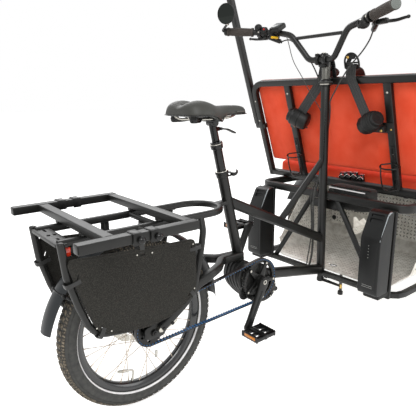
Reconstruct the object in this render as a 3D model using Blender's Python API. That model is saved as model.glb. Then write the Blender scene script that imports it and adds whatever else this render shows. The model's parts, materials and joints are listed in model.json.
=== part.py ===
"""Front-loading electric trishaw: rear wheel drive by belt, rider behind, a bench for two passengers
between two steered front wheels. Metres, +Z up, +X forwards, +Y to the rider's left.

The frame is laid out from the rear axle: x = 0 on the axle, y = 0 on the middle plane and z = 0 on
the ground. Everything hangs from one empty, which moves the middle of the floor outline to x = 0.
"""
import math

import bmesh
import bpy
from mathutils import Matrix, Vector

GAP = 0.0003
BEARING_GAP = 0.0008
MAIN_SIDES = 16
MID_SIDES = 10
SMALL_SIDES = 8

# Wheels
WHEEL_RADIUS = 0.258
TYRE_WIDTH = 0.058
TYRE_HEIGHT = 0.0495
BEAD_RADIUS = WHEEL_RADIUS - TYRE_HEIGHT
RIM_DEPTH = 0.023
RIM_WIDTH = 0.034
SPOKE_DIAMETER = 0.0028
SPOKE_CROSSING = 63.0
SPOKE_OFFSET = 0.0019
REAR_SPOKES = 36
FRONT_SPOKES = 16
REAR_STEPS = 36
FRONT_STEPS = 32
REAR_HUB_RADIUS = 0.036
REAR_FLANGE_RADIUS = 0.045
FRONT_FLANGE_RADIUS = 0.029
HUB_FLANGE_Y = 0.030
HUB_FLANGE_THICKNESS = 0.007
HUB_NECK = 0.55
HUB_STEPS = 10
DISC_RADIUS = 0.080
DISC_Y = 0.048
DISC_THICKNESS = 0.002
REAR_AXLE_RADIUS = 0.006
DROPOUT_Y = 0.066
DROPOUT_THICKNESS = 0.007

# Drive
CRANK_X = 0.447
CRANK_Z = 0.297
CRANK_LENGTH = 0.165
CRANK_ANGLE = math.radians(244)
CRANK_Y = 0.073
CRANK_THICKNESS = 0.014
CRANK_EYE_SHARE = 0.9
SPINDLE_RADIUS = 0.011
MOTOR_RIGHT_Y = 0.043
MOTOR_LEFT_Y = 0.046
BELT_PITCH = 0.011
RING_TEETH = 44
SPROCKET_TEETH = 28
BELT_Y = 0.055
BELT_WIDTH = 0.012
BELT_THICKNESS = 0.0036
BELT_TOOTH = 0.0024
MESH_GAP = 0.0005
PEDAL_LENGTH = 0.096
PEDAL_WIDTH = 0.092
PEDAL_HEIGHT = 0.024

# Main frame
SEAT_TUBE_FOOT_X = 0.4045
SEAT_TUBE_FOOT_Z = 0.356
SEAT_TUBE_TOP_Z = 0.690
SEAT_TUBE_ANGLE = math.radians(14.0)
SEAT_TUBE_RADIUS = 0.018
SEAT_POST_RADIUS = 0.0152
SADDLE_TOP_Z = 0.916
SADDLE_REAR_X = 0.132
SADDLE_WIDTH = 0.210
SEAT_POST_TOP_Z = 0.785
SEAT_POST_LENGTH = 0.300
DROPPER_RADIUS = 0.0125
DROPPER_LENGTH = 0.190
COLUMN_X = 0.872
COLUMN_Z = 0.210
COLUMN_LEAN = math.radians(2.55)
COLUMN_RADIUS = 0.017
COLUMN_FOOT_Z = 0.1945
COLUMN_TOP_Z = 0.960
STEERER_RADIUS = 0.0125
DOWN_TUBE_REAR_Z = 0.585
DOWN_TUBE_FRONT_Z = 0.352
DOWN_TUBE_HEIGHT = 0.035
DOWN_TUBE_WIDTH = 0.028
BRACE_TOP_Z = 0.685
BRACE_FOOT_X = 0.606
BRACE_RADIUS = 0.012
RAIL_HEIGHT = 0.038
RAIL_WIDTH = 0.030
STAY_RADIUS = 0.013
YOKE_Z = 0.385

# Rack over the rear wheel
RACK_TOP_Z = 0.590
RACK_TUBE = 0.020
RACK_HALF_WIDTH = 0.076
RACK_REAR_X = -0.258
RACK_HOOP_X = 0.302
LEG_HALF_WIDTH = 0.0965
LEG_RADIUS = 0.0098
LEG_FOOT_Z = 0.316
DECK_TUBE_WIDTH = 0.028
DECK_TUBE_HEIGHT = 0.023
DECK_HALF_WIDTH = 0.235
DECK_REAR_X = -0.272
DECK_FRONT_X = 0.048
DECK_BAR_X = -0.188
DECK_LIFT = 0.006
CLAMP_REAR_X = -0.1315
CLAMP_FRONT_X = -0.0845
PANEL_THICKNESS = 0.006
GUARD_RADIUS = WHEEL_RADIUS + 0.040
GUARD_WIDTH = 0.070

# Box for the passengers
BOX_REAR_X = 0.8735
BOX_HALF_WIDTH = 0.3375
BOX_FRONT_X = 1.900
BOX_WALL_Y = 0.330
BOX_BEND_Y = 0.280
BOX_BEND_Z = 0.258
BOX_SIDE_Z = 0.380
PARTITION_X = 1.390
TOE_X = 1.850
TOE_HEIGHT = 0.110
FLOOR_TOP_Z = 0.2125
FLOOR_TUBE = 0.020
SHEET = 0.003
SEAT_RAIL_TOP_Z = 0.550
SEAT_RAIL_HEIGHT = 0.030
SEAT_RAIL_WIDTH = 0.025
SEAT_FRONT_X = 1.430
PAN_REAR_X = 1.035
PAN_THICKNESS = 0.006
PAN_HALF_WIDTH = 0.425
CORNER = 0.060
STRUT_RADIUS = 0.011
STRUT_TOP_Y = 0.062
STRUT_FOOT_Y = 0.253
BACK_TUBE = 0.025
BACK_LEAN = math.radians(19.2)
BACK_HALF_WIDTH = 0.440
BACK_HEIGHT = 0.448
BACK_FOOT_X = 1.0215
BACK_BAR_Y = 0.2285
BACK_BAR_WIDTH = 0.030
BACK_BAR_DEPTH = 0.020
CUSHION = 0.046
SEAT_CUSHION = 0.076
HOOP_FOOT_UP = 0.248
CUSHION_REAR_X = 1.056
BACK_CUSHION_UP = 0.084
BELT_WEB_WIDTH = 0.046
HOOP_TOP_Z = 1.480
BATTERY_WIDTH = 0.086
BATTERY_DEPTH = 0.088
BATTERY_HEIGHT = 0.305
BATTERY_Y = 0.290
BATTERY_FOOT_Z = 0.230
DOCK_DEPTH = 0.014
BAG_LENGTH = 0.210
BAG_HEIGHT = 0.072
BAG_DEPTH = 0.070
BAG_OFFSET_Y = 0.120
LOOM_RADIUS = 0.0065
HOSE_RADIUS = 0.0027

# Steered front wheels
FRONT_AXLE_X = 1.500
FRONT_WHEEL_Y = 0.500
KINGPIN_Y = 0.425
KINGPIN_HEIGHT = 0.132
BEAM_Z = 0.1915
BEAM_HEIGHT = 0.038
KINGPIN_RADIUS = 0.007
HOUSING_RADIUS = 0.016
STEER_ARM = 0.102
TIE_ARM = 0.110
LINK_RADIUS = 0.007
ARM_LOW_Z = 0.150
ARM_THICKNESS = 0.012
FRONT_HUB_RADIUS = 0.0185
FRONT_HUB_REACH = 0.038
FRONT_DISC_Y = 0.0345
FRONT_GUARD_RADIUS = WHEEL_RADIUS + 0.025
MIRROR_HEIGHT = 0.057

# Handlebar
BAR_RADIUS = 0.011
BAR_CLAMP_Z = 1.052
BAR_SETBACK = 0.020
BAR_RISE = 0.108
BAR_HALF_WIDTH = 0.360
BAR_SWEEP = math.radians(32)
GRIP_RADIUS = 0.0165
GRIP_LENGTH = 0.128
STEM_RADIUS = 0.0127


def look(name, red, green, blue, roughness, metallic):
    """One Principled material."""
    material = bpy.data.materials.new(name)
    material.use_nodes = True
    shader = material.node_tree.nodes["Principled BSDF"]
    shader.inputs["Base Color"].default_value = (red, green, blue, 1.0)
    shader.inputs["Roughness"].default_value = roughness
    shader.inputs["Metallic"].default_value = metallic
    material.diffuse_color = (red, green, blue, 1.0)
    return material


def rect_profile(width, height, radius, steps=1):
    """A rectangle with rounded corners round the origin, counter-clockwise."""
    points = []
    corners = ((1, 1, 0), (-1, 1, 90), (-1, -1, 180), (1, -1, 270))
    for side, up, start in corners:
        cx = side * (width / 2 - radius)
        cy = up * (height / 2 - radius)
        for step in range(steps + 1):
            angle = math.radians(start + 90 * step / steps)
            points.append((cx + radius * math.cos(angle), cy + radius * math.sin(angle)))
    return points


def square_profile(width, height):
    """A rectangle round the origin, counter-clockwise."""
    return [(width / 2, height / 2), (-width / 2, height / 2), (-width / 2, -height / 2), (width / 2, -height / 2)]


def round_profile(radius, sides):
    """A regular polygon round the origin, counter-clockwise."""
    turn = 2 * math.pi / sides
    return [(radius * math.cos(turn * k), radius * math.sin(turn * k)) for k in range(sides)]


def rounded_path(points, radii, steps=4, closed=False):
    """The polyline with each corner replaced by an arc of the given radius."""
    result = []
    count = len(points)
    for index, point in enumerate(points):
        here = Vector(point)
        radius = radii[index] if isinstance(radii, (list, tuple)) else radii
        if radius <= 0 or (not closed and index in (0, count - 1)):
            result.append(here)
            continue
        to_last = (Vector(points[index - 1]) - here).normalized()
        to_next = (Vector(points[(index + 1) % count]) - here).normalized()
        half = to_last.angle(to_next) / 2
        centre = here + (to_last + to_next).normalized() * radius / math.sin(half)
        start = here + to_last * radius / math.tan(half) - centre
        end = here + to_next * radius / math.tan(half) - centre
        whole = start.angle(end)
        for step in range(steps + 1):
            share = step / steps
            first = math.sin((1 - share) * whole) / math.sin(whole)
            second = math.sin(share * whole) / math.sin(whole)
            result.append(centre + start * first + end * second)
    return result


def smooth_path(points, per_span=5):
    """A Catmull-Rom curve through the points."""
    nodes = [Vector(point) for point in points]
    nodes = [nodes[0] * 2 - nodes[1]] + nodes + [nodes[-1] * 2 - nodes[-2]]
    result = []
    for index in range(1, len(nodes) - 2):
        a, b, c, d = nodes[index - 1:index + 3]
        for step in range(per_span):
            t = step / per_span
            result.append(0.5 * (2 * b + (c - a) * t + (2 * a - 5 * b + 4 * c - d) * t * t
                                 + (3 * b - a - 3 * c + d) * t * t * t))
    result.append(nodes[-2])
    return result


def fill_rings(bm, rings, closed=False):
    """Join rings of points with quads, and cap both ends of an open row."""
    made = [[bm.verts.new(point) for point in ring] for ring in rings]
    count = len(made[0])
    spans = len(made) if closed else len(made) - 1
    for index in range(spans):
        one = made[index]
        two = made[(index + 1) % len(made)]
        for k in range(count):
            bm.faces.new((one[k], one[(k + 1) % count], two[(k + 1) % count], two[k]))
    if not closed:
        bm.faces.new(list(reversed(made[0])))
        bm.faces.new(made[-1])
    bmesh.ops.recalc_face_normals(bm, faces=bm.faces)
    return bm


def sweep(path, profile, normal=None, closed=False, scales=None):
    """Carry a profile along a path with mitred corners. The profile's y follows the normal."""
    points = [Vector(point) for point in path]
    count = len(points)
    rings = []
    carried = None
    for index, point in enumerate(points):
        if closed:
            before = (point - points[index - 1]).normalized()
            after = (points[(index + 1) % count] - point).normalized()
        else:
            after = (points[min(index + 1, count - 1)] - points[min(index, count - 2)]).normalized()
            before = (points[max(index, 1)] - points[max(index - 1, 0)]).normalized()
        mean = (before + after).normalized()
        stretch = 1 / max(mean.dot(after), 0.2)
        if normal is not None:
            up = Vector(normal)
        else:
            if carried is None:
                carried = before.orthogonal()
            up = carried
        up = (up - mean * up.dot(mean)).normalized()
        carried = up
        side = up.cross(mean).normalized()
        bend = after - before
        size = scales[index] if scales else 1.0
        ring = []
        for u, v in profile:
            offset = side * u * size + up * v * size
            if bend.length > 1e-6:
                across = (bend - mean * bend.dot(mean)).normalized()
                offset += across * offset.dot(across) * (stretch - 1)
            ring.append(point + offset)
        rings.append(ring)
    return fill_rings(bmesh.new(), rings, closed)


def frame_along(start, end, hint=(0, 0, 1)):
    """A matrix whose z runs from start to end and whose y lies near the hint."""
    axis = (Vector(end) - Vector(start)).normalized()
    up = Vector(hint) - axis * axis.dot(Vector(hint))
    if up.length < 1e-4:
        up = axis.orthogonal()
    up.normalize()
    side = up.cross(axis)
    matrix = Matrix((side, up, axis)).transposed().to_4x4()
    matrix.translation = Vector(start)
    return matrix


def bar(start, end, profile, hint=(0, 0, 1), end_profile=None):
    """A straight bar of constant or tapering profile."""
    matrix = frame_along(start, end, hint)
    length = (Vector(end) - Vector(start)).length
    last = end_profile or profile
    rings = [[matrix @ Vector((u, v, 0)) for u, v in profile],
             [matrix @ Vector((u, v, length)) for u, v in last]]
    return fill_rings(bmesh.new(), rings)


def rod(start, end, radius, sides=10, end_radius=None):
    """A round bar."""
    last = round_profile(end_radius, sides) if end_radius else None
    return bar(start, end, round_profile(radius, sides), end_profile=last)


def turned(loop, matrix, steps):
    """A closed profile of (radius, height) points turned round the matrix's z axis."""
    rings = []
    for step in range(steps):
        angle = 2 * math.pi * step / steps
        cos = math.cos(angle)
        sin = math.sin(angle)
        rings.append([matrix @ Vector((r * cos, r * sin, h)) for r, h in loop])
    return fill_rings(bmesh.new(), rings, closed=True)


def spun(outline, matrix, steps):
    """An open outline of (radius, height) points turned into a solid with flat ends."""
    rings = []
    for r, h in outline:
        ring = []
        for step in range(steps):
            angle = 2 * math.pi * step / steps
            ring.append(matrix @ Vector((r * math.cos(angle), r * math.sin(angle), h)))
        rings.append(ring)
    return fill_rings(bmesh.new(), rings)


def box(centre, size, matrix=None):
    """A block."""
    bm = bmesh.new()
    bmesh.ops.create_cube(bm, size=1.0)
    bmesh.ops.scale(bm, vec=Vector(size), verts=bm.verts)
    if matrix is not None:
        bmesh.ops.transform(bm, matrix=matrix, verts=bm.verts)
    bmesh.ops.translate(bm, vec=Vector(centre), verts=bm.verts)
    return bm


def plate(outline, low, high, plane="xz"):
    """An outline drawn in one plane and thickened between two values of the third axis."""
    def point(u, v, w):
        if plane == "xz":
            return Vector((u, w, v))
        if plane == "xy":
            return Vector((u, v, w))
        return Vector((w, u, v))
    rings = [[point(u, v, low) for u, v in outline], [point(u, v, high) for u, v in outline]]
    return fill_rings(bmesh.new(), rings)


def softened(bm, width, segments=1, angle=40):
    """Bevel the edges that are sharper than the angle."""
    limit = math.radians(angle)
    edges = [edge for edge in bm.edges if len(edge.link_faces) == 2 and edge.calc_face_angle(0) > limit]
    bmesh.ops.bevel(bm, geom=edges, offset=width, segments=segments, profile=0.5, affect="EDGES",
                    clamp_overlap=True)
    bmesh.ops.recalc_face_normals(bm, faces=bm.faces)
    return bm


def boolean(first, others, operation):
    """Join the other shapes to the first, or cut them out of it."""
    collection = bpy.data.collections.new("tools")
    bpy.context.scene.collection.children.link(collection)
    made = []
    for bm in [first] + list(others):
        mesh = bpy.data.meshes.new("shape")
        bm.to_mesh(mesh)
        bm.free()
        made.append(bpy.data.objects.new("shape", mesh))
    bpy.context.scene.collection.objects.link(made[0])
    for item in made[1:]:
        collection.objects.link(item)
    modifier = made[0].modifiers.new("boolean", "BOOLEAN")
    modifier.operation = operation
    modifier.solver = "EXACT"
    modifier.operand_type = "COLLECTION"
    modifier.collection = collection
    bpy.context.view_layer.update()
    depsgraph = bpy.context.evaluated_depsgraph_get()
    result = bmesh.new()
    result.from_mesh(made[0].evaluated_get(depsgraph).to_mesh())
    for item in made:
        mesh = item.data
        bpy.data.objects.remove(item)
        bpy.data.meshes.remove(mesh)
    bpy.data.collections.remove(collection)
    bmesh.ops.remove_doubles(result, verts=result.verts, dist=0.00002)
    bmesh.ops.dissolve_limit(result, angle_limit=math.radians(0.2), verts=result.verts, edges=result.edges)
    loose = [edge for edge in result.edges if not edge.link_faces]
    bmesh.ops.delete(result, geom=loose, context="EDGES")
    bmesh.ops.recalc_face_normals(result, faces=result.faces)
    return result


def fuse(first, *others):
    """A union of shapes that overlap one another."""
    return boolean(first, others, "UNION")


def carve(first, *others):
    """The first shape without the others."""
    return boolean(first, others, "DIFFERENCE")


def node(name, bm, material, origin=(0, 0, 0), smooth=35):
    """Turn a shape drawn in the frame's coordinates into a named object with its origin."""
    bmesh.ops.translate(bm, vec=-Vector(origin), verts=bm.verts)
    mesh = bpy.data.meshes.new(name)
    bm.to_mesh(mesh)
    bm.free()
    mesh.shade_smooth()
    mesh.set_sharp_from_angle(angle=math.radians(smooth))
    mesh.materials.append(material)
    item = bpy.data.objects.new(name, mesh)
    bpy.context.scene.collection.objects.link(item)
    item.location = Vector(origin)
    item.parent = ROOT
    return item


for old in list(bpy.data.objects):
    bpy.data.objects.remove(old)

GUARD_TAIL_ANGLE = math.radians(166)
REACH_REAR = GUARD_RADIUS * math.cos(math.pi - GUARD_TAIL_ANGLE)
LIP_X = TOE_X + TOE_HEIGHT
ROOT = bpy.data.objects.new("trishaw", None)
bpy.context.scene.collection.objects.link(ROOT)
ROOT.location = (-(LIP_X - REACH_REAR) / 2, 0, 0)

frame_black = look("frame_black", 0.022, 0.022, 0.020, 0.45, 0.0)
steel = look("steel", 0.55, 0.55, 0.55, 0.3, 1.0)
alloy_black = look("alloy_black", 0.03, 0.03, 0.03, 0.35, 0.6)
rubber = look("rubber", 0.045, 0.045, 0.042, 0.8, 0.0)
checker = look("checker_plate", 0.62, 0.60, 0.57, 0.35, 1.0)
red_fabric = look("red_fabric", 0.80, 0.065, 0.03, 0.85, 0.0)
panel_board = look("panel_board", 0.028, 0.026, 0.023, 0.9, 0.0)
black_plastic = look("black_plastic", 0.02, 0.02, 0.02, 0.4, 0.0)
webbing = look("webbing", 0.018, 0.018, 0.018, 0.9, 0.0)
belt_blue = look("belt_blue", 0.03, 0.12, 0.30, 0.6, 0.0)
saddle_grey = look("saddle_grey", 0.07, 0.07, 0.063, 0.6, 0.0)
grip_brown = look("grip_brown", 0.045, 0.035, 0.03, 0.8, 0.0)
lamp_red = look("lamp_red", 0.75, 0.05, 0.02, 0.2, 0.0)


def column_x(z):
    """The steering column's axis at a height."""
    return COLUMN_X - (z - COLUMN_Z) * math.tan(COLUMN_LEAN)


def seat_x(z):
    """The seat tube's axis at a height."""
    return SEAT_TUBE_FOOT_X - (z - SEAT_TUBE_FOOT_Z) * math.tan(SEAT_TUBE_ANGLE)


def on_column(z, forward=0.0, left=0.0):
    """A point beside the column's axis."""
    return Vector((column_x(z) + forward, left, z))


def on_seat_tube(z):
    """A point of the seat tube's axis."""
    return Vector((seat_x(z), 0, z))


COLUMN_UP = Vector((-math.sin(COLUMN_LEAN), 0, math.cos(COLUMN_LEAN)))
SEAT_UP = Vector((-math.sin(SEAT_TUBE_ANGLE), 0, math.cos(SEAT_TUBE_ANGLE)))
BACK_UP = Vector((-math.sin(BACK_LEAN), 0, math.cos(BACK_LEAN)))
BACK_OUT = Vector((math.cos(BACK_LEAN), 0, math.sin(BACK_LEAN)))
PAN_TOP_Z = SEAT_RAIL_TOP_Z + PAN_THICKNESS
BACK_FOOT_Z = SEAT_RAIL_TOP_Z + GAP + BACK_TUBE / 2 * (math.cos(BACK_LEAN) + math.sin(BACK_LEAN))


def on_back(across, up, out=0.0):
    """A point of the seat back: across to the left, up along the back, out towards the passenger."""
    foot = Vector((BACK_FOOT_X, 0, BACK_FOOT_Z))
    return foot + Vector((0, across, 0)) + BACK_UP * up + BACK_OUT * out


# Wheels

def tyre(centre, steps):
    """A balloon tyre on its bead seat, cut square where it meets the rim."""
    half = TYRE_WIDTH / 2
    height = WHEEL_RADIUS - BEAD_RADIUS
    outside = ((0.60, 0.00), (0.98, 0.24), (0.90, 0.70), (0.44, 1.00))
    loop = []
    for across, up in outside:
        loop.append((BEAD_RADIUS + height * up, -half * across))
    for across, up in reversed(outside):
        loop.append((BEAD_RADIUS + height * up, half * across))
    matrix = Matrix.Translation(centre) @ Matrix.Rotation(math.radians(90), 4, "X")
    return turned(loop, matrix, steps)


def spoked_wheel(centre, spokes, steps, flange, body, reach, bore, disc_y):
    """Rim, laced spokes, hub shell and brake disc. The hub is turned on the wheel's own axis."""
    matrix = Matrix.Translation(centre) @ Matrix.Rotation(math.radians(90), 4, "X")
    rim_top = BEAD_RADIUS - GAP
    rim_loop = ((rim_top, -RIM_WIDTH / 2), (rim_top, RIM_WIDTH / 2), (rim_top - RIM_DEPTH, RIM_WIDTH * 0.32),
                (rim_top - RIM_DEPTH, -RIM_WIDTH * 0.32))
    rim = turned(rim_loop, matrix, steps)
    ends = (-reach, reach)
    side = HUB_FLANGE_Y
    neck = body * HUB_NECK
    lip = HUB_FLANGE_THICKNESS / 2
    shell = ((bore, ends[0]), (neck, ends[0]), (neck, -side - lip), (flange, -side - lip), (flange, -side + lip),
             (body, -side + lip), (body, side - lip), (flange, side - lip), (flange, side + lip),
             (neck, side + lip), (neck, ends[1]), (bore, ends[1]))
    hub = turned(shell, matrix, HUB_STEPS)
    half = DISC_THICKNESS / 2
    brake = turned(((bore + 0.002, disc_y - half), (DISC_RADIUS, disc_y - half), (DISC_RADIUS, disc_y + half),
                    (bore + 0.002, disc_y + half)), matrix, MID_SIDES)
    wires = []
    for index in range(spokes):
        left = 1 if index % 2 else -1
        pair = index // 2
        trail = 1 if pair % 2 else -1
        rim_angle = 2 * math.pi * index / spokes + math.pi / steps
        hub_angle = rim_angle + trail * math.radians(SPOKE_CROSSING)
        start = matrix @ Vector(((flange - 0.004) * math.cos(hub_angle), (flange - 0.004) * math.sin(hub_angle),
                                 left * (side + SPOKE_OFFSET * trail)))
        end = matrix @ Vector(((rim_top - RIM_DEPTH + 0.003) * math.cos(rim_angle),
                               (rim_top - RIM_DEPTH + 0.003) * math.sin(rim_angle), left * (0.0042 + SPOKE_OFFSET * trail)))
        wires.append(rod(start, end, SPOKE_DIAMETER / 2, 3))
    return fuse(rim, hub, brake, *wires)


REAR_CENTRE = Vector((0, 0, WHEEL_RADIUS))
node("rear_tyre", tyre(REAR_CENTRE, REAR_STEPS), rubber, REAR_CENTRE)
REAR_HUB_REACH = DROPOUT_Y - 0.004
rear = spoked_wheel(REAR_CENTRE, REAR_SPOKES, REAR_STEPS, REAR_FLANGE_RADIUS, REAR_HUB_RADIUS, REAR_HUB_REACH,
                    REAR_AXLE_RADIUS + BEARING_GAP, -DISC_Y)
node("rear_wheel", rear, alloy_black, REAR_CENTRE)


# Belt drive

def pitch_radius(teeth):
    """Pitch radius of a belt wheel."""
    return teeth * BELT_PITCH / (2 * math.pi)


RING_RADIUS = pitch_radius(RING_TEETH)
SPROCKET_RADIUS = pitch_radius(SPROCKET_TEETH)


def toothed(centre, radius, teeth, bore, width, y, phase):
    """A belt wheel whose teeth fill the gaps between the belt's teeth."""
    outline = []
    crest = radius - BELT_THICKNESS / 2 - MESH_GAP
    root = crest - BELT_TOOTH
    for index in range(teeth):
        for share, r in ((0.0, crest), (0.5, root)):
            angle = phase + 2 * math.pi * (index + share) / teeth
            outline.append((centre[0] + r * math.cos(angle), centre[1] + r * math.sin(angle)))
    blank = plate(outline, y - width / 2, y + width / 2)
    middle = Vector((centre[0], y, centre[1]))
    hole = rod(middle - Vector((0, width, 0)), middle + Vector((0, width, 0)), bore, HUB_STEPS)
    return carve(blank, hole)


def belt_run():
    """Where the belt's pitch line starts, bends and ends, and the pitch that closes it."""
    reach = math.hypot(CRANK_X, CRANK_Z - WHEEL_RADIUS)
    tilt = math.atan2(CRANK_Z - WHEEL_RADIUS, CRANK_X)
    lean = math.acos((RING_RADIUS - SPROCKET_RADIUS) / reach)
    straight = math.sqrt(reach * reach - (RING_RADIUS - SPROCKET_RADIUS) ** 2)
    big_arc = 2 * (math.pi - lean) * RING_RADIUS
    small_arc = 2 * lean * SPROCKET_RADIUS
    total = big_arc + small_arc + 2 * straight
    return tilt, lean, straight, big_arc, small_arc, total, total / round(total / BELT_PITCH)


def mesh_phase(start, arc, radius, begin):
    """Angle of the belt's gap nearest the middle of an arc that begins at an angle."""
    pitch = belt_run()[-1]
    index = round((start + arc / 2) / pitch)
    return begin + (index * pitch - start) / radius


def drive_belt():
    """One loop with teeth on its inner side."""
    big = RING_RADIUS
    small = SPROCKET_RADIUS
    tilt, lean, straight, big_arc, small_arc, total, pitch = belt_run()

    def at(distance):
        """Point and outward direction at a distance along the pitch line."""
        distance = distance % total
        if distance < big_arc:
            angle = tilt - (math.pi - lean) + distance / big
            out = Vector((math.cos(angle), 0, math.sin(angle)))
            return Vector((CRANK_X, -BELT_Y, CRANK_Z)) + out * big, out
        distance -= big_arc
        if distance < straight:
            angle = tilt + (math.pi - lean)
            out = Vector((math.cos(angle), 0, math.sin(angle)))
            start = Vector((CRANK_X, -BELT_Y, CRANK_Z)) + out * big
            along = Vector((-out.z, 0, out.x))
            return start + along * distance, out
        distance -= straight
        if distance < small_arc:
            angle = tilt + (math.pi - lean) + distance / small
            out = Vector((math.cos(angle), 0, math.sin(angle)))
            return Vector((0, -BELT_Y, WHEEL_RADIUS)) + out * small, out
        distance -= small_arc
        angle = tilt - (math.pi - lean)
        out = Vector((math.cos(angle), 0, math.sin(angle)))
        start = Vector((0, -BELT_Y, WHEEL_RADIUS)) + out * small
        along = Vector((-out.z, 0, out.x))
        return start + along * distance, out

    teeth = round(total / pitch)
    half = BELT_THICKNESS / 2
    bm = bmesh.new()
    low = Vector((0, -BELT_WIDTH / 2, 0))
    high = Vector((0, BELT_WIDTH / 2, 0))
    rows = {"outer": [], "inner": []}
    groups = []
    for index in range(teeth):
        start = index * pitch
        curved = start < big_arc or big_arc + straight - pitch < start < big_arc + straight + small_arc
        if curved or not groups or groups[-1][1]:
            groups.append(([], curved))
            point, out = at(start)
            rows["outer"].append((bm.verts.new(point + out * half + low), bm.verts.new(point + out * half + high)))
        groups[-1][0].append(index)
        for share, depth in ((0.0, 0.0), (0.5, BELT_TOOTH)):
            point, out = at(start + share * pitch)
            inner = point - out * (half + depth)
            rows["inner"].append((bm.verts.new(inner + low), bm.verts.new(inner + high)))
    spans = len(groups)
    ins = len(rows["inner"])
    for index, (members, curved) in enumerate(groups):
        one = rows["outer"][index]
        two = rows["outer"][(index + 1) % spans]
        bm.faces.new((one[0], one[1], two[1], two[0]))
        inside = [k % ins for k in range(members[0] * 2, members[-1] * 2 + 3)]
        for end in (0, 1):
            bm.faces.new([one[end], two[end]] + [rows["inner"][k][end] for k in reversed(inside)])
    for index in range(ins):
        one = rows["inner"][index]
        two = rows["inner"][(index + 1) % ins]
        bm.faces.new((one[0], one[1], two[1], two[0]))
    bmesh.ops.recalc_face_normals(bm, faces=bm.faces)
    return bm


node("drive_belt", drive_belt(), belt_blue)

belt_tilt, belt_lean, belt_straight, ring_arc, sprocket_arc = belt_run()[:5]
ring_phase = mesh_phase(0.0, ring_arc, RING_RADIUS, belt_tilt - (math.pi - belt_lean))
sprocket_phase = mesh_phase(ring_arc + belt_straight, sprocket_arc, SPROCKET_RADIUS, belt_tilt + math.pi - belt_lean)

SPROCKET_BORE = (REAR_HUB_RADIUS * HUB_NECK + BEARING_GAP) / math.cos(math.pi / HUB_STEPS)
sprocket = toothed((0, WHEEL_RADIUS), SPROCKET_RADIUS, SPROCKET_TEETH, SPROCKET_BORE, BELT_WIDTH * 0.8, -BELT_Y,
                   sprocket_phase)
node("rear_sprocket", sprocket, alloy_black, Vector((0, -BELT_Y, WHEEL_RADIUS)))

CRANK_CENTRE = Vector((CRANK_X, 0, CRANK_Z))


def crank_arm(side, angle):
    """A forged arm that tapers from the spindle boss to the pedal boss."""
    y = side * (CRANK_Y + CRANK_THICKNESS / 2)
    direction = Vector((math.cos(angle), 0, math.sin(angle)))
    start = CRANK_CENTRE + Vector((0, y, 0))
    end = start + direction * CRANK_LENGTH
    arm = bar(start, end, rect_profile(CRANK_THICKNESS, 0.030, 0.004), hint=direction.cross((0, 1, 0)),
              end_profile=rect_profile(CRANK_THICKNESS * 0.8, 0.021, 0.004))
    half = CRANK_THICKNESS / 2
    boss = rod(start - Vector((0, half, 0)), start + Vector((0, half, 0)), 0.018, MID_SIDES)
    reach = Vector((0, half * CRANK_EYE_SHARE, 0))
    eye = rod(end - reach, end + reach, 0.013, SMALL_SIDES)
    return [arm, boss, eye], end


right_arm, right_end = crank_arm(-1, CRANK_ANGLE)
left_arm, left_end = crank_arm(1, CRANK_ANGLE + math.pi)
spindle_reach = CRANK_Y + CRANK_THICKNESS * 0.6
spindle = rod(CRANK_CENTRE - Vector((0, spindle_reach, 0)), CRANK_CENTRE + Vector((0, spindle_reach, 0)),
              SPINDLE_RADIUS, MID_SIDES)
ring_root = RING_RADIUS - BELT_THICKNESS / 2 - BELT_TOOTH - MESH_GAP
ring = toothed((CRANK_X, CRANK_Z), RING_RADIUS, RING_TEETH, ring_root - 0.009, BELT_WIDTH * 0.8, -BELT_Y,
               ring_phase)
spider = []
for arm_index in range(5):
    arm_angle = CRANK_ANGLE + 2 * math.pi * arm_index / 5
    arm_out = Vector((math.cos(arm_angle), 0, math.sin(arm_angle)))
    arm_start = CRANK_CENTRE + Vector((0, -BELT_Y - 0.004, 0))
    arm_end = arm_start + arm_out * (ring_root - 0.004)
    spider.append(bar(arm_start, arm_end, square_profile(0.022, 0.006), hint=(0, 1, 0),
                      end_profile=square_profile(0.013, 0.006)))
spider_boss = rod(CRANK_CENTRE - Vector((0, CRANK_Y + 0.002, 0)), CRANK_CENTRE - Vector((0, BELT_Y - 0.003, 0)),
                  0.020, MID_SIDES)
node("crankset", fuse(spindle, *right_arm, *left_arm, ring, spider_boss, *spider), alloy_black, CRANK_CENTRE)


def pedal(end, side):
    """A flat pedal with an open cage round its core, on its own spindle."""
    inner = side * (CRANK_Y + CRANK_THICKNESS * 0.95 + 0.002)
    y0 = end.y / abs(end.y) * abs(inner) + side * 0.004
    y1 = y0 + side * PEDAL_WIDTH
    middle = (y0 + y1) / 2
    centre = Vector((end.x, middle, end.z))
    cage = box(centre, (PEDAL_LENGTH, PEDAL_WIDTH, PEDAL_HEIGHT))
    cage = softened(cage, 0.006)
    window = PEDAL_LENGTH * 0.26
    holes = []
    for along in (-1, 1):
        holes.append(box(centre + Vector((along * (window / 2 + 0.012), 0, 0)),
                         (window, PEDAL_WIDTH * 0.72, PEDAL_HEIGHT * 2)))
    cage = carve(cage, *holes)
    eye_face = CRANK_Y + CRANK_THICKNESS * (0.5 + CRANK_EYE_SHARE / 2)
    axle_start = Vector((end.x, side * (eye_face + GAP), end.z))
    axle = rod(axle_start, Vector((end.x, y1 - side * 0.004, end.z)), 0.0065, SMALL_SIDES)
    return fuse(cage, axle)


node("pedal_right", pedal(right_end, -1), black_plastic, right_end)
node("pedal_left", pedal(left_end, 1), black_plastic, left_end)


# Main frame

seat_foot = on_seat_tube(SEAT_TUBE_FOOT_Z)
seat_top = on_seat_tube(SEAT_TUBE_TOP_Z)

column_low = on_column(COLUMN_FOOT_Z)
column_high = on_column(COLUMN_TOP_Z)
brace_top = on_column(BRACE_TOP_Z)


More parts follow.
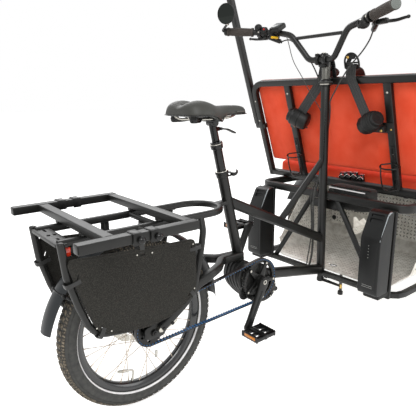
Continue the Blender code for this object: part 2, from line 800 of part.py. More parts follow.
def down_tube_z(x):
    """Height of the down tube's centre line."""
    rear_x = seat_x(DOWN_TUBE_REAR_Z)
    front_x = column_x(DOWN_TUBE_FRONT_Z)
    share = (x - rear_x) / (front_x - rear_x)
    return DOWN_TUBE_REAR_Z + share * (DOWN_TUBE_FRONT_Z - DOWN_TUBE_REAR_Z)


brace_foot = Vector((BRACE_FOOT_X, 0, down_tube_z(BRACE_FOOT_X)))
column_tube = rod(column_low, column_high, COLUMN_RADIUS, MAIN_SIDES)
column_bore = rod(column_low - COLUMN_UP * 0.01, column_high + COLUMN_UP * 0.01, STEERER_RADIUS + BEARING_GAP, MID_SIDES)
down_start = on_seat_tube(DOWN_TUBE_REAR_Z)
down_end = on_column(DOWN_TUBE_FRONT_Z)
down_profile = rect_profile(DOWN_TUBE_WIDTH, DOWN_TUBE_HEIGHT, 0.006)
down_clear = rect_profile(DOWN_TUBE_WIDTH + 2 * GAP, DOWN_TUBE_HEIGHT + 2 * GAP, 0.006)
brace = carve(rod(brace_foot, brace_top, BRACE_RADIUS, SMALL_SIDES), bar(down_start, down_end, down_clear))
column = carve(fuse(column_tube, brace), column_bore)
node("head_column", column, frame_black)

seat_clear = rod(seat_foot - SEAT_UP * 0.05, seat_top + SEAT_UP * 0.05, SEAT_TUBE_RADIUS + GAP, MAIN_SIDES)
column_clear = rod(column_low - COLUMN_UP * 0.05, column_high + COLUMN_UP * 0.05, COLUMN_RADIUS + GAP, MAIN_SIDES)
node("down_tube", carve(bar(down_start, down_end, down_profile), seat_clear.copy(), column_clear.copy()),
     frame_black)

rail_rise = 0.020
rail_start = Vector((SEAT_TUBE_FOOT_X - 0.002, 0, SEAT_TUBE_FOOT_Z - GAP - RAIL_HEIGHT / 2))
rail_bend = Vector((CRANK_X + 0.100, 0, CRANK_Z - 0.018))
rail_end = Vector((COLUMN_X, 0, COLUMN_Z + 0.006))
rail_path = rounded_path((rail_start - Vector((0.020, 0, 0)), rail_start + Vector((0.020, 0, 0)), rail_bend, rail_end),
                         (0, 0.05, 0.10, 0), 3)
rail_profile = rect_profile(RAIL_HEIGHT, RAIL_WIDTH, 0.006)
rail_clear = rect_profile(RAIL_HEIGHT + 2 * GAP, RAIL_WIDTH + 0.2, 0.001)
seat_cap = bar(seat_foot - SEAT_UP * GAP, seat_foot + SEAT_UP * 0.1, round_profile(SEAT_TUBE_RADIUS + 0.03, MID_SIDES))
spindle_room = rod(CRANK_CENTRE - Vector((0, 0.1, 0)), CRANK_CENTRE + Vector((0, 0.1, 0)), SPINDLE_RADIUS + 0.004, MID_SIDES)
bar_room = box((BOX_REAR_X + 0.05 - FLOOR_TUBE / 2 - 0.0025 - GAP, 0, COLUMN_Z), (0.1, 0.2, 0.2))
bottom_rail = carve(sweep(rail_path, rail_profile, normal=(0, 1, 0)), column_clear.copy(), seat_cap, spindle_room, bar_room)
node("bottom_rail", bottom_rail, frame_black)

motor_outline = ((0.350, 0.300), (0.355, 0.322), (0.372, 0.334), (0.420, 0.334), (0.547, 0.276), (0.585, 0.262), (0.604, 0.240),
                 (0.608, 0.218), (0.592, 0.200), (0.560, 0.196), (0.500, 0.186), (0.455, 0.182), (0.405, 0.205),
                 (0.366, 0.250))
motor_points = [(x - 0.447 + CRANK_X, z - 0.297 + CRANK_Z) for x, z in motor_outline]
rail_room = [rail_path[0] - Vector((GAP, 0, 0))] + rail_path[1:]
motor = softened(plate(motor_points, -MOTOR_RIGHT_Y, MOTOR_LEFT_Y), 0.009)
motor = carve(motor, sweep(rail_room, rail_clear, normal=(0, 1, 0)),
              rod(CRANK_CENTRE - Vector((0, 0.2, 0)), CRANK_CENTRE + Vector((0, 0.2, 0)), SPINDLE_RADIUS + BEARING_GAP, MID_SIDES))
node("motor_unit", motor, black_plastic)


def stay_path(side):
    """The chainstay's centre line, from the yoke round the tyre to the dropout."""
    y = DROPOUT_Y + DROPOUT_THICKNESS / 2 + 0.009
    return (Vector((0.335, 0, YOKE_Z + 0.003)), Vector((0.305, side * 0.035, YOKE_Z + 0.013)),
            Vector((0.262, side * 0.062, YOKE_Z + 0.011)), Vector((0.215, side * y, YOKE_Z)),
            Vector((0.147, side * y, YOKE_Z - 0.038)), Vector((0.062, side * y, WHEEL_RADIUS + 0.030)),
            Vector((0.024, side * y, WHEEL_RADIUS + 0.010)))


def dropout(side):
    """A plate with the axle slot's ear and the boss that carries the rack leg."""
    low = side * DROPOUT_Y
    high = side * (DROPOUT_Y + DROPOUT_THICKNESS)
    z = WHEEL_RADIUS
    outline = ((0.045, z + 0.030), (0.010, z + 0.034), (-0.002, z + 0.068), (-0.028, z + 0.068), (-0.026, z + 0.020),
               (-0.022, z - 0.014), (0.004, z - 0.024), (0.028, z - 0.008))
    sheet = plate(outline, min(low, high), max(low, high))
    ear = Vector((-0.015, low, LEG_FOOT_Z))
    boss = rod(ear, ear + Vector((0, side * (LEG_HALF_WIDTH - LEG_RADIUS - GAP - DROPOUT_Y), 0)), 0.007, 6)
    cap_start = Vector((0, side * (DROPOUT_Y + 0.003), z))
    nut = rod(cap_start, cap_start + Vector((0, side * 0.017, 0)), 0.0105, 6)
    return [sheet, boss, nut]


def stay_tube(side, extra=0.0):
    """One stay with a smooth run."""
    return sweep(stay_path(side), round_profile(STAY_RADIUS + extra, SMALL_SIDES))


yoke = rod(Vector((seat_x(YOKE_Z), 0, YOKE_Z)), Vector((0.322, 0, YOKE_Z + 0.003)), STAY_RADIUS + 0.005, MID_SIDES)
axle_reach = DROPOUT_Y + DROPOUT_THICKNESS
axle = rod((0, -axle_reach, WHEEL_RADIUS), (0, axle_reach, WHEEL_RADIUS), REAR_AXLE_RADIUS, SMALL_SIDES)
stays = fuse(yoke, stay_tube(-1), stay_tube(1), *dropout(-1), *dropout(1), axle)
node("rear_stays", carve(stays, seat_clear.copy()), frame_black)

collar_length = 0.024
tube_length = (seat_top - seat_foot).length
collar_outer = SEAT_TUBE_RADIUS + 0.005
tube_loop = ((SEAT_TUBE_RADIUS, 0), (SEAT_TUBE_RADIUS, tube_length - collar_length),
             (collar_outer, tube_length - collar_length), (collar_outer, tube_length),
             (SEAT_POST_RADIUS + GAP, tube_length), (SEAT_POST_RADIUS + GAP, 0))
seat_tube = turned(tube_loop, frame_along(seat_foot, seat_top), MAIN_SIDES)
pin_centre = on_seat_tube(SEAT_TUBE_TOP_Z) - SEAT_UP * collar_length / 2 + Vector((collar_outer + 0.004, 0, 0))
CAM_Y = 0.0155
lug = box(pin_centre - Vector((0.004, 0, 0)), (0.016, 0.018, collar_length - 0.006))
skewer = rod(pin_centre - Vector((0, CAM_Y - 0.0040, 0)), pin_centre + Vector((0, 0.016, 0)), 0.0035, 10)
skewer_nut = rod(pin_centre + Vector((0, 0.0085, 0)), pin_centre + Vector((0, 0.017, 0)), 0.0065, 10)
bore = rod(seat_foot - SEAT_UP * 0.01, seat_top + SEAT_UP * 0.01, SEAT_POST_RADIUS + GAP, MAIN_SIDES)
node("seat_tube", carve(fuse(seat_tube, lug, skewer, skewer_nut), bore), frame_black)
CAM_CENTRE = pin_centre - Vector((0, CAM_Y + 0.0035, 0))
cam = rod(CAM_CENTRE - SEAT_UP * 0.008, CAM_CENTRE + SEAT_UP * 0.008, 0.0070, SMALL_SIDES)
blade_path = rounded_path((CAM_CENTRE, CAM_CENTRE + Vector((0.018, -0.006, 0.004)),
                           CAM_CENTRE + Vector((0.046, -0.001, 0.011))), 0.02, 3)
cam_blade = sweep(blade_path, rect_profile(0.0045, 0.011, 0.0012), normal=SEAT_UP)
node("seat_clamp", fuse(cam, cam_blade), alloy_black, CAM_CENTRE)

# Seat post, dropper and saddle

post_top = on_seat_tube(SEAT_POST_TOP_Z)
post_collar = 0.024
post_loop = ((SEAT_POST_RADIUS, 0), (SEAT_POST_RADIUS, SEAT_POST_LENGTH - post_collar),
             (SEAT_POST_RADIUS + 0.0055, SEAT_POST_LENGTH - post_collar + 0.003),
             (SEAT_POST_RADIUS + 0.0055, SEAT_POST_LENGTH), (DROPPER_RADIUS + GAP, SEAT_POST_LENGTH),
             (DROPPER_RADIUS + GAP, 0))
post_foot = post_top - SEAT_UP * SEAT_POST_LENGTH
node("seat_post", turned(post_loop, frame_along(post_foot, post_top), MAIN_SIDES), alloy_black, post_top)

RAIL_Z = SADDLE_TOP_Z - 0.058
RAIL_WIRE = 0.0035
head_centre = on_seat_tube(RAIL_Z - RAIL_WIRE - GAP - 0.011)
dropper_foot = head_centre - SEAT_UP * DROPPER_LENGTH
dropper_rod = rod(dropper_foot, head_centre, DROPPER_RADIUS, MAIN_SIDES)
head_barrel = rod(head_centre - Vector((0, 0.019, 0)), head_centre + Vector((0, 0.019, 0)), 0.0110, MID_SIDES)
cradle = box(head_centre + Vector((0, 0, 0.0075)), (0.038, 0.054, 0.007))
LEVER_PIVOT = head_centre + Vector((0.0315, 0, -0.019))
lever_post = box(head_centre + Vector((0.018, 0, -0.019)), (0.016, 0.012, 0.013))
node("dropper_post", fuse(dropper_rod, head_barrel, cradle, lever_post), alloy_black, head_centre)
lever_start = LEVER_PIVOT
lever_path = rounded_path((lever_start, lever_start + Vector((0.030, 0, -0.003)),
                           lever_start + Vector((0.062, 0, -0.016))), 0.03, 2)
lever_blade = sweep(lever_path, rect_profile(0.005, 0.016, 0.001), normal=(0, 1, 0))
lever_eye = rod(lever_start - Vector((0, 0.009, 0)), lever_start + Vector((0, 0.009, 0)), 0.005, SMALL_SIDES)
node("dropper_lever", fuse(lever_blade, lever_eye), black_plastic, LEVER_PIVOT)


def saddle_shell():
    """Cross-sections from the broad tail to the nose: a crowned top and skirts that turn in."""
    half = SADDLE_WIDTH / 2
    stations = ((0.000, 0.42, -0.016, 0.020), (0.010, 0.76, -0.006, 0.034), (0.035, 0.95, 0.000, 0.044),
                (0.070, 1.00, -0.002, 0.050), (0.110, 0.93, -0.005, 0.052), (0.145, 0.74, -0.005, 0.050),
                (0.180, 0.49, -0.005, 0.046), (0.215, 0.34, -0.007, 0.040), (0.262, 0.25, -0.014, 0.030),
                (0.283, 0.08, -0.024, 0.012))
    around = ((0.00, 0.00), (0.45, 0.02), (0.82, 0.14), (1.00, 0.45), (0.96, 0.78), (0.84, 1.00))
    rings = []
    for x, width, top, depth in stations:
        ring = []
        for across, down in around:
            ring.append(Vector((SADDLE_REAR_X + x, -half * width * across, SADDLE_TOP_Z + top - depth * down)))
        under = SADDLE_TOP_Z + top - depth * 0.72
        ring.append(Vector((SADDLE_REAR_X + x, -half * width * 0.55, under)))
        ring.append(Vector((SADDLE_REAR_X + x, 0, under + 0.001)))
        for point in reversed(ring[1:-1]):
            ring.append(Vector((point.x, -point.y, point.z)))
        rings.append(ring)
    return fill_rings(bmesh.new(), rings)


wires = []
for side in (-1, 1):
    rail_y = side * 0.022
    wire = rounded_path(((SADDLE_REAR_X + 0.045, rail_y * 1.2, SADDLE_TOP_Z - 0.030),
                         (SADDLE_REAR_X + 0.075, rail_y, RAIL_Z), (SADDLE_REAR_X + 0.195, rail_y, RAIL_Z),
                         (SADDLE_REAR_X + 0.245, rail_y * 0.7, SADDLE_TOP_Z - 0.032)), 0.016, 2)
    wires.append(sweep(wire, round_profile(RAIL_WIRE, 5)))
clamp_top = box(Vector((head_centre.x, 0, RAIL_Z + 0.003)), (0.034, 0.056, 0.009))
node("saddle", fuse(saddle_shell(), *wires, clamp_top), saddle_grey)

# Rack

rail_z = RACK_TOP_Z - RACK_TUBE / 2
hoop_centre = RACK_HOOP_X - RACK_TUBE / 2 - RACK_HALF_WIDTH
hoop_path = [Vector((RACK_REAR_X, -RACK_HALF_WIDTH, rail_z)), Vector((hoop_centre - 0.1, -RACK_HALF_WIDTH, rail_z))]
for step in range(8):
    turn = math.radians(-90 + 180 * step / 7)
    hoop_path.append(Vector((hoop_centre + RACK_HALF_WIDTH * math.cos(turn), RACK_HALF_WIDTH * math.sin(turn), rail_z)))
hoop_path.append(Vector((hoop_centre - 0.1, RACK_HALF_WIDTH, rail_z)))
hoop_path.append(Vector((RACK_REAR_X, RACK_HALF_WIDTH, rail_z)))
hoop = sweep(hoop_path, round_profile(RACK_TUBE / 2, 8), normal=(0, 0, 1))
rear_plate = box((RACK_REAR_X + 0.012, 0, RACK_TOP_Z - 0.009), (0.042, 2 * RACK_HALF_WIDTH + 0.018, 0.006))
CROSS_X = 0.020
cross_tube = rod((CROSS_X, -RACK_HALF_WIDTH, rail_z), (CROSS_X, RACK_HALF_WIDTH, rail_z), 0.008, 10)
tongue_start = RACK_HOOP_X - RACK_TUBE
tongue = box(((tongue_start + seat_x(rail_z)) / 2, 0, rail_z), (seat_x(rail_z) - tongue_start, 0.030, 0.010))
front_legs = []
for side in (-1, 1):
    foot_y = stay_path(side)[4].y
    leg_path = ((0.174, side * RACK_HALF_WIDTH, rail_z), (0.169, side * LEG_HALF_WIDTH * 0.97, 0.525),
                (0.152, side * LEG_HALF_WIDTH, 0.445), (0.137, foot_y, YOKE_Z - 0.042))
    front_legs.append(sweep(leg_path, round_profile(LEG_RADIUS, 8)))
rack = fuse(hoop, rear_plate, cross_tube, tongue, *front_legs)
rack = carve(rack, seat_clear.copy(), stay_tube(-1, GAP), stay_tube(1, GAP))
below = [vert for vert in rack.verts if vert.co.z < YOKE_Z - 0.05]
if below:
    bmesh.ops.delete(rack, geom=below, context="VERTS")
node("rack_hoop", rack, frame_black)

for name, side in (("rack_leg_right", -1), ("rack_leg_left", 1)):
    y = side * LEG_HALF_WIDTH
    leg_path = ((-0.259, y, RACK_TOP_Z - 0.004), (-0.250, y, 0.500), (-0.226, y, 0.416), (-0.205, y, 0.360),
                (-0.188, y, 0.336), (-0.160, y, 0.321), (-0.100, y, 0.312), (-0.040, y, 0.312), (-0.004, y, LEG_FOOT_Z))
    node(name, sweep(leg_path, round_profile(LEG_RADIUS, 8), normal=(0, 1, 0)), frame_black)

deck_low = RACK_TOP_Z + GAP + DECK_LIFT
deck_high = deck_low + DECK_TUBE_HEIGHT
deck_mid = (deck_low + deck_high) / 2
deck_y = DECK_HALF_WIDTH - DECK_TUBE_WIDTH / 2
deck_parts = []
deck_profile = square_profile(DECK_TUBE_WIDTH, DECK_TUBE_HEIGHT)
for side in (-1, 1):
    deck_parts.append(bar((DECK_REAR_X, side * deck_y, deck_mid), (DECK_FRONT_X, side * deck_y, deck_mid), deck_profile))
cross_profile = square_profile(DECK_TUBE_WIDTH, DECK_TUBE_HEIGHT - 0.002)
for x in (DECK_BAR_X, DECK_FRONT_X - DECK_TUBE_WIDTH / 2):
    deck_parts.append(bar((x, -deck_y, deck_mid), (x, deck_y, deck_mid), cross_profile))
    for side in (-1, 1):
        deck_parts.append(box((x, side * RACK_HALF_WIDTH, RACK_TOP_Z + GAP + DECK_LIFT / 2 + 0.002),
                              (0.026, 0.016, DECK_LIFT + 0.004)))
for x in (CLAMP_REAR_X, CLAMP_FRONT_X):
    for side in (-1, 1):
        deck_parts.append(box((x, side * (DECK_HALF_WIDTH - 0.006), deck_mid - 0.001), (0.026, 0.030, 0.034)))
        knob = Matrix.Translation((x + 0.006, side * (DECK_HALF_WIDTH + 0.008), deck_mid - 0.003))
        knob = knob @ Matrix.Rotation(math.radians(90), 4, "X")
        deck_parts.append(spun(((0.0085, -0.006), (0.0085, 0.003), (0.004, 0.008)), knob, 6))
node("rack_deck", fuse(*deck_parts), frame_black)

panel_outline = ((-0.255, 0.541), (-0.247, 0.546), (-0.055, 0.533), (0.112, 0.528), (0.126, 0.518), (0.131, 0.405),
                 (0.118, 0.372), (0.090, 0.342), (0.045, 0.326), (-0.020, 0.318), (-0.100, 0.313), (-0.150, 0.321),
                 (-0.183, 0.338), (-0.203, 0.374), (-0.232, 0.455))
panel_inner = LEG_HALF_WIDTH + LEG_RADIUS + GAP
for name, side in (("side_panel_right", -1), ("side_panel_left", 1)):
    edges = sorted((side * panel_inner, side * (panel_inner + PANEL_THICKNESS)))
    node(name, softened(plate(panel_outline, edges[0], edges[1]), 0.0012), panel_board)

guard_start = math.radians(-5)
guard_steps = 15


def guard(centre, radius, start, end, steps):
    """A crowned mudguard with turned-down edges, swept round its wheel."""
    half = GUARD_WIDTH / 2
    outside = ((-half, -0.013), (-half * 0.72, -0.003), (0, 0.0), (half * 0.72, -0.003), (half, -0.013))
    section = list(outside) + [(y * 0.93, lift - 0.0028) for y, lift in reversed(outside)]
    rings = []
    for step in range(steps + 1):
        angle = start + (end - start) * step / steps
        ring = []
        for y, lift in section:
            r = radius + lift
            ring.append(Vector((centre[0] + r * math.cos(angle), centre[1] + y, centre[2] + r * math.sin(angle))))
        rings.append(ring)
    return fill_rings(bmesh.new(), rings)


rear_guard = guard(REAR_CENTRE, GUARD_RADIUS, guard_start, GUARD_TAIL_ANGLE, guard_steps)
tab_foot = WHEEL_RADIUS + math.sqrt(GUARD_RADIUS ** 2 - CROSS_X ** 2) - 0.002
tab_top = rail_z - 0.008 - GAP
guard_tab = box((CROSS_X, 0, (tab_foot + tab_top) / 2), (0.012, 0.024, tab_top - tab_foot))
guard_wires = []
for side in (-1, 1):
    angle = math.radians(145)
    r = GUARD_RADIUS - 0.010
    start = Vector((r * math.cos(angle), side * GUARD_WIDTH * 0.49, WHEEL_RADIUS + r * math.sin(angle)))
    end = Vector((-0.016, side * (DROPOUT_Y - 0.0022 - GAP), WHEEL_RADIUS + 0.056))
    guard_wires.append(rod(start, end, 0.0022, 6))
    boss = start + Vector((0, side * 0.001, 0))
    guard_wires.append(rod(boss - Vector((0, side * 0.005, 0)), boss + Vector((0, side * 0.004, 0)), 0.006, 6))
node("mudguard", fuse(rear_guard, guard_tab, *guard_wires), black_plastic)

lamp = box((RACK_REAR_X + 0.027, -RACK_HALF_WIDTH + 0.010, rail_z - RACK_TUBE / 2 - GAP - 0.013), (0.024, 0.036, 0.026))
node("tail_light", softened(lamp, 0.005), lamp_red)

# Passenger box

loop_mid = (SEAT_RAIL_TOP_Z - SEAT_RAIL_HEIGHT / 2)
loop_front = SEAT_FRONT_X - 0.030


def ring_path(rear, front, half, z, radius):
    """A rounded rectangle in plan."""
    corners = ((rear, -half, z), (front, -half, z), (front, half, z), (rear, half, z))
    return rounded_path(corners, radius, 3, closed=True)


seat_ring = sweep(ring_path(BOX_REAR_X, loop_front, BOX_HALF_WIDTH, loop_mid, CORNER),
                  square_profile(SEAT_RAIL_WIDTH, SEAT_RAIL_HEIGHT), normal=(0, 0, 1), closed=True)
pan = box(((PAN_REAR_X + SEAT_FRONT_X) / 2, 0, PAN_TOP_Z - (PAN_THICKNESS + 0.004) / 2),
          (SEAT_FRONT_X - PAN_REAR_X, 2 * PAN_HALF_WIDTH, PAN_THICKNESS + 0.004))
stalks = []
for side in (-1, 1):
    for y in (0.030, 0.090):
        stalk_x = PAN_REAR_X + 0.010
        stalks.append(box((stalk_x, side * y, PAN_TOP_Z + 0.020), (0.005, 0.022, 0.044)))
        stalks.append(box((stalk_x, side * y, PAN_TOP_Z + 0.060), (0.012, 0.034, 0.052)))
seat_loop = carve(fuse(seat_ring, pan, *stalks), column_clear.copy())
node("seat_loop", seat_loop, frame_black)

floor_mid = FLOOR_TOP_Z - FLOOR_TUBE / 2
floor_ring = sweep(ring_path(BOX_REAR_X - 0.0025, BOX_FRONT_X - FLOOR_TUBE / 2, BOX_HALF_WIDTH, floor_mid, CORNER),
                   square_profile(FLOOR_TUBE, FLOOR_TUBE), normal=(0, 0, 1), closed=True)
housing_low = BEAM_Z - BEAM_HEIGHT / 2 - 0.005
housing_high = housing_low + KINGPIN_HEIGHT
beam = bar((FRONT_AXLE_X, -KINGPIN_Y, BEAM_Z), (FRONT_AXLE_X, KINGPIN_Y, BEAM_Z),
           square_profile(0.040, BEAM_HEIGHT))
housings = []
bores = []
for side in (-1, 1):
    low = Vector((FRONT_AXLE_X, side * KINGPIN_Y, housing_low))
    high = Vector((FRONT_AXLE_X, side * KINGPIN_Y, housing_high))
    housings.append(rod(low, high, HOUSING_RADIUS, MID_SIDES))
    lift = Vector((0, 0, 0.02))
    bores.append(rod(low - lift, high + lift, KINGPIN_RADIUS + BEARING_GAP, SMALL_SIDES))
    brace_low = Vector((FRONT_AXLE_X, side * (BOX_HALF_WIDTH - 0.004), floor_mid))
    brace_high = Vector((FRONT_AXLE_X, side * (KINGPIN_Y - 0.006), housing_high - 0.022))
    housings.append(rod(brace_low, brace_high, 0.009, 6))
floor_loop = carve(fuse(floor_ring, beam, *housings), column_clear.copy(), *bores)
node("floor_loop", floor_loop, frame_black)

strut_low = FLOOR_TOP_Z + GAP
strut_high = SEAT_RAIL_TOP_Z - SEAT_RAIL_HEIGHT - GAP
struts = []
for side in (-1, 1):
    top = Vector((BOX_REAR_X, side * STRUT_TOP_Y, strut_high))
    foot = Vector((BOX_REAR_X - 0.001, side * STRUT_FOOT_Y, strut_low))
    along = (foot - top).normalized() * 0.03
    struts.append(rod(top - along, foot + along, STRUT_RADIUS, SMALL_SIDES))
gusset = box((BOX_REAR_X + 0.007, 0, strut_high - 0.024), (0.005, 2 * STRUT_TOP_Y + 0.012, 0.036))
struts_cut = [box((BOX_REAR_X, 0, strut_high + 0.05), (0.2, 1.0, 0.1)), box((BOX_REAR_X, 0, strut_low - 0.05), (0.2, 1.0, 0.1))]
node("box_a_frame", carve(fuse(*struts, gusset), *struts_cut), frame_black)

tray_low = FLOOR_TOP_Z + GAP
tray_rear = column_x(tray_low) + COLUMN_RADIUS + 0.002
tray_side = BOX_WALL_Y
wall_top = strut_high


corner = 0.050
floor_outline = [(TOE_X, -BOX_BEND_Y - 0.001)]
floor_outline += [(TOE_X, BOX_BEND_Y + 0.001), (tray_rear + corner, BOX_BEND_Y + 0.001)]
floor_outline += [(tray_rear + corner * 0.3, BOX_BEND_Y - corner * 0.3), (tray_rear, BOX_BEND_Y - corner)]
floor_outline += [(tray_rear, -BOX_BEND_Y + corner), (tray_rear + corner * 0.3, -BOX_BEND_Y + corner * 0.3)]
floor_outline += [(tray_rear + corner, -BOX_BEND_Y - 0.001)]
floor_sheet = plate(floor_outline, tray_low, tray_low + SHEET, "xy")
tray_parts = []
wall_outline = ((tray_rear + 0.050, tray_low), (tray_rear + 0.102, BOX_BEND_Z + 0.010), (1.129, 0.447), (1.184, wall_top),
                (SEAT_FRONT_X - 0.020, wall_top), (SEAT_FRONT_X + 0.030, BOX_SIDE_Z + 0.05), (TOE_X, BOX_SIDE_Z),
                (LIP_X, BOX_SIDE_Z - 0.020), (LIP_X, tray_low + TOE_HEIGHT), (TOE_X, tray_low))
for side in (-1, 1):
    edges = sorted((side * (tray_side - SHEET), side * tray_side))
    wall = plate([point for point in wall_outline], edges[0], edges[1])
    under = box((1.4, side * tray_side, tray_low + (BOX_BEND_Z - tray_low) / 2 - 0.1), (1.4, 0.2, BOX_BEND_Z - tray_low + 0.2))
    wall = carve(wall, under)
    bend = ((side * (BOX_BEND_Y - 0.002), tray_low), (side * BOX_BEND_Y, tray_low), (side * tray_side, BOX_BEND_Z - 0.002),
            (side * tray_side, BOX_BEND_Z + 0.002), (side * (tray_side - SHEET), BOX_BEND_Z + 0.002),
            (side * (BOX_BEND_Y - 0.002), tray_low + SHEET))
    if side < 0:
        bend = tuple(reversed(bend))
    strip = plate(bend, tray_rear + corner, LIP_X, "yz")
    slope = ((tray_rear, tray_low - 0.01), (tray_rear + 0.046, tray_low - 0.01), (tray_rear + 0.098, BOX_BEND_Z + 0.02),
             (tray_rear, BOX_BEND_Z + 0.02))
    ramp = ((TOE_X, tray_low), (TOE_X - 0.02, tray_low - 0.02), (LIP_X + 0.02, tray_low - 0.02),
            (LIP_X + 0.02, tray_low + TOE_HEIGHT + 0.02))
    strip = carve(strip, plate(slope, side * 0.3 - 0.1, side * 0.3 + 0.1), plate(ramp, side * 0.3 - 0.1, side * 0.3 + 0.1))
    tray_parts.extend((wall, strip))
toe_outline = ((TOE_X - 0.004, tray_low), (TOE_X, tray_low), (LIP_X, tray_low + TOE_HEIGHT),
               (LIP_X, BOX_SIDE_Z - 0.020), (LIP_X - SHEET, BOX_SIDE_Z - 0.020),
               (LIP_X - SHEET, tray_low + TOE_HEIGHT + 0.002), (TOE_X - 0.002, tray_low + SHEET))
toe = plate(toe_outline, -tray_side + SHEET / 2, tray_side - SHEET / 2)
partition_outline = ((PARTITION_X - 0.045, tray_low + SHEET * 0.4), (PARTITION_X - 0.041, tray_low + SHEET * 0.4),
                     (PARTITION_X + SHEET, BOX_BEND_Z), (PARTITION_X + SHEET, wall_top), (PARTITION_X, wall_top),
                     (PARTITION_X, BOX_BEND_Z + 0.001))
partition = plate(partition_outline, -tray_side + SHEET / 2, tray_side - SHEET / 2)
notch = ((0.120, 0.306), (0.136, 0.322), (0.160, 0.300), (0.182, 0.320), (0.196, 0.306), (0.188, 0.262), (0.168, 0.232),
         (0.140, 0.246))
hole = plate(notch, PARTITION_X - 0.06, PARTITION_X + 0.02, "yz")
slot_low = Vector((0.955, 0.010, tray_low - 0.01))
slot_hole = box(slot_low, (0.012, 0.026, 0.06))
tray = carve(fuse(floor_sheet, *tray_parts, toe, partition), hole, slot_hole)
node("box_tray", tray, checker)

# Seat back

back_half = BACK_HALF_WIDTH - BACK_TUBE / 2
back_ring = rounded_path((on_back(-back_half, 0), on_back(back_half, 0), on_back(back_half, BACK_HEIGHT),
                          on_back(-back_half, BACK_HEIGHT)), (0.025, 0.025, CORNER, CORNER), 3, closed=True)
back_loop = sweep(back_ring, square_profile(BACK_TUBE, BACK_TUBE), normal=BACK_OUT, closed=True)
back_parts = [back_loop]
for side in (-1, 1):
    back_parts.append(bar(on_back(side * BACK_BAR_Y, 0), on_back(side * BACK_BAR_Y, BACK_HEIGHT),
                          square_profile(BACK_BAR_WIDTH, BACK_BAR_DEPTH), hint=BACK_OUT))
    socket = HOOP_FOOT_UP - GAP - 0.011
    back_parts.append(bar(on_back(side * (BACK_HALF_WIDTH - 0.004), socket - 0.011),
                          on_back(side * (BACK_HALF_WIDTH - 0.004), socket + 0.011),
                          square_profile(0.060, BACK_BAR_DEPTH), hint=BACK_OUT))
node("back_frame", fuse(*back_parts), frame_black)

hoop_y = BACK_HALF_WIDTH + BACK_TUBE / 2 + 0.001
hoop_up = (HOOP_TOP_Z - BACK_FOOT_Z) / math.cos(BACK_LEAN)
arch = rounded_path((on_back(-hoop_y, HOOP_FOOT_UP), on_back(-hoop_y, hoop_up), on_back(hoop_y, hoop_up),
                     on_back(hoop_y, HOOP_FOOT_UP)), (0, 0.080, 0.080, 0), 5)
node("canopy_hoop", sweep(arch, square_profile(BACK_TUBE, BACK_TUBE), normal=BACK_OUT), frame_black)


def cushion(half_across, length, thick, place, channels):
    """An upholstered block: flat back, crowned front, drawn-in sides and stitched channels."""
    across = 10
    along = 5
    rounding = 0.020
    border = (0.0, 0.4, 1.0)
    us = [-half_across + rounding * b for b in border]
    step_u = 2 * (half_across - rounding) / across
    us += [-half_across + rounding + step_u * k for k in range(1, across)]
    us += [half_across - rounding * b for b in reversed(border)]
    vs = [rounding * b for b in border]
    step_v = (length - 2 * rounding) / along
    vs += [rounding + step_v * k for k in range(1, along)]
    vs += [length - rounding * b for b in reversed(border)]

    def height(u, v):
        """Thickness of the cushion at a place."""
        edge = min(half_across - abs(u), v, length - v)
        fall = 1.0 if edge >= rounding else math.sqrt(max(0.0, 1 - (1 - edge / rounding) ** 2))
        crown = math.cos(math.pi / 2 * u / half_across) ** 0.5 if abs(u) < half_across else 0.0
        swell = 1 - (2 * v / length - 1) ** 2
        dent = 0.0
        for line in channels:
            dent = max(dent, 0.004 * max(0.0, 1 - abs(u - line) / (step_u * 0.9)))
        return thick * (0.62 + 0.26 * fall) + thick * 0.12 * fall * (0.4 + 0.6 * crown * swell) - dent * fall

    bm = bmesh.new()
    top = [[bm.verts.new(place(u, v, height(u, v))) for v in vs] for u in us]
    for i in range(len(us) - 1):
        for j in range(len(vs) - 1):
            bm.faces.new((top[i][j], top[i + 1][j], top[i + 1][j + 1], top[i][j + 1]))
    outline = [(i, 0) for i in range(len(us))]
    outline += [(len(us) - 1, j) for j in range(1, len(vs))]
    outline += [(i, len(vs) - 1) for i in range(len(us) - 2, -1, -1)]
    outline += [(0, j) for j in range(len(vs) - 2, 0, -1)]
    waist = []
    base = []
    for i, j in outline:
        u = us[i]
        v = vs[j]
        inset = 0.004
        cu = max(-half_across + inset, min(half_across - inset, u))
        cv = max(inset, min(length - inset, v))
        waist.append(bm.verts.new(place(cu, cv, thick * 0.32)))
        base.append(bm.verts.new(place(cu, cv, 0)))
    count = len(outline)
    for k in range(count):
        i, j = outline[k]
        p, q = outline[(k + 1) % count]
        bm.faces.new((top[i][j], top[p][q], waist[(k + 1) % count], waist[k]))
        bm.faces.new((waist[k], waist[(k + 1) % count], base[(k + 1) % count], base[k]))
    bm.faces.new(base)
    bmesh.ops.recalc_face_normals(bm, faces=bm.faces)
    return bm


def on_seat(u, v, h):
    """A point of the seat cushion."""
    return Vector((CUSHION_REAR_X + v, u, PAN_TOP_Z + GAP + h))


def on_backrest(u, v, h):
    """A point of the back cushion."""
    return on_back(u, BACK_CUSHION_UP + v, BACK_TUBE / 2 + GAP + h)


seat_length = SEAT_FRONT_X + 0.006 - CUSHION_REAR_X
back_length = BACK_HEIGHT + BACK_TUBE / 2 + 0.012 - BACK_CUSHION_UP
node("seat_cushion", cushion(PAN_HALF_WIDTH, seat_length, SEAT_CUSHION, on_seat, (0.0,)), red_fabric)
node("back_cushion", cushion(BACK_HALF_WIDTH - 0.010, back_length, CUSHION, on_backrest, (0.0,)), red_fabric)


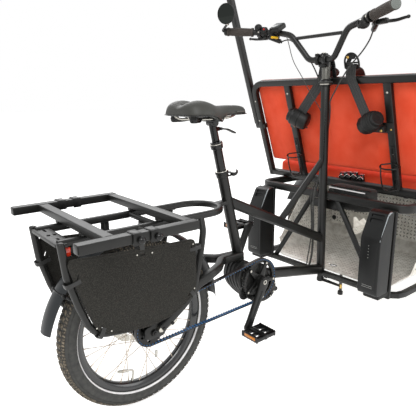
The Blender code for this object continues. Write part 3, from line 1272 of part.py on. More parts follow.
def belt_set(side):
    """Inertia reel on a bracket at the inner bar, webbing up to its guide and down over the cushion."""
    out = -BACK_BAR_DEPTH / 2 - GAP
    tilt = math.radians(37) * side
    centre = on_back(side * 0.180, 0.286, out - 0.006 - 0.020)
    axis = (Vector((0, math.cos(tilt), 0)) * side + BACK_UP * -abs(math.sin(tilt))).normalized()
    drum = rod(centre - axis * 0.034, centre + axis * 0.034, 0.029, 10)
    cap = rod(centre + axis * 0.030, centre + axis * 0.040, 0.023, 8)
    bracket_a = bar(on_back(side * 0.150, 0.262, out - 0.0015), on_back(side * 0.240, 0.262, out - 0.0015),
                    square_profile(0.044, 0.003), hint=BACK_OUT)
    throat = box((0, 0, 0), (0.046, 0.030, 0.034), frame_along((0, 0, 0), axis.cross(BACK_OUT) * -side, BACK_OUT).to_3x3().to_4x4())
    bmesh.ops.translate(throat, vec=centre + axis.cross(BACK_OUT) * -side * 0.018, verts=throat.verts)
    strap_low = centre + Vector((0, -side * 0.020, 0)) + BACK_UP * 0.020
    bar_rear = on_back(side * 0.062, BACK_HEIGHT - 0.010, -BACK_TUBE / 2 - 0.004)
    over = on_back(side * 0.060, BACK_HEIGHT + 0.026, -BACK_TUBE / 2 - 0.004)
    guide_top = on_back(side * 0.066, BACK_HEIGHT + 0.056, 0.004)
    front_face = BACK_TUBE / 2 + GAP + CUSHION + 0.004
    front_high = on_back(side * 0.070, BACK_HEIGHT + 0.044, front_face)
    front_low = on_back(side * 0.110, BACK_CUSHION_UP + 0.100, front_face)
    strap = sweep(rounded_path((strap_low, bar_rear, over, guide_top, front_high, front_low), 0.015, 2),
                  square_profile(0.0022, BELT_WEB_WIDTH), normal=(0, 1, 0))
    tongue_end = bar(on_back(side * 0.108, BACK_CUSHION_UP + 0.118, front_face),
                     on_back(side * 0.112, BACK_CUSHION_UP + 0.080, front_face), square_profile(0.052, 0.006),
                     hint=BACK_OUT)
    guide_foot = on_back(side * 0.0665, BACK_HEIGHT + BACK_TUBE / 2 + GAP, 0.0058)
    guide_plate = bar(guide_foot, on_back(side * 0.0665, BACK_HEIGHT + 0.074, 0.0058), square_profile(0.058, 0.008),
                      hint=BACK_OUT)
    return fuse(drum, cap, bracket_a, throat, strap, tongue_end, guide_plate)


for name, side in (("belt_right", -1), ("belt_left", 1)):
    node(name, belt_set(side), webbing)


def cage(side):
    """A wire bottle cage on a flat mount behind the inner bar."""
    out = -BACK_BAR_DEPTH / 2 - GAP
    wire = 0.0028
    mount = bar(on_back(side * BACK_BAR_Y, 0.040, out - 0.0015), on_back(side * BACK_BAR_Y, 0.165, out - 0.0015),
                square_profile(0.016, 0.003), hint=BACK_OUT)
    loops = []
    for up, reach in ((0.050, 0.070), (0.118, 0.076)):
        ring = []
        for step in range(6):
            angle = math.radians(-90 + 36 * step)
            ring.append(on_back(side * BACK_BAR_Y + 0.038 * math.sin(angle), up, out - 0.006 - (reach - 0.006) * math.cos(angle) ** 0.7
                                if abs(math.cos(angle)) > 1e-6 else out - 0.006))
        ring = [on_back(side * BACK_BAR_Y, up, out - 0.003)] + ring + [on_back(side * BACK_BAR_Y, up, out - 0.003)]
        loops.append(sweep(ring[:-1] + [ring[-1] + BACK_UP * 0.004], round_profile(wire, 4), normal=BACK_UP))
    spine = sweep(rounded_path((on_back(side * BACK_BAR_Y, 0.042, out - 0.002),
                                on_back(side * BACK_BAR_Y, 0.042, out - 0.068),
                                on_back(side * BACK_BAR_Y, 0.120, out - 0.076)), 0.012, 2),
                  round_profile(wire, 4), normal=(0, 1, 0))
    return fuse(mount, *loops, spine)


for name, side in (("cage_right", -1), ("cage_left", 1)):
    node(name, cage(side), alloy_black)

# Batteries on their docks

dock_front = BOX_REAR_X - SEAT_RAIL_WIDTH / 2 - GAP
dock_rear = dock_front - DOCK_DEPTH
battery_front = dock_rear - GAP
battery_rear = battery_front - BATTERY_DEPTH
foot_high = BATTERY_FOOT_Z - GAP
for name, side in (("dock_right", -1), ("dock_left", 1)):
    back = box(((dock_front + dock_rear) / 2, side * BATTERY_Y, (FLOOR_TOP_Z - FLOOR_TUBE + BATTERY_FOOT_Z + BATTERY_HEIGHT) / 2),
               (DOCK_DEPTH, BATTERY_WIDTH * 0.82, BATTERY_FOOT_Z + BATTERY_HEIGHT - FLOOR_TOP_Z + FLOOR_TUBE - 0.010))
    shelf = box((dock_front - 0.040, side * BATTERY_Y, foot_high - 0.009), (0.078, BATTERY_WIDTH * 0.72, 0.018))
    node(name, fuse(softened(back, 0.003), softened(shelf, 0.002)), black_plastic)
for name, side in (("battery_right", -1), ("battery_left", 1)):
    z = BATTERY_FOOT_Z
    top = BATTERY_HEIGHT
    profile = ((battery_rear + 0.004, z), (battery_front, z), (battery_front, z + top), (battery_rear + 0.044, z + top - 0.008),
               (battery_rear, z + top * 0.69), (battery_rear, z + 0.010))
    y = side * BATTERY_Y
    body = softened(plate(profile, y - BATTERY_WIDTH / 2, y + BATTERY_WIDTH / 2), 0.006)
    angle = math.atan2(0.044, top * 0.31 - 0.008)
    spot = Vector((battery_rear + 0.028, y, z + top * 0.69 + (top * 0.31 - 0.008) * 0.62))
    turn = Matrix.Rotation(angle, 4, "Y")
    recess = softened(box((0, 0, 0), (0.024, 0.062, 0.030)), 0.006, 1)
    bmesh.ops.transform(recess, matrix=Matrix.Translation(spot - Vector((0.010, 0, 0))) @ turn, verts=recess.verts)
    node(name, carve(body, recess), black_plastic)

bag_x = BOX_REAR_X + SEAT_RAIL_WIDTH / 2 + 0.0045 + BAG_DEPTH / 2
bag_y = -BAG_OFFSET_Y
bag_z = SEAT_RAIL_TOP_Z - 0.005
bag = softened(box((bag_x, bag_y, bag_z), (BAG_DEPTH, BAG_LENGTH, BAG_HEIGHT)), 0.012)
strap_parts = []
for y in (bag_y - 0.085, bag_y + 0.085):
    outer = box((BOX_REAR_X, y, loop_mid), (SEAT_RAIL_WIDTH + 0.0066, 0.020, SEAT_RAIL_HEIGHT + 0.0066))
    inner = box((BOX_REAR_X, y, loop_mid), (SEAT_RAIL_WIDTH + 2 * GAP, 0.060, SEAT_RAIL_HEIGHT + 2 * GAP))
    strap = carve(outer, inner)
    bridge = box((BOX_REAR_X + SEAT_RAIL_WIDTH / 2 + 0.0095, y, loop_mid), (0.016, 0.020, 0.026))
    strap_parts.extend((strap, bridge))
node("tool_bag", fuse(bag, *strap_parts), webbing)

# Handlebar and steering column insert

stem_foot = on_column(COLUMN_TOP_Z + GAP)
stem_head = on_column(COLUMN_TOP_Z + 0.034)
bar_clamp = on_column(BAR_CLAMP_Z, -BAR_SETBACK)


def bar_side(side):
    """Points of one half of the bar, from the clamp to its end."""
    low = bar_clamp + Vector((-0.016, side * 0.055, 0.002))
    high = bar_clamp + Vector((-0.037, side * 0.125, BAR_RISE - 0.012))
    shoulder = bar_clamp + Vector((-0.043, side * 0.185, BAR_RISE + 0.002))
    reach = BAR_HALF_WIDTH - 0.185
    tip = shoulder + Vector((-reach * math.tan(BAR_SWEEP), side * reach, 0.014))
    return low, high, shoulder, tip


low_r, high_r, shoulder_r, tip_r = bar_side(-1)
low_l, high_l, shoulder_l, tip_l = bar_side(1)
bar_path = rounded_path((tip_r, shoulder_r, high_r, low_r, low_l, high_l, shoulder_l, tip_l),
                        (0, 0.045, 0.040, 0.035, 0.035, 0.040, 0.045, 0), 1)
bar_tube = sweep(bar_path, round_profile(BAR_RADIUS, SMALL_SIDES))
cross_share = 0.70
cross_right = low_r.lerp(high_r, cross_share)
cross_left = low_l.lerp(high_l, cross_share)
crossbar = rod(cross_right, cross_left, 0.0062, SMALL_SIDES)
PITMAN_Z = 0.171
pitman_hub = on_column(PITMAN_Z)
steerer = rod(on_column(PITMAN_Z - 0.008), on_column(COLUMN_TOP_Z + 0.02), STEERER_RADIUS, MID_SIDES)
collar = rod(stem_foot, stem_head, COLUMN_RADIUS + 0.0035, MID_SIDES)
stem = rod(stem_head - COLUMN_UP * 0.01, bar_clamp - Vector((-0.002, 0, 0.004)), STEM_RADIUS, MID_SIDES)
clamp_block = box(bar_clamp, (0.034, 0.046, 0.034))
PITMAN_HALF = 0.007
pitman_tip = pitman_hub - Vector((0, STEER_ARM, 0))
pitman_arm = bar(pitman_hub, pitman_tip, rect_profile(0.030, 2 * PITMAN_HALF, 0.003), hint=COLUMN_UP,
                 end_profile=rect_profile(0.020, 2 * PITMAN_HALF, 0.003))
pitman_boss = rod(pitman_hub - COLUMN_UP * 0.008, pitman_hub + COLUMN_UP * 0.010, 0.019, MID_SIDES)
pin_low = ARM_LOW_Z - GAP + 0.0028
pitman_eye = rod(pitman_tip - COLUMN_UP * PITMAN_HALF, pitman_tip + COLUMN_UP * PITMAN_HALF, 0.012, SMALL_SIDES)
pitman_pin = rod(Vector((pitman_tip.x, pitman_tip.y, pin_low)), pitman_tip, 0.006, 10)


def perch(side):
    """Lever clamp, its master cylinder and the pivot fork."""
    grip_start = tip_at(side, GRIP_LENGTH + 0.022)
    direction = (tip_at(side, 0) - tip_at(side, 0.1)).normalized()
    ring = rod(grip_start - direction * 0.008, grip_start + direction * 0.008, BAR_RADIUS + 0.006, SMALL_SIDES)
    ahead = Vector((math.cos(BAR_SWEEP), side * math.sin(BAR_SWEEP), 0))
    drop = Vector((0, 0, -0.010))
    cylinder = rod(grip_start + ahead * 0.024 + drop - direction * 0.030, grip_start + ahead * 0.030 + drop + direction * 0.014,
                   0.0085, SMALL_SIDES)
    neck = bar(grip_start, grip_start + ahead * 0.030 + drop, square_profile(0.014, 0.016))
    return [ring, cylinder, neck], grip_start, direction, ahead, drop


def tip_at(side, back):
    """A point of the bar's end run, measured back from the tip."""
    shoulder, tip = (shoulder_r, tip_r) if side < 0 else (shoulder_l, tip_l)
    return tip + (shoulder - tip).normalized() * back


right_perch = perch(-1)
left_perch = perch(1)
LEVER_PINS = {}
lever_shapes = {}
for key, side, found in (("right", -1, right_perch), ("left", 1, left_perch)):
    shapes, grip_start, direction, ahead, drop = found
    pin = grip_start + ahead * 0.037 + drop + direction * 0.024
    up = direction.cross(ahead).normalized()
    if up.z < 0:
        up = -up
    fork = bar(grip_start + ahead * 0.030 + drop + direction * 0.004, pin + direction * 0.004,
               square_profile(0.016, 0.016), hint=up)
    pin_hole = rod(pin - up * 0.03, pin + up * 0.03, 0.0086, SMALL_SIDES)
    shapes.append(carve(fork, pin_hole))
    LEVER_PINS[key] = (pin, up)
    eye = rod(pin - up * 0.0055, pin + up * 0.0055, 0.0078, SMALL_SIDES)
    blade = smooth_path((pin, pin + direction * 0.030 + ahead * 0.010, pin + direction * 0.065 + ahead * 0.006,
                         pin + direction * 0.098 + ahead * 0.010), 2)
    sizes = [1.0 - 0.25 * k / (len(blade) - 1) for k in range(len(blade))]
    lever_shapes[key] = fuse(eye, sweep(blade, rect_profile(0.009, 0.010, 0.003), normal=up, scales=sizes))
handlebar = fuse(bar_tube, crossbar, steerer, collar, stem, clamp_block, pitman_arm, pitman_boss,
                 pitman_eye, pitman_pin, *right_perch[0], *left_perch[0])
node("handlebar", handlebar, frame_black, stem_foot)
for key in ("right", "left"):
    node("brake_lever_" + key, lever_shapes[key], alloy_black, LEVER_PINS[key][0])
for key, side in (("right", -1), ("left", 1)):
    core = (BAR_RADIUS + GAP) / math.cos(math.pi / 10)
    loop = ((core, 0), (GRIP_RADIUS, 0), (GRIP_RADIUS, GRIP_LENGTH - 0.012),
            (GRIP_RADIUS + 0.002, GRIP_LENGTH - 0.010), (GRIP_RADIUS + 0.002, GRIP_LENGTH),
            (core, GRIP_LENGTH))
    matrix = frame_along(tip_at(side, GRIP_LENGTH), tip_at(side, 0))
    node("grip_" + key, turned(loop, matrix, 10), grip_brown, tip_at(side, GRIP_LENGTH / 2))

display_centre = shoulder_l + Vector((-0.006, -0.004, 0.024))
display_case = box(display_centre, (0.066, 0.044, 0.014))
display_ring = rod(shoulder_l.lerp(tip_l, 0.03), shoulder_l.lerp(tip_l, 0.10), BAR_RADIUS + 0.0045, SMALL_SIDES)
display_foot = box(shoulder_l.lerp(tip_l, 0.065) + Vector((0, 0, 0.015)), (0.012, 0.010, 0.014))
display_bore = rod(shoulder_l.lerp(tip_l, -0.2), shoulder_l.lerp(tip_l, 0.4), BAR_RADIUS + GAP, 12)
bar_clear = sweep(bar_path, round_profile(BAR_RADIUS + GAP, SMALL_SIDES))
node("display_unit", carve(fuse(display_case, display_ring, display_foot), bar_clear, display_bore), black_plastic)

mirror_dir = (tip_l - shoulder_l).normalized()
mirror_centre = tip_l + Vector((-0.055, -0.030, MIRROR_HEIGHT))
plug = rod(tip_l + mirror_dir * GAP, tip_l + mirror_dir * 0.014, BAR_RADIUS + 0.003, SMALL_SIDES)
mirror_face = Vector((-0.94, -0.30, -0.10)).normalized()
mirror_arm = sweep(rounded_path((tip_l + mirror_dir * 0.008, tip_l + mirror_dir * 0.020 + Vector((0, 0, 0.012)),
                                 mirror_centre - mirror_face * 0.004), 0.008, 2), round_profile(0.0045, 6))
mirror_head = spun(((0.030, -0.010), (0.038, -0.002), (0.037, 0.006)),
                   frame_along(mirror_centre, mirror_centre + mirror_face), MID_SIDES)
node("mirror", fuse(plug, mirror_arm, mirror_head), black_plastic, tip_l + mirror_dir * 0.008)


def hose(points, radius, per_span=2):
    """A brake hose through the points."""
    return sweep(smooth_path(points, per_span), round_profile(radius, 6))


def hose_ends(side):
    """Where a hose leaves its master cylinder."""
    shapes, grip_start, direction, ahead, drop = right_perch if side < 0 else left_perch
    axis = (ahead * 0.006 + direction * 0.044).normalized()
    start = grip_start + ahead * 0.024 + drop - direction * 0.030 - axis * 2 * GAP
    return start, -axis


hose_shapes = []
for side in (-1, 1):
    start, leave = hose_ends(side)
    beside = COLUMN_RADIUS + 0.0035 + HOSE_RADIUS + 0.001
    hose_shapes.append(hose((start, start + leave * 0.018, start + leave * 0.042 + Vector((0.020, 0, -0.016)),
                             on_column(1.085, -0.018, side * 0.078), on_column(1.020, -0.008, side * 0.032),
                             on_column(COLUMN_TOP_Z + 0.020, -0.002, side * beside),
                             on_column(COLUMN_TOP_Z + 0.004, -0.002, side * beside)), HOSE_RADIUS))
tie_ring = turned(((COLUMN_RADIUS + 0.0035 + GAP, 0), (COLUMN_RADIUS + 0.0065, 0), (COLUMN_RADIUS + 0.0065, 0.006),
                   (COLUMN_RADIUS + 0.0035 + GAP, 0.006)), frame_along(on_column(COLUMN_TOP_Z + 0.014), on_column(COLUMN_TOP_Z + 0.1)), MID_SIDES)
node("bar_hoses", fuse(tie_ring, *hose_shapes), rubber, stem_foot)

under_z = FLOOR_TOP_Z - FLOOR_TUBE - GAP - LOOM_RADIUS
loom_side = COLUMN_RADIUS + 0.0045 + 2 * GAP
loom_down = hose((on_column(COLUMN_TOP_Z - 0.003, 0.006, loom_side), on_column(0.900, 0.016, loom_side * 0.8),
                  on_column(0.780, 0.022, 0.010), on_column(0.680, 0.020, 0.015), on_column(0.600, 0.006, loom_side),
                  on_column(0.520, -0.022, loom_side + 0.006), on_column(0.400, -0.020, loom_side + 0.008),
                  on_column(0.290, -0.020, loom_side + 0.010), (BOX_REAR_X - 0.024, 0.048, FLOOR_TOP_Z),
                  (BOX_REAR_X - 0.023, 0.064, under_z - 0.003), (BOX_REAR_X - 0.018, 0.110, under_z),
                  (BOX_REAR_X + 0.000, 0.140, under_z)), 0.0045, 2)
over_z = under_z + 0.0115
loom_floor = hose(((BOX_REAR_X - 0.002, -0.170, under_z), (BOX_REAR_X + 0.004, -0.128, under_z),
                   (BOX_REAR_X + 0.032, -0.117, under_z), (BOX_REAR_X + 0.044, -0.090, over_z),
                   (BOX_REAR_X + 0.050, -0.040, over_z), (BOX_REAR_X + 0.050, 0.040, over_z),
                   (BOX_REAR_X + 0.044, 0.090, over_z), (BOX_REAR_X + 0.032, 0.117, under_z),
                   (BOX_REAR_X + 0.002, 0.128, under_z), (BOX_REAR_X - 0.002, 0.180, under_z),
                   (BOX_REAR_X - 0.002, 0.270, under_z)), LOOM_RADIUS, 1)
loom = carve(fuse(loom_down, loom_floor), column_clear.copy())
node("frame_loom", loom, rubber)

# Steered wheels

ARM_HIGH_Z = ARM_LOW_Z + ARM_THICKNESS
for name, side in (("right", -1), ("left", 1)):
    centre = Vector((FRONT_AXLE_X, side * FRONT_WHEEL_Y, WHEEL_RADIUS))
    node("front_tyre_" + name, tyre(centre, FRONT_STEPS), rubber, centre)
    disc = side * FRONT_DISC_Y
    wheel = spoked_wheel(centre, FRONT_SPOKES, FRONT_STEPS, FRONT_FLANGE_RADIUS, FRONT_HUB_RADIUS, FRONT_HUB_REACH,
                         REAR_AXLE_RADIUS + BEARING_GAP, disc)
    node("front_wheel_" + name, wheel, alloy_black, centre)

    kingpin_y = side * KINGPIN_Y
    upper = housing_high + GAP
    bracket_y = side * (KINGPIN_Y + HOUSING_RADIUS + 0.0115)
    bracket = box((FRONT_AXLE_X, bracket_y, (ARM_LOW_Z + upper + ARM_THICKNESS) / 2),
                  (0.034, 0.006, upper + ARM_THICKNESS - ARM_LOW_Z))
    pin = rod((FRONT_AXLE_X, kingpin_y, ARM_LOW_Z), (FRONT_AXLE_X, kingpin_y, upper + ARM_THICKNESS), KINGPIN_RADIUS, SMALL_SIDES)
    mid_y = (kingpin_y + bracket_y) / 2
    span = abs(bracket_y - kingpin_y) + 0.020
    low_plate = box((FRONT_AXLE_X, mid_y, (ARM_LOW_Z + ARM_HIGH_Z) / 2), (0.030, span, ARM_THICKNESS))
    high_plate = box((FRONT_AXLE_X, mid_y, upper + ARM_THICKNESS / 2), (0.030, span, ARM_THICKNESS))
    stub = rod((FRONT_AXLE_X, bracket_y, WHEEL_RADIUS),
               (FRONT_AXLE_X, side * (FRONT_WHEEL_Y + FRONT_HUB_REACH + 0.008), WHEEL_RADIUS), REAR_AXLE_RADIUS, SMALL_SIDES)
    spacer = rod((FRONT_AXLE_X, bracket_y, WHEEL_RADIUS),
                 (FRONT_AXLE_X, side * (FRONT_WHEEL_Y - FRONT_HUB_REACH - GAP), WHEEL_RADIUS), 0.011, SMALL_SIDES)
    nut = rod((FRONT_AXLE_X, side * (FRONT_WHEEL_Y + FRONT_HUB_REACH + GAP), WHEEL_RADIUS),
              (FRONT_AXLE_X, side * (FRONT_WHEEL_Y + FRONT_HUB_REACH + 0.010), WHEEL_RADIUS), 0.0105, 6)
    tie_end = Vector((FRONT_AXLE_X - TIE_ARM, kingpin_y, (ARM_LOW_Z + ARM_HIGH_Z) / 2))
    tie_bar = bar((FRONT_AXLE_X, kingpin_y, tie_end.z), tie_end, square_profile(0.022, ARM_THICKNESS))
    tie_eye = rod(tie_end - Vector((0, 0, ARM_THICKNESS / 2)), tie_end + Vector((0, 0, ARM_THICKNESS / 2)), 0.012, SMALL_SIDES)
    parts = [bracket, pin, low_plate, high_plate, stub, spacer, nut, tie_bar, tie_eye]
    if side > 0:
        drag_end = Vector((FRONT_AXLE_X, kingpin_y - STEER_ARM, tie_end.z))
        parts.append(bar((FRONT_AXLE_X, kingpin_y, tie_end.z), drag_end, square_profile(0.022, ARM_THICKNESS)))
        parts.append(rod(drag_end - Vector((0, 0, ARM_THICKNESS / 2)), drag_end + Vector((0, 0, ARM_THICKNESS / 2)), 0.012, SMALL_SIDES))
    shield = guard(centre, FRONT_GUARD_RADIUS, math.radians(35), math.radians(155), 8)
    stay_foot = Vector((FRONT_AXLE_X, bracket_y, upper + ARM_THICKNESS * 0.5))
    edge_y = side * (FRONT_WHEEL_Y - GUARD_WIDTH * 0.475)
    stay_top = Vector((FRONT_AXLE_X, edge_y, WHEEL_RADIUS + FRONT_GUARD_RADIUS - 0.006))
    guard_post = bar(stay_foot - Vector((0, 0, 0.01)), stay_top, square_profile(0.024, 0.005), hint=(0, 1, 0))
    knuckle = fuse(shield, guard_post, *parts)
    node("knuckle_" + name, knuckle, frame_black, Vector((FRONT_AXLE_X, kingpin_y, ARM_LOW_Z)))

TIE_Z = ARM_HIGH_Z + GAP + LINK_RADIUS
tie_x = FRONT_AXLE_X - TIE_ARM
tie_rod = fuse(rod((tie_x, -KINGPIN_Y, TIE_Z), (tie_x, KINGPIN_Y, TIE_Z), LINK_RADIUS, SMALL_SIDES),
               rod((tie_x, -KINGPIN_Y, ARM_HIGH_Z + GAP), (tie_x, -KINGPIN_Y, TIE_Z + LINK_RADIUS), 0.011, SMALL_SIDES),
               rod((tie_x, KINGPIN_Y, ARM_HIGH_Z + GAP), (tie_x, KINGPIN_Y, TIE_Z + LINK_RADIUS), 0.011, SMALL_SIDES))
node("tie_rod", tie_rod, alloy_black, (tie_x, 0, TIE_Z))

DRAG_Z = ARM_LOW_Z - GAP - LINK_RADIUS
drag_start = Vector((pitman_tip.x, pitman_tip.y, DRAG_Z))
drag_stop = Vector((FRONT_AXLE_X, KINGPIN_Y - STEER_ARM, DRAG_Z))
lift = Vector((0, 0, LINK_RADIUS))
drag_link = fuse(rod(drag_start, drag_stop, LINK_RADIUS, SMALL_SIDES), rod(drag_start - lift, drag_start + lift, 0.011, SMALL_SIDES),
                 rod(drag_stop - lift, drag_stop + lift, 0.011, SMALL_SIDES))
node("drag_link", drag_link, alloy_black, drag_stop)
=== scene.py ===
"""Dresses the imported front-loading trishaw: its finishes, its soft parts and the light on it."""

import json
import math

import bpy
from mathutils import Matrix, Vector


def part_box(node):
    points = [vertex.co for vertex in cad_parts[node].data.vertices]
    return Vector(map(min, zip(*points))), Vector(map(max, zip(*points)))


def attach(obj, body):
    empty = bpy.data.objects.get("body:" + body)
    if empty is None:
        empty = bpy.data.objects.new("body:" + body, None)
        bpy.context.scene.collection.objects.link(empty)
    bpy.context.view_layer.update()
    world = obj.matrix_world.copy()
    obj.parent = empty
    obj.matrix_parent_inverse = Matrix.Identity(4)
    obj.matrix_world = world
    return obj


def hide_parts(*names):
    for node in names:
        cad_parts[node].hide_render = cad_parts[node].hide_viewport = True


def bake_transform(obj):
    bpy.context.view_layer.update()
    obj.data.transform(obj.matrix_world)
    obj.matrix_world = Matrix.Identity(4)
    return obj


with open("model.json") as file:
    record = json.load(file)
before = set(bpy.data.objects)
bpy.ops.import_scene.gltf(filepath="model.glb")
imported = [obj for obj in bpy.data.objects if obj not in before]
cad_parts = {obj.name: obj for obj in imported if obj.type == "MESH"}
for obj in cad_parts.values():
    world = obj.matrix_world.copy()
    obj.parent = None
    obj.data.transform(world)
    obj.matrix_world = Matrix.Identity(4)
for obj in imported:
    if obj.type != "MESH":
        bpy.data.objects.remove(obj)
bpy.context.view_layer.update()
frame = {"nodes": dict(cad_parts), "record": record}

# Places that everything is measured from, in metres. X is forward, Y to the rider's left
MM = 0.001
TURN = 2 * math.pi
tyre_low, tyre_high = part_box("rear_tyre")
AXLE = (tyre_low + tyre_high) / 2
WHEEL_RADIUS = tyre_high.z / 2
TYRE_HALF = (tyre_high.y - tyre_low.y) / 2
# Pieces are built from the ground under the rear axle, and moved by this into the frame
SHIFT = Vector((AXLE.x, 0, 0))
SIDE_NAME = {-1: "right", 1: "left"}


def mm(*values):
    """Millimetres in metres: one place, or several."""
    return tuple(mm(*v) if isinstance(v, tuple) else v * MM for v in values)


# Materials

def linear(code):
    """Linear colour of an sRGB hex value."""
    values = [int(code[k:k + 2], 16) / 255 for k in (1, 3, 5)]
    return [v / 12.92 if v <= 0.04045 else ((v + 0.055) / 1.055) ** 2.4 for v in values] + [1.0]


def add(tree, kind, links=(), **settings):
    """Adds a node. Settings are its properties or sockets, and links are (socket, source node, output)."""
    made = tree.nodes.new(kind)
    for key, value in settings.items():
        if hasattr(made, key):
            setattr(made, key, value)
        else:
            made.inputs[key.replace("_", " ")].default_value = value
    for socket, source, output in links:
        tree.links.new(source.outputs[output], made.inputs[socket])
    return made


def finish_of(name, colour, roughness, metallic=0.0, **shader_settings):
    """A Principled material, its node tree, shader and object coordinates."""
    material = bpy.data.materials.new(name)
    material.use_nodes = True
    tree = material.node_tree
    shader = tree.nodes["Principled BSDF"]
    shader.inputs["Base Color"].default_value = linear(colour)
    shader.inputs["Roughness"].default_value = roughness
    shader.inputs["Metallic"].default_value = metallic
    for key, value in shader_settings.items():
        shader.inputs[key.replace("_", " ")].default_value = value
    place = add(tree, "ShaderNodeTexCoord")
    return material, tree, shader, place


def mottled(tree, shader, place, dark, light, grain, spread=(0.35, 0.65), detail=4.0):
    """Drives the base colour between two tones by noise whose cells are grain metres wide."""
    noise = add(tree, "ShaderNodeTexNoise", [("Vector", place, "Object")], Scale=1 / grain, Detail=detail)
    ramp = add(tree, "ShaderNodeValToRGB", [("Fac", noise, "Fac")])
    ramp.color_ramp.elements[0].position = spread[0]
    ramp.color_ramp.elements[0].color = linear(dark)
    ramp.color_ramp.elements[1].position = spread[1]
    ramp.color_ramp.elements[1].color = linear(light)
    tree.links.new(ramp.outputs["Color"], shader.inputs["Base Color"])


def grained(tree, shader, place, grain, depth, detail=3.0, strength=0.6):
    """Bump from noise whose cells are grain metres wide and depth metres deep."""
    noise = add(tree, "ShaderNodeTexNoise", [("Vector", place, "Object")], Scale=1 / grain, Detail=detail)
    bump = add(tree, "ShaderNodeBump", [("Height", noise, "Fac")], Strength=strength, Distance=depth)
    tree.links.new(bump.outputs["Normal"], shader.inputs["Normal"])


def finish(name, colour, roughness, tones=(), grain=(), metallic=0.0, **shader_settings):
    """A finish with its two tones and its grain, as mottled and grained take them."""
    material, tree, shader, place = finish_of(name, colour, roughness, metallic, **shader_settings)
    if tones:
        mottled(tree, shader, place, *tones)
    if grain:
        grained(tree, shader, place, *grain)
    return material


def moulded(name, colour, roughness, grain):
    """Glass-filled nylon from a spark-eroded mould, or anodised alloy. It is matt, with a fine even grain."""
    return finish(name, colour, roughness, (), (grain * MM, 0.10 * MM, 2.0), Specular_IOR_Level=0.32)


def alloy(name, colour, roughness, grain=0.8):
    """Bare metal with fine turning marks. It is bright where it faces a lamp."""
    return finish(name, colour, roughness, (), (grain * MM, 0.03 * MM, 2.0, 0.35), 1.0)


def tread_plate(name, dark, light, roughness):
    """Rolled aluminium plate. It is pale, a little warm, and scuffed between its lozenges. Its near-white is
    partly the alloy's own tone and partly painted light, brighter than bare alloy.
    """
    return finish(name, "#ece8de", roughness, (dark, light, 22 * MM), (1.6 * MM, 0.10 * MM, 4.0, 0.5), 0.06)


def bench_canvas():
    """Coated red-orange canvas, plain woven. Real threads are 0.9 mm apart, and these 2.2 mm, to show."""
    material, tree, shader, place = finish_of("red_canvas", "#fb5836", 0.72, Sheen_Weight=0.05,
                                              Specular_IOR_Level=0.22)
    warp, weft = [add(tree, "ShaderNodeTexWave", [("Vector", place, "Object")], bands_direction=way,
                      Scale=0.31 / (2.2 * MM)) for way in "YZ"]
    weave = add(tree, "ShaderNodeMath", [(0, warp, "Fac"), (1, weft, "Fac")], operation="MULTIPLY")
    bump = add(tree, "ShaderNodeBump", [("Height", weave, 0)], Strength=0.35, Distance=0.25 * MM)
    tree.links.new(bump.outputs["Normal"], shader.inputs["Normal"])
    mottled(tree, shader, place, "#f85230", "#ff6040", 70 * MM)
    return material


def nylon_webbing():
    """Woven polyester belt. Ribs run across it, 1.4 mm apart, drawn 3 mm to show."""
    material, tree, shader, place = finish_of("black_webbing", "#171716", 0.55, Sheen_Weight=0.15)
    ribs = add(tree, "ShaderNodeTexWave", [("Vector", place, "Object")], bands_direction="Z",
               Scale=0.31 / (3 * MM))
    bump = add(tree, "ShaderNodeBump", [("Height", ribs, "Fac")], Strength=0.4, Distance=0.3 * MM)
    tree.links.new(bump.outputs["Normal"], shader.inputs["Normal"])
    return material


def amber_lens():
    """Moulded amber acrylic with prism squares behind its face, 3 mm apart."""
    material, tree, shader, place = finish_of("amber_lens", "#d98214", 0.2, Coat_Weight=0.4)
    prisms = add(tree, "ShaderNodeTexVoronoi", [("Vector", place, "Object")], Scale=1 / (3 * MM))
    bump = add(tree, "ShaderNodeBump", [("Height", prisms, "Distance")], Strength=0.5, Distance=0.4 * MM)
    tree.links.new(bump.outputs["Normal"], shader.inputs["Normal"])
    return material


# Satin black powder coat on welded tube. It gives a soft grey highlight and a faint orange peel
PAINT = finish("powder_coat_black", "#131312", 0.40, ("#10100f", "#171715", 60 * MM), mm(2.2, 0.12),
               Specular_IOR_Level=0.36)
# Vulcanised rubber. It is matt charcoal
RUBBER = finish("tyre_rubber", "#3d3d3b", 0.78, ("#343433", "#454542", 14 * MM), mm(1.5, 0.15))
# Tread rubber that has been ridden. Beige dust lies on black blocks, in patches a few millimetres wide
TREAD = finish("dusty_tread", "#5c554b", 0.85, ("#3a3733", "#8d8271", 6 * MM, (0.38, 0.66), 5.0),
               mm(1.5, 0.25))
# Glass-bead reflecting tape in the tyre's flank. It is white from every side. The same white also paints a
# highlight along the tub's partition fold
REFLEX_AND_PAINTED_HIGHLIGHT = finish("reflecting_ring_and_painted_highlight", "#f2f1f0", 0.5, ("#e2e0e2", "#fbfaf8", 30 * MM))
# Waxed black canvas of the tool bag, soft and a little uneven
CANVAS_BLACK = finish("black_canvas", "#191918", 0.7, ("#141413", "#242422", 18 * MM), mm(2.5, 0.3),
                      Sheen_Weight=0.1, Specular_IOR_Level=0.3)
CANVAS = bench_canvas()
WEBBING = nylon_webbing()
# Textured HDPE board. Pale specks stand in its black grain
BOARD = finish("panel_board", "#25241f", 0.74, ("#1b1a17", "#3f3d38", 2.6 * MM, (0.42, 0.74), 6.0),
               (2.4 * MM, 0.5 * MM, 4.0, 0.8), Specular_IOR_Level=0.25)
# The floor plate is near white: partly the alloy's pale tone, partly painted light that brightens the tub's
# shaded inside
PLATE_WITH_PAINTED_LIGHT = tread_plate("tread_plate", "#dcd7cc", "#f8f5ec", 0.34)
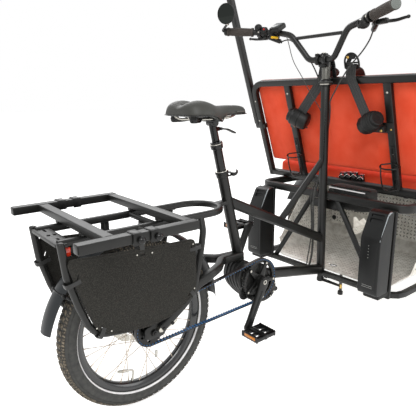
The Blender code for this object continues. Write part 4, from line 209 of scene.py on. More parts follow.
# The raised lozenges take a darker copy of the plate's own alloy: painted shade, not a different metal
PLATE_RIDGE_PAINTED_SHADE = tread_plate("tread_ridge", "#6d695f", "#a8a397", 0.22)
# Polyurethane belt. Its toothed side is blue, and its back is black-brown and a little shiny
BELT = finish("belt_blue", "#2f5f8f", 0.55, ("#295480", "#356a9c", 9 * MM))
BELT_BACK = finish("belt_back", "#171212", 0.40, (), mm(2.0, 0.05), Specular_IOR_Level=0.35)
# Soft touch vinyl over foam. It is dark grey with a fine leather grain
VINYL = finish("saddle_vinyl", "#383834", 0.52, (), (1.4 * MM, 0.15 * MM, 5.0), Specular_IOR_Level=0.4)
# Soft moulded rubber grip. It is brown-black and matt
GRIP = finish("grip_rubber", "#3a332e", 0.7, (), mm(1.2, 0.2))
# Clear red acrylic lens with a clear coat's gloss
LENS = finish("lamp_red", "#e03a20", 0.18, Coat_Weight=0.5)
AMBER = amber_lens()
# Anodised rim. It is deep black, with a sharp grey highlight along its bends
RIM_BLACK = finish("rim_anodised", "#191a1b", 0.22, (), mm(1.0, 0.02), Coat_Weight=0.4)
# Mouldings and anodised parts, from matt case to glossy clamp: colour, roughness and grain in millimetres
PLASTIC = moulded("black_nylon", "#111110", 0.5, 0.9)
MOTOR_CASE = moulded("motor_case", "#1b1b1a", 0.42, 0.7)
BLACK_ALLOY = moulded("black_anodised", "#111110", 0.34, 0.6)
YELLOW = moulded("yellow_switch", "#e5b414", 0.45, 1.0)
GREY_CAP = moulded("grey_cap", "#727672", 0.45, 1.0)
SCREEN = moulded("screen_glass", "#2c3434", 0.10, 30)
PALE_LINE = moulded("pale_line", "#a9aaa6", 0.5, 1.0)
BATTERY_CASE = moulded("battery_case", "#101111", 0.42, 1.1)
RED_BUTTON = moulded("red_button", "#c4231b", 0.35, 1.0)
PALE_BUMPER = moulded("pale_bumper", "#5d5d58", 0.5, 1.0)
PEDAL_BLACK = moulded("pedal_black", "#121212", 0.28, 0.8)
CLAMP_BLACK = moulded("clamp_black", "#121211", 0.36, 0.9)
GLOSS_BLACK = moulded("gloss_black", "#141414", 0.14, 1.6)
GUARD_SLATE = moulded("guard_slate", "#232628", 0.38, 1.4)
# Bare metals: brushed, drawn and chromed steel, zinc, raw alloy and the mirror's silvered face, which is
# darkened as a painted dark reflection
STEEL = alloy("brushed_steel", "#b9b6ae", 0.3)
SPOKE_STEEL = alloy("drawn_steel", "#b8ab9c", 0.34)
CHROME = alloy("chromed_steel", "#d9d8d4", 0.14)
GOLD = alloy("zinc_gold", "#c9a65c", 0.32)
GREY_ALLOY = alloy("grey_alloy", "#6d6c67", 0.36)
SILVER_TRIM = alloy("silver_trim", "#8b9092", 0.34)
MIRROR_PAINTED_REFLECTION = alloy("mirror_glass_painted_reflection", "#2f3230", 0.05, 40)

SLOT_FINISH = {"frame_paint": PAINT, "black_parts": BLACK_ALLOY, "sheet": PLATE_WITH_PAINTED_LIGHT, "tyre": RUBBER,
               "rubber": RUBBER, "plastic": PLASTIC, "board": BOARD, "red_cover": CANVAS, "webbing": WEBBING,
               "belt": BELT, "saddle_cover": VINYL, "grip": GRIP, "lamp": LENS}
BODY_OF = {name: body for body, names in frame["record"]["behaviour"]["bodies"].items() for name in names}
SLOT_OF = {}
for name, piece in frame["nodes"].items():
    SLOT_OF[name] = piece.data.materials[0].name.split(".")[0]
    piece.data.materials.clear()
    piece.data.materials.append(SLOT_FINISH[SLOT_OF[name]])


# Tools of the bench

def turned(x_way, y_way, z_way):
    """The turn that lays a piece's own axes along three ways."""
    return Matrix((x_way, y_way, z_way)).transposed().to_4x4()


def alone(*pieces):
    """Selects only these pieces. The first is the active one."""
    bpy.ops.object.select_all(action="DESELECT")
    for piece in pieces:
        piece.select_set(True)
    bpy.context.view_layer.objects.active = pieces[0]


def apply(piece, kind, **settings):
    """Adds a modifier and applies it."""
    alone(piece)
    modifier = piece.modifiers.new("shape", kind)
    for key, value in settings.items():
        setattr(modifier, key, value)
    bpy.ops.object.modifier_apply(modifier=modifier.name)
    return piece


def eased(piece, width, segments=2, angle=32):
    """Rounds the edges that are sharper than the angle."""
    return apply(piece, "BEVEL", width=width, segments=segments, limit_method="ANGLE",
                 angle_limit=math.radians(angle), harden_normals=False, use_clamp_overlap=True)


def smooth(piece, angle=40):
    """Shades smooth across edges flatter than the angle."""
    alone(piece)
    bpy.ops.object.shade_smooth_by_angle(angle=math.radians(angle))
    return piece


def outward(piece):
    """Merges doubles and points every face outwards."""
    alone(piece)
    bpy.ops.object.mode_set(mode="EDIT")
    bpy.ops.mesh.select_all(action="SELECT")
    bpy.ops.mesh.remove_doubles(threshold=0.01 * MM)
    bpy.ops.mesh.normals_make_consistent(inside=False)
    bpy.ops.object.mode_set(mode="OBJECT")
    return piece


def mesh_piece(name, points, faces, edges=()):
    """A piece from its points and faces."""
    mesh = bpy.data.meshes.new(name)
    mesh.from_pydata([tuple(p) for p in points], list(edges), list(faces))
    piece = bpy.data.objects.new(name, mesh)
    bpy.context.scene.collection.objects.link(piece)
    return piece


def joined(name, *pieces):
    """Makes one piece of several."""
    alone(*pieces)
    if len(pieces) > 1:
        bpy.ops.object.join()
    pieces[0].name = name
    return pieces[0]


def painted(piece, material):
    """Gives the piece one material."""
    piece.data.materials.clear()
    piece.data.materials.append(material)
    return piece


def copies(name, template, places):
    """One piece that repeats the template's mesh at each place. The template is used up."""
    points, faces = [], []
    corners = [v.co.copy() for v in template.data.vertices]
    polygons = [tuple(p.vertices) for p in template.data.polygons]
    for place in places:
        first = len(points)
        points += [place @ corner for corner in corners]
        faces += [tuple(first + k for k in polygon) for polygon in polygons]
    made = mesh_piece(name, points, faces)
    for material in template.data.materials:
        made.data.materials.append(material)
    bpy.data.objects.remove(template)
    return made


def applied(piece):
    """Puts the object's place and turn into its mesh."""
    alone(piece)
    bpy.ops.object.transform_apply(location=True, rotation=True, scale=True)
    return piece


def block(name, centre, size, edge=0.0, turn=None):
    """A box with rounded edges."""
    bpy.ops.mesh.primitive_cube_add(size=1)
    piece = bpy.context.object
    piece.name = name
    piece.scale = size
    applied(piece)
    if edge:
        eased(piece, edge)
    if turn is not None:
        piece.matrix_world = turn
    piece.location = centre
    return applied(piece)


def shaft(name, start, end, radius, sides=24, edge=0.0, tip=None):
    """A round bar between two points, or a cone to the tip radius."""
    start, end = Vector(start), Vector(end)
    along = end - start
    bpy.ops.mesh.primitive_cone_add(vertices=sides, radius1=radius, radius2=radius if tip is None else tip,
                                    depth=along.length)
    piece = bpy.context.object
    piece.name = name
    if edge:
        eased(piece, edge, 2, 60)
    turn = along.to_track_quat("Z", "Y").to_matrix().to_4x4()
    piece.matrix_world = Matrix.Translation((start + end) / 2) @ turn
    return applied(piece)


def ball(name, centre, size, rings=16):
    """A round or flattened ball."""
    bpy.ops.mesh.primitive_uv_sphere_add(segments=rings * 2, ring_count=rings, radius=1)
    piece = bpy.context.object
    piece.name = name
    piece.scale = size if hasattr(size, "__len__") else (size, size, size)
    piece.location = centre
    return applied(piece)


def lathe(name, outline, centre, steps=64, axis=(0, 1, 0), closed=True):
    """Spins an outline of (radius, along) round the axis through the centre."""
    axis = Vector(axis).normalized()
    side = axis.orthogonal().normalized()
    centre = Vector(centre)
    points = [centre + axis * along + side * radius for radius, along in outline]
    edges = [(k, k + 1) for k in range(len(points) - 1)]
    if closed:
        edges.append((len(points) - 1, 0))
    piece = mesh_piece(name, points, (), edges)
    alone(piece)
    bpy.ops.object.mode_set(mode="EDIT")
    bpy.ops.mesh.select_all(action="SELECT")
    bpy.ops.mesh.spin(steps=steps, angle=TURN, center=centre, axis=axis)
    bpy.ops.object.mode_set(mode="OBJECT")
    return outward(piece)


def slab(name, outline, low, high, edge=0.0, plane="xz", segments=2):
    """Extrudes a flat outline from low to high across its plane."""
    def place(u, v):
        return {"xz": (u, low, v), "xy": (u, v, low), "yz": (low, u, v)}[plane]
    across = {"xz": (0, 1, 0), "xy": (0, 0, 1), "yz": (1, 0, 0)}[plane]
    piece = mesh_piece(name, [place(u, v) for u, v in outline], [tuple(range(len(outline)))])
    alone(piece)
    bpy.ops.object.mode_set(mode="EDIT")
    bpy.ops.mesh.select_all(action="SELECT")
    bpy.ops.mesh.extrude_region_move(TRANSFORM_OT_translate={"value": Vector(across) * (high - low)})
    bpy.ops.object.mode_set(mode="OBJECT")
    outward(piece)
    if edge:
        eased(piece, edge, segments)
    return piece


def cut(piece, *tools):
    """Cuts the tools out of the piece, and uses them up."""
    for tool in tools:
        apply(piece, "BOOLEAN", operation="DIFFERENCE", object=tool, solver="EXACT")
        bpy.data.objects.remove(tool)
    return piece


def rounded_route(points, bend, steps=6):
    """The route through the points with arcs at its corners."""
    points = [Vector(p) for p in points]
    route = [points[0]]
    for before, corner, after in zip(points, points[1:], points[2:]):
        one, two = (before - corner), (after - corner)
        angle = one.angle(two)
        if math.pi - angle < 0.02:
            route.append(corner)
            continue
        reach = min(bend / math.tan(angle / 2), one.length * 0.49, two.length * 0.49)
        start, end = corner + one.normalized() * reach, corner + two.normalized() * reach
        for step in range(steps + 1):
            t = step / steps
            route.append(start.lerp(corner, t).lerp(corner.lerp(end, t), t))
    route.append(points[-1])
    return route


def soft_route(points, steps=6):
    """A smooth curve through the points."""
    points = [Vector(p) for p in points]
    route = []
    for k in range(len(points) - 1):
        start, end = points[k], points[k + 1]
        before, after = points[max(k - 1, 0)], points[min(k + 2, len(points) - 1)]
        for step in range(steps):
            t = step / steps
            route.append(0.5 * ((2 * start) + (end - before) * t
                                + (2 * before - 5 * start + 4 * end - after) * t ** 2
                                + (3 * start - before - 3 * end + after) * t ** 3))
    route.append(points[-1])
    return route


def round_section(radius, sides=20):
    """A round tube's section."""
    return [(radius * math.cos(TURN * k / sides), radius * math.sin(TURN * k / sides)) for k in range(sides)]


def box_section(width, height, corner, steps=3):
    """A rectangular tube's section. Its width lies across the normal and its height along it."""
    points = []
    for side, up, start in ((1, 1, 0), (-1, 1, 90), (-1, -1, 180), (1, -1, 270)):
        for step in range(steps + 1):
            turn = math.radians(start + 90 * step / steps)
            points.append((side * (width / 2 - corner) + corner * math.cos(turn),
                           up * (height / 2 - corner) + corner * math.sin(turn)))
    return points


def skin(name, rings, closed=False):
    """A surface through rings of as many points each, with flat ends unless it closes on itself."""
    ring, count = len(rings[0]), len(rings)
    faces = []
    for k in range(count if closed else count - 1):
        for j in range(ring):
            here, there = k * ring, (k + 1) % count * ring
            faces.append((here + j, here + (j + 1) % ring, there + (j + 1) % ring, there + j))
    if not closed:
        faces.append(tuple(range(ring - 1, -1, -1)))
        faces.append(tuple((count - 1) * ring + j for j in range(ring)))
    return outward(mesh_piece(name, [point for points in rings for point in points], faces))


def tube(name, route, section, normal=None, closed=False, scale=None):
    """Sweeps a section along a route. The section's second axis keeps to the normal."""
    route = [Vector(p) for p in route]
    count = len(route)
    steady = Vector(normal) if normal is not None else None
    up, rings = None, []
    for k, place in enumerate(route):
        if closed:
            ahead = (route[(k + 1) % count] - route[k - 1]).normalized()
        else:
            ahead = (route[min(k + 1, count - 1)] - route[max(k - 1, 0)]).normalized()
        if steady is not None:
            up = (steady - ahead * steady.dot(ahead)).normalized()
        elif up is None:
            up = ahead.orthogonal().normalized()
        else:
            up = (up - ahead * up.dot(ahead)).normalized()
        side = up.cross(ahead)
        mitre = 1.0
        if steady is not None and (closed or 0 < k < count - 1):
            back = (route[k] - route[k - 1]).normalized()
            mitre = 1 / max(0.35, ahead.dot(back))
        size = scale(k / (count - 1)) if scale else 1.0
        rings.append([place + side * u * size * mitre + up * v * size for u, v in section])
    return skin(name, rings, closed)


def dress(piece, material, body, replaces=(), angle=40, span=None):
    """Finishes a piece that was built from the ground under the rear axle: paints it when a material is
    given, shades it and ties it to its body.

    With a span, the piece stays where it is and is tied to no body; the span's two places are not used."""
    if material is not None:
        painted(piece, material)
    smooth(piece, angle)
    piece.data.transform(Matrix.Translation(SHIFT))
    if span:
        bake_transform(piece)
    else:
        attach(piece, body)
    if replaces:
        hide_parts(*replaces)
    return piece


def finished_copy(node, width=1.2 * MM, segments=2, angle=30, material=None, dissolve=2.0):
    """A welded or moulded piece as its solid gives it, with every edge eased as on the real one."""
    source = frame["nodes"][node]
    piece = bpy.data.objects.new(node + "_finished", source.data.copy())
    bpy.context.scene.collection.objects.link(piece)
    alone(piece)
    bpy.ops.object.mode_set(mode="EDIT")
    bpy.ops.mesh.select_all(action="SELECT")
    bpy.ops.mesh.remove_doubles(threshold=0.01 * MM)
    bpy.ops.mesh.dissolve_limited(angle_limit=math.radians(dissolve))
    bpy.ops.object.mode_set(mode="OBJECT")
    eased(piece, width, segments, angle)
    apply(piece, "TRIANGULATE")
    piece.data.transform(Matrix.Translation(-SHIFT))
    return dress(piece, material or SLOT_FINISH[SLOT_OF[node]], BODY_OF[node], (node,), 50)


# Camera, floor and lamps

CAMERA_PLACE = Vector((-1.4631, -1.1086, 0.9195))
CAMERA_YAW = 0.8908
CAMERA_PITCH = -0.2412
CAMERA_ROLL = -0.0048
FOCAL_PIXELS = 455.33
FRAME_PIXELS = 416.0
CENTRE_PIXEL = (209.06, 209.52)
SENSOR_MM = 36.0
FLOOR_GLOW = 0.70
FILL_LIGHT = 0.55
# Each lamp's name, place, aim, side in metres and watts
LAMPS = (("key", (-2.6, -2.2, 3.4), (0, 0, 0.5), 2.2, 105),
         ("fill", (2.4, -3.0, 2.2), (0.2, 0, 0.6), 2.4, 50), ("rim", (0.6, 3.2, 3.0), (0, 0, 0.6), 2.4, 60))


def photographers_camera():
    """The camera at the photograph's place and angle."""
    data = bpy.data.cameras.new("camera")
    data.sensor_width = SENSOR_MM
    data.lens = SENSOR_MM * FOCAL_PIXELS / FRAME_PIXELS
    data.shift_x = (FRAME_PIXELS / 2 - CENTRE_PIXEL[0]) / FRAME_PIXELS
    data.shift_y = (CENTRE_PIXEL[1] - FRAME_PIXELS / 2) / FRAME_PIXELS
    data.clip_start = 0.05
    ahead = Vector((math.cos(CAMERA_PITCH) * math.cos(CAMERA_YAW),
                    math.cos(CAMERA_PITCH) * math.sin(CAMERA_YAW), math.sin(CAMERA_PITCH)))
    right = Vector((math.sin(CAMERA_YAW), -math.cos(CAMERA_YAW), 0))
    above = right.cross(ahead)
    right, above = (right * math.cos(CAMERA_ROLL) + above * math.sin(CAMERA_ROLL),
                    above * math.cos(CAMERA_ROLL) - right * math.sin(CAMERA_ROLL))
    camera = bpy.data.objects.new("camera", data)
    camera.matrix_world = Matrix.Translation(CAMERA_PLACE) @ turned(right, above, -ahead)
    bpy.context.scene.collection.objects.link(camera)
    bpy.context.scene.camera = camera
    return camera


def softbox(name, place, aim, size, power):
    """A square lamp that faces a point."""
    data = bpy.data.lights.new(name, "AREA")
    data.size = size
    data.energy = power
    lamp = bpy.data.objects.new(name, data)
    lamp.location = place
    lamp.rotation_euler = (Vector(aim) - Vector(place)).to_track_quat("-Z", "Y").to_euler()
    bpy.context.scene.collection.objects.link(lamp)


def seen_by_camera(tree):
    """One for camera, mirror and glass rays, so that they all find the same white."""
    path = add(tree, "ShaderNodeLightPath")
    seen = add(tree, "ShaderNodeMath", [(0, path, "Is Camera Ray"), (1, path, "Is Glossy Ray")],
               operation="MAXIMUM")
    return add(tree, "ShaderNodeMath", [(0, seen, 0), (1, path, "Is Transmission Ray")], operation="MAXIMUM")


def studio():
    """A pale floor that shows white and keeps the shadow, a white world and three soft lamps."""
    bpy.ops.mesh.primitive_plane_add(size=60, location=(0, 0, 0))
    floor = bpy.context.object
    floor.name = "studio_floor"
    material, tree, shader, place = finish_of("studio_floor", "#f4f4f2", 0.9)
    shader.inputs["Emission Color"].default_value = linear("#ffffff")
    glow = add(tree, "ShaderNodeMath", [(0, seen_by_camera(tree), 0)], operation="MULTIPLY")
    glow.inputs[1].default_value = FLOOR_GLOW
    tree.links.new(glow.outputs[0], shader.inputs["Emission Strength"])
    floor.data.materials.append(material)
    world = bpy.data.worlds.new("studio")
    bpy.context.scene.world = world
    world.use_nodes = True
    tree = world.node_tree
    fill = tree.nodes["Background"]
    fill.inputs["Color"].default_value = linear("#ffffff")
    fill.inputs["Strength"].default_value = FILL_LIGHT
    white = add(tree, "ShaderNodeBackground", Color=linear("#ffffff"), Strength=1.0)
    mix = add(tree, "ShaderNodeMixShader", [("Fac", seen_by_camera(tree), 0)])
    tree.links.new(fill.outputs["Background"], mix.inputs[1])
    tree.links.new(white.outputs["Background"], mix.inputs[2])
    tree.links.new(mix.outputs["Shader"], tree.nodes["World Output"].inputs["Surface"])
    for lamp in LAMPS:
        softbox(*lamp)


# Wheels

HUB_FLANGE_Y = 30 * MM
REAR_HUB = Vector((0, 0, WHEEL_RADIUS))
FRONT_AXLE = {side: (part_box("front_tyre_" + side)[0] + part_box("front_tyre_" + side)[1]) / 2 - SHIFT
              for side in ("right", "left")}
TREAD_PITCHES = 84
# The faces of a block whose foot is its first four points, and whose top is its last four
FRUSTUM_FACES = [(0, 1, 5, 4), (1, 2, 6, 5), (2, 3, 7, 6), (3, 0, 4, 7), (4, 5, 6, 7), (3, 2, 1, 0)]


def on_wheel(centre, radius, across, angle):
    """A place at a radius and an angle up from straight ahead."""
    return Vector(centre) + Vector((radius * math.cos(angle), across, radius * math.sin(angle)))


def tyre_side(across):
    """Radius of the carcass at a share of its half width, from the crown to the widest line."""
    return WHEEL_RADIUS - 30 * MM + 28.2 * MM * math.sqrt(max(0.0, 1 - across * across))


def tread_block(name, across, long, wide, slant, height=1.2 * MM):
    """One rubber block. Its foot is sunk in the carcass, and its top is smaller and a little crowned."""
    angle = math.asin(across)
    middle = Vector((tyre_side(across) - 0.8 * MM, TYRE_HALF * across, 0))
    out = Vector((math.cos(angle), math.sin(angle), 0))
    side = Vector((-math.sin(angle), math.cos(angle), 0))
    points = []
    for level, share in ((0.0, 1.0), (height + 0.8 * MM, 0.80)):
        for u, v in ((-1, -1), (1, -1), (1, 1), (-1, 1)):
            place = middle + out * level + side * (u * wide / 2 * share)
            place.z = v * long / 2 * share + u * slant
            points.append(place)
    return outward(mesh_piece(name, points, FRUSTUM_FACES))


def balloon_tyre(name, centre, body):
    """A balloon tyre with a file tread, shoulder lugs, a reflecting ring and moulded lines on its flanks."""
    half = [(207.2, 14.5), (208.2, 19.6), (211.2, 24.0), (214.6, 26.3), (220.0, 27.9), (226.5, 28.2),
            (233.5, 27.2), (240.0, 24.4), (246.4, 19.6), (251.4, 13.4), (254.6, 6.8), (255.7, 0.0)]
    outline = [mm(r, y) for r, y in half] + [mm(r, -y) for r, y in reversed(half[:-1])]
    carcass = painted(lathe(name + "_carcass", outline, centre, 96), RUBBER)
    blocks = [tread_block("block", 0.0, 11 * MM, 7.2 * MM, 0.0),
              tread_block("block", 0.34, 12 * MM, 7.0 * MM, 2.0 * MM),
              tread_block("block", -0.34, 12 * MM, 7.0 * MM, -2.0 * MM)]
    lugs = [tread_block("lug", 0.66, 6 * MM, 9 * MM, 1.2 * MM, 0.9 * MM),
            tread_block("lug", -0.66, 6 * MM, 9 * MM, -1.2 * MM, 0.9 * MM)]
    pitch = TURN / TREAD_PITCHES
    turns = [Matrix.Translation(centre) @ Matrix.Rotation(-pitch * k, 4, "Y") for k in range(TREAD_PITCHES)]
    halves = [Matrix.Translation(centre) @ Matrix.Rotation(-pitch * (k / 2 + 0.25), 4, "Y")
              for k in range(2 * TREAD_PITCHES)]
    tread = painted(copies(name + "_tread", joined("blocks", *blocks), turns), TREAD)
    shoulder = painted(copies(name + "_lugs", joined("lugs", *lugs), halves), TREAD)
    rings = []
    for low, high, lift in ((237.5, 238.3, 0.5), (219.2, 220.0, 0.5)):
        for side in (-1, 1):
            wide = TYRE_HALF / MM * side
            inset = 2.05 if low > 230 else 0.75
            section = [(low, wide - side * (inset + 1)), (low, wide - side * (inset - lift)),
                       (high, wide - side * (inset - lift)), (high, wide - side * (inset + 1))]
            rings.append(lathe("line", [mm(r, y) for r, y in section], centre, 96))
    lines = painted(joined(name + "_lines", *rings), RUBBER)
    dress(joined(name + "_outer", carcass, tread, shoulder, lines), None, body, (name,), 28)
    stripes = []
    for side in (-1, 1):
        section = [(208.4, 20.6), (209.4, 22.6), (212.0, 25.2), (211.6, 24.2), (208.6, 19.0)]
        stripes.append(lathe("stripe", [(r * MM, y * MM * side) for r, y in section], centre, 96))
    dress(joined(name + "_stripe", *stripes), REFLEX_AND_PAINTED_HIGHLIGHT, body)


def laced_wheel(name, centre, body, count, flange, hub_outline):
    """Rim, hub and spokes. Spokes leave the flanges in crossing pairs and end in plated nipples."""
    half = [(208.3, 13.6), (208.4, 16.6), (206.6, 17.4), (203.5, 17.3), (198.0, 16.0), (191.5, 12.6),
            (187.0, 8.4), (185.4, 4.2), (185.2, 0.0)]
    inner = [(188.4, 0.0), (190.6, 6.0), (199.0, 11.0), (203.5, 13.6)]
    outline = [mm(r, y) for r, y in half] + [mm(r, -y) for r, y in reversed(half[:-1])]
    outline += [mm(r, -y) for r, y in reversed(inner)] + [mm(r, y) for r, y in inner[1:]]
    rim = painted(lathe(name + "_rim", outline, centre, 96), RIM_BLACK)
    dress(rim, None, body, (name,), 35)
    dress(painted(lathe(name + "_hub", hub_outline, centre, 48), BLACK_ALLOY), None, body, (),
          35)
    wires, nipples = [], []
    for index in range(count):
        left = 1 if index % 2 else -1
        trail = 1 if (index // 2) % 2 else -1
        turn = TURN * index / count + math.pi / 36
        start = on_wheel(centre, flange, left * (HUB_FLANGE_Y + 1.9 * MM * trail),
                         turn + trail * math.radians(63))
        end = on_wheel(centre, 186.5 * MM, left * (4.2 + 0.8 * trail) * MM, turn)
        along = (end - start).normalized()
        wires.append(shaft("spoke", start, end, 1.1 * MM, 6))
        wires.append(ball("head", start + Vector(mm(0, left * trail * 1.6, 0)), mm(2.0, 1.0, 2.0), 4))
        nipples.append(shaft("nipple", end - along * 13 * MM, end + along * 1 * MM, 1.5 * MM, 6,
                             tip=2.3 * MM))
    dress(joined(name + "_spokes", *wires, *nipples), SPOKE_STEEL, body, (), 60)


def drilled_disc(name, centre, across, radius, body, inner=0.74, arms=5):
    """A brake rotor: a waved and drilled braking track on swept arms."""
    wave = []
    for k in range(120):
        turn = TURN * k / 120
        spot = on_wheel(centre, radius - 1.1 * MM + 1.1 * MM * math.cos(12 * turn), 0, turn)
        wave.append((spot.x, spot.z))
    low, high = centre[1] + across - 0.9 * MM, centre[1] + across + 0.9 * MM
    track = slab("track", wave, low, high)
    tools = [shaft("bore", (centre[0], low - 0.01, centre[2]), (centre[0], high + 0.01, centre[2]),
                   radius * inner, 64)]
    for k in range(24):
        for share, offset in ((0.81, 0.0), (0.875, 0.10), (0.94, 0.0)):
            hole = on_wheel(centre, radius * share, 0, TURN * (k + offset + 0.2) / 24)
            tools.append(shaft("hole", (hole.x, low - 0.01, hole.z), (hole.x, high + 0.01, hole.z),
                               radius * 0.024, 10))
    cut(track, tools[0])
    cut(track, joined("holes", *tools[1:]))
    parts = [track]
    for k in range(arms):
        start = on_wheel(centre, radius * 0.27, across, TURN * k / arms)
        end = on_wheel(centre, radius * (inner + 0.02), across, TURN * (k + 0.42) / arms)
        middle = on_wheel(centre, radius * 0.55, across, TURN * (k + 0.13) / arms)
        parts.append(tube("arm", soft_route([start, middle, end], 5),
                          box_section(radius * 0.10, 1.7 * MM, 0.4 * MM, 1), normal=(0, 1, 0)))
        parts.append(shaft("bolt", on_wheel(centre, radius * 0.30, across - 2.4 * MM, TURN * k / arms),
                           on_wheel(centre, radius * 0.30, across + 2.4 * MM, TURN * k / arms), 2.6 * MM, 8))
    parts.append(lathe("carrier", [(radius * 0.22, across - 1.4 * MM), (radius * 0.36, across - 1.4 * MM),
                                   (radius * 0.36, across + 1.4 * MM), (radius * 0.22, across + 1.4 * MM)],
                       centre, 40))
    dress(joined(name, *parts), STEEL, body)


def rear_hub_outline():
    """The geared rear hub: a ribbed shell between two drilled flanges, with stepped ends."""
    return mm((6.5, -61.5), (15.5, -61.5), (18.6, -60.0), (18.6, -45.0), (24.0, -43.0), (30.5, -36.0),
              (45.0, -33.5), (46.0, -32.0), (45.0, -29.5), (38.5, -27.0), (36.0, -23.0), (34.6, -12.0),
              (34.2, 0.0), (34.6, 12.0), (36.0, 23.0), (38.5, 27.0), (45.0, 29.5), (46.0, 32.0), (45.0, 33.5),
              (30.0, 36.0), (22.0, 40.0), (19.5, 45.0), (19.5, 60.0), (16.0, 61.5), (6.5, 61.5))


def front_hub_outline(side):
    """A front hub for one-sided bearings: flared flanges on a slim barrel."""
    low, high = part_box("front_wheel_" + side)
    reach = (high.y - low.y) / 2 / MM - 0.3
    half = ((17.5, 16.0), (20.0, 25.0), (29.5, 28.5), (30.0, 31.0), (29.5, 32.5), (16.0, 34.0), (15.0, 36.0),
            (13.0, reach), (8.2, reach))
    return mm(*[(r, -y) for r, y in reversed(half)], (17.0, 0.0), *half)


balloon_tyre("rear_tyre", REAR_HUB, "rear_wheel")
laced_wheel("rear_wheel", REAR_HUB, "rear_wheel", 36, 41 * MM, rear_hub_outline())
drilled_disc("rear_disc", REAR_HUB, 48 * MM, 79 * MM, "rear_wheel")
for side_sign, side_name in SIDE_NAME.items():
    wheel_name = "front_wheel_" + side_name
    hub = FRONT_AXLE[side_name]
    balloon_tyre("front_tyre_" + side_name, hub, wheel_name)
    laced_wheel(wheel_name, hub, wheel_name, 28, 26 * MM, front_hub_outline(side_name))
    drilled_disc("front_disc_" + side_name, hub, -side_sign * 34.5 * MM, 79 * MM, wheel_name)


def valve_adaptor():
    """A plated elbow on the tyre valve, so that a pump reaches it between the spokes."""
    foot, neck = Vector((-0.0385, 0, 0.0745)), Vector((-0.0335, 0, 0.0985))
    bend, mouth = Vector((-0.0400, 0, 0.1135)), Vector((-0.0823, 0, 0.1250))
    parts = [shaft("stem", foot, neck, 3.0 * MM, 16),
             shaft("nut", foot + Vector((0.0006, 0, 0.006)), foot + Vector((0.0015, 0, 0.0095)), 4.6 * MM, 6),
             tube("elbow",
                  soft_route([neck, (neck + bend) / 2 + Vector((0.0035, 0, 0.002)), bend,
                              bend.lerp(mouth, 0.45)], 5), round_section(3.1 * MM, 14)),
             shaft("barrel", bend.lerp(mouth, 0.35), mouth, 4.6 * MM, 18, 0.8 * MM),
             shaft("collar", bend.lerp(mouth, 0.62), bend.lerp(mouth, 0.72), 5.3 * MM, 18, 0.5 * MM),
             shaft("mouth", bend.lerp(mouth, 0.92), bend.lerp(mouth, 1.06), 3.4 * MM, 16, 0.5 * MM)]
    dress(joined("valve_adaptor", *parts), STEEL, "rear_wheel")
    clip = on_wheel(REAR_HUB, 118 * MM, -18 * MM, math.radians(-70))
    magnet = shaft("spoke_magnet", clip - Vector((0.004, 0.004, 0.009)), clip + Vector((0.004, 0.004, 0.009)),
                   4.2 * MM, 16, 1 * MM)
    dress(magnet, STEEL, "rear_wheel")


valve_adaptor()


# Belt drive, cranks and pedals

CRANK = Vector((0.447, 0, 0.297))
CRANK_ANGLE = math.radians(244)
CRANK_LENGTH = 165 * MM
BELT_PITCH = 11 * MM
BELT_Y = -55 * MM
BELT_WIDTH = 12 * MM
BELT_THICKNESS = 3.6 * MM
BELT_TOOTH = 2.4 * MM
TOOTH_GAP = 0.5 * MM
RING_TEETH, SPROCKET_TEETH = 44, 28
RING_RADIUS = RING_TEETH * BELT_PITCH / TURN
SPROCKET_RADIUS = SPROCKET_TEETH * BELT_PITCH / TURN


def belt_lengths():
    """Tilt and lean of the belt's straight runs, its parts' lengths, its whole length and its true pitch."""
    rise = CRANK.z - WHEEL_RADIUS
    reach = math.hypot(CRANK.x, rise)
    lean = math.acos((RING_RADIUS - SPROCKET_RADIUS) / reach)
    straight = math.sqrt(reach ** 2 - (RING_RADIUS - SPROCKET_RADIUS) ** 2)
    big, small = 2 * (math.pi - lean) * RING_RADIUS, 2 * lean * SPROCKET_RADIUS
    total = big + small + 2 * straight
    return math.atan2(rise, CRANK.x), lean, straight, big, small, total, total / round(total / BELT_PITCH)


def on_belt(distance):
    """A place on the belt's pitch line and its outward direction."""
    tilt, lean, straight, big, small, total, pitch = belt_lengths()
    distance = distance % total
    front, rear = Vector((CRANK.x, BELT_Y, CRANK.z)), Vector((0, BELT_Y, WHEEL_RADIUS))
    low, high = tilt - (math.pi - lean), tilt + (math.pi - lean)
    if distance < big:
        angle, hub, radius, run = low + distance / RING_RADIUS, front, RING_RADIUS, 0.0
    elif distance < big + straight:
        angle, hub, radius, run = high, front, RING_RADIUS, distance - big
    elif distance < big + straight + small:
        angle = high + (distance - big - straight) / SPROCKET_RADIUS
        hub, radius, run = rear, SPROCKET_RADIUS, 0.0
    else:
        angle, hub, radius, run = low, rear, SPROCKET_RADIUS, distance - big - straight - small
    out = Vector((math.cos(angle), 0, math.sin(angle)))
    return hub + out * radius + Vector((-out.z, 0, out.x)) * run, out


def toothed_belt():
    """One loop. Its back is a dark layer over blue teeth."""
    total, pitch = belt_lengths()[-2:]
    count = round(total / pitch)
    shape = ((0.0, 0.0), (0.20, 0.0), (0.33, 0.85), (0.40, 1.0), (0.60, 1.0), (0.67, 0.85), (0.80, 0.0))
    half = BELT_THICKNESS / 2
    layers = []
    for material in (BELT_BACK, BELT):
        rings = []
        for index in range(count):
            for share, depth in shape:
                place, out = on_belt((index + share) * pitch)
                top, bottom, inset = half, -half, 0.0
                if material is BELT:
                    top, inset = -half + 0.3 * MM, 0.25 * MM
                    bottom = -half - BELT_TOOTH * depth if depth else -half + 0.15 * MM
                rings.append([place + out * level + Vector((0, side * (BELT_WIDTH / 2 - inset), 0))
                              for side, level in ((-1, top), (1, top), (1, bottom), (-1, bottom))])
        layers.append(painted(skin("layer", rings, True), material))
    return dress(joined("toothed_belt", *layers), None, "frame", ("drive_belt",), 30)


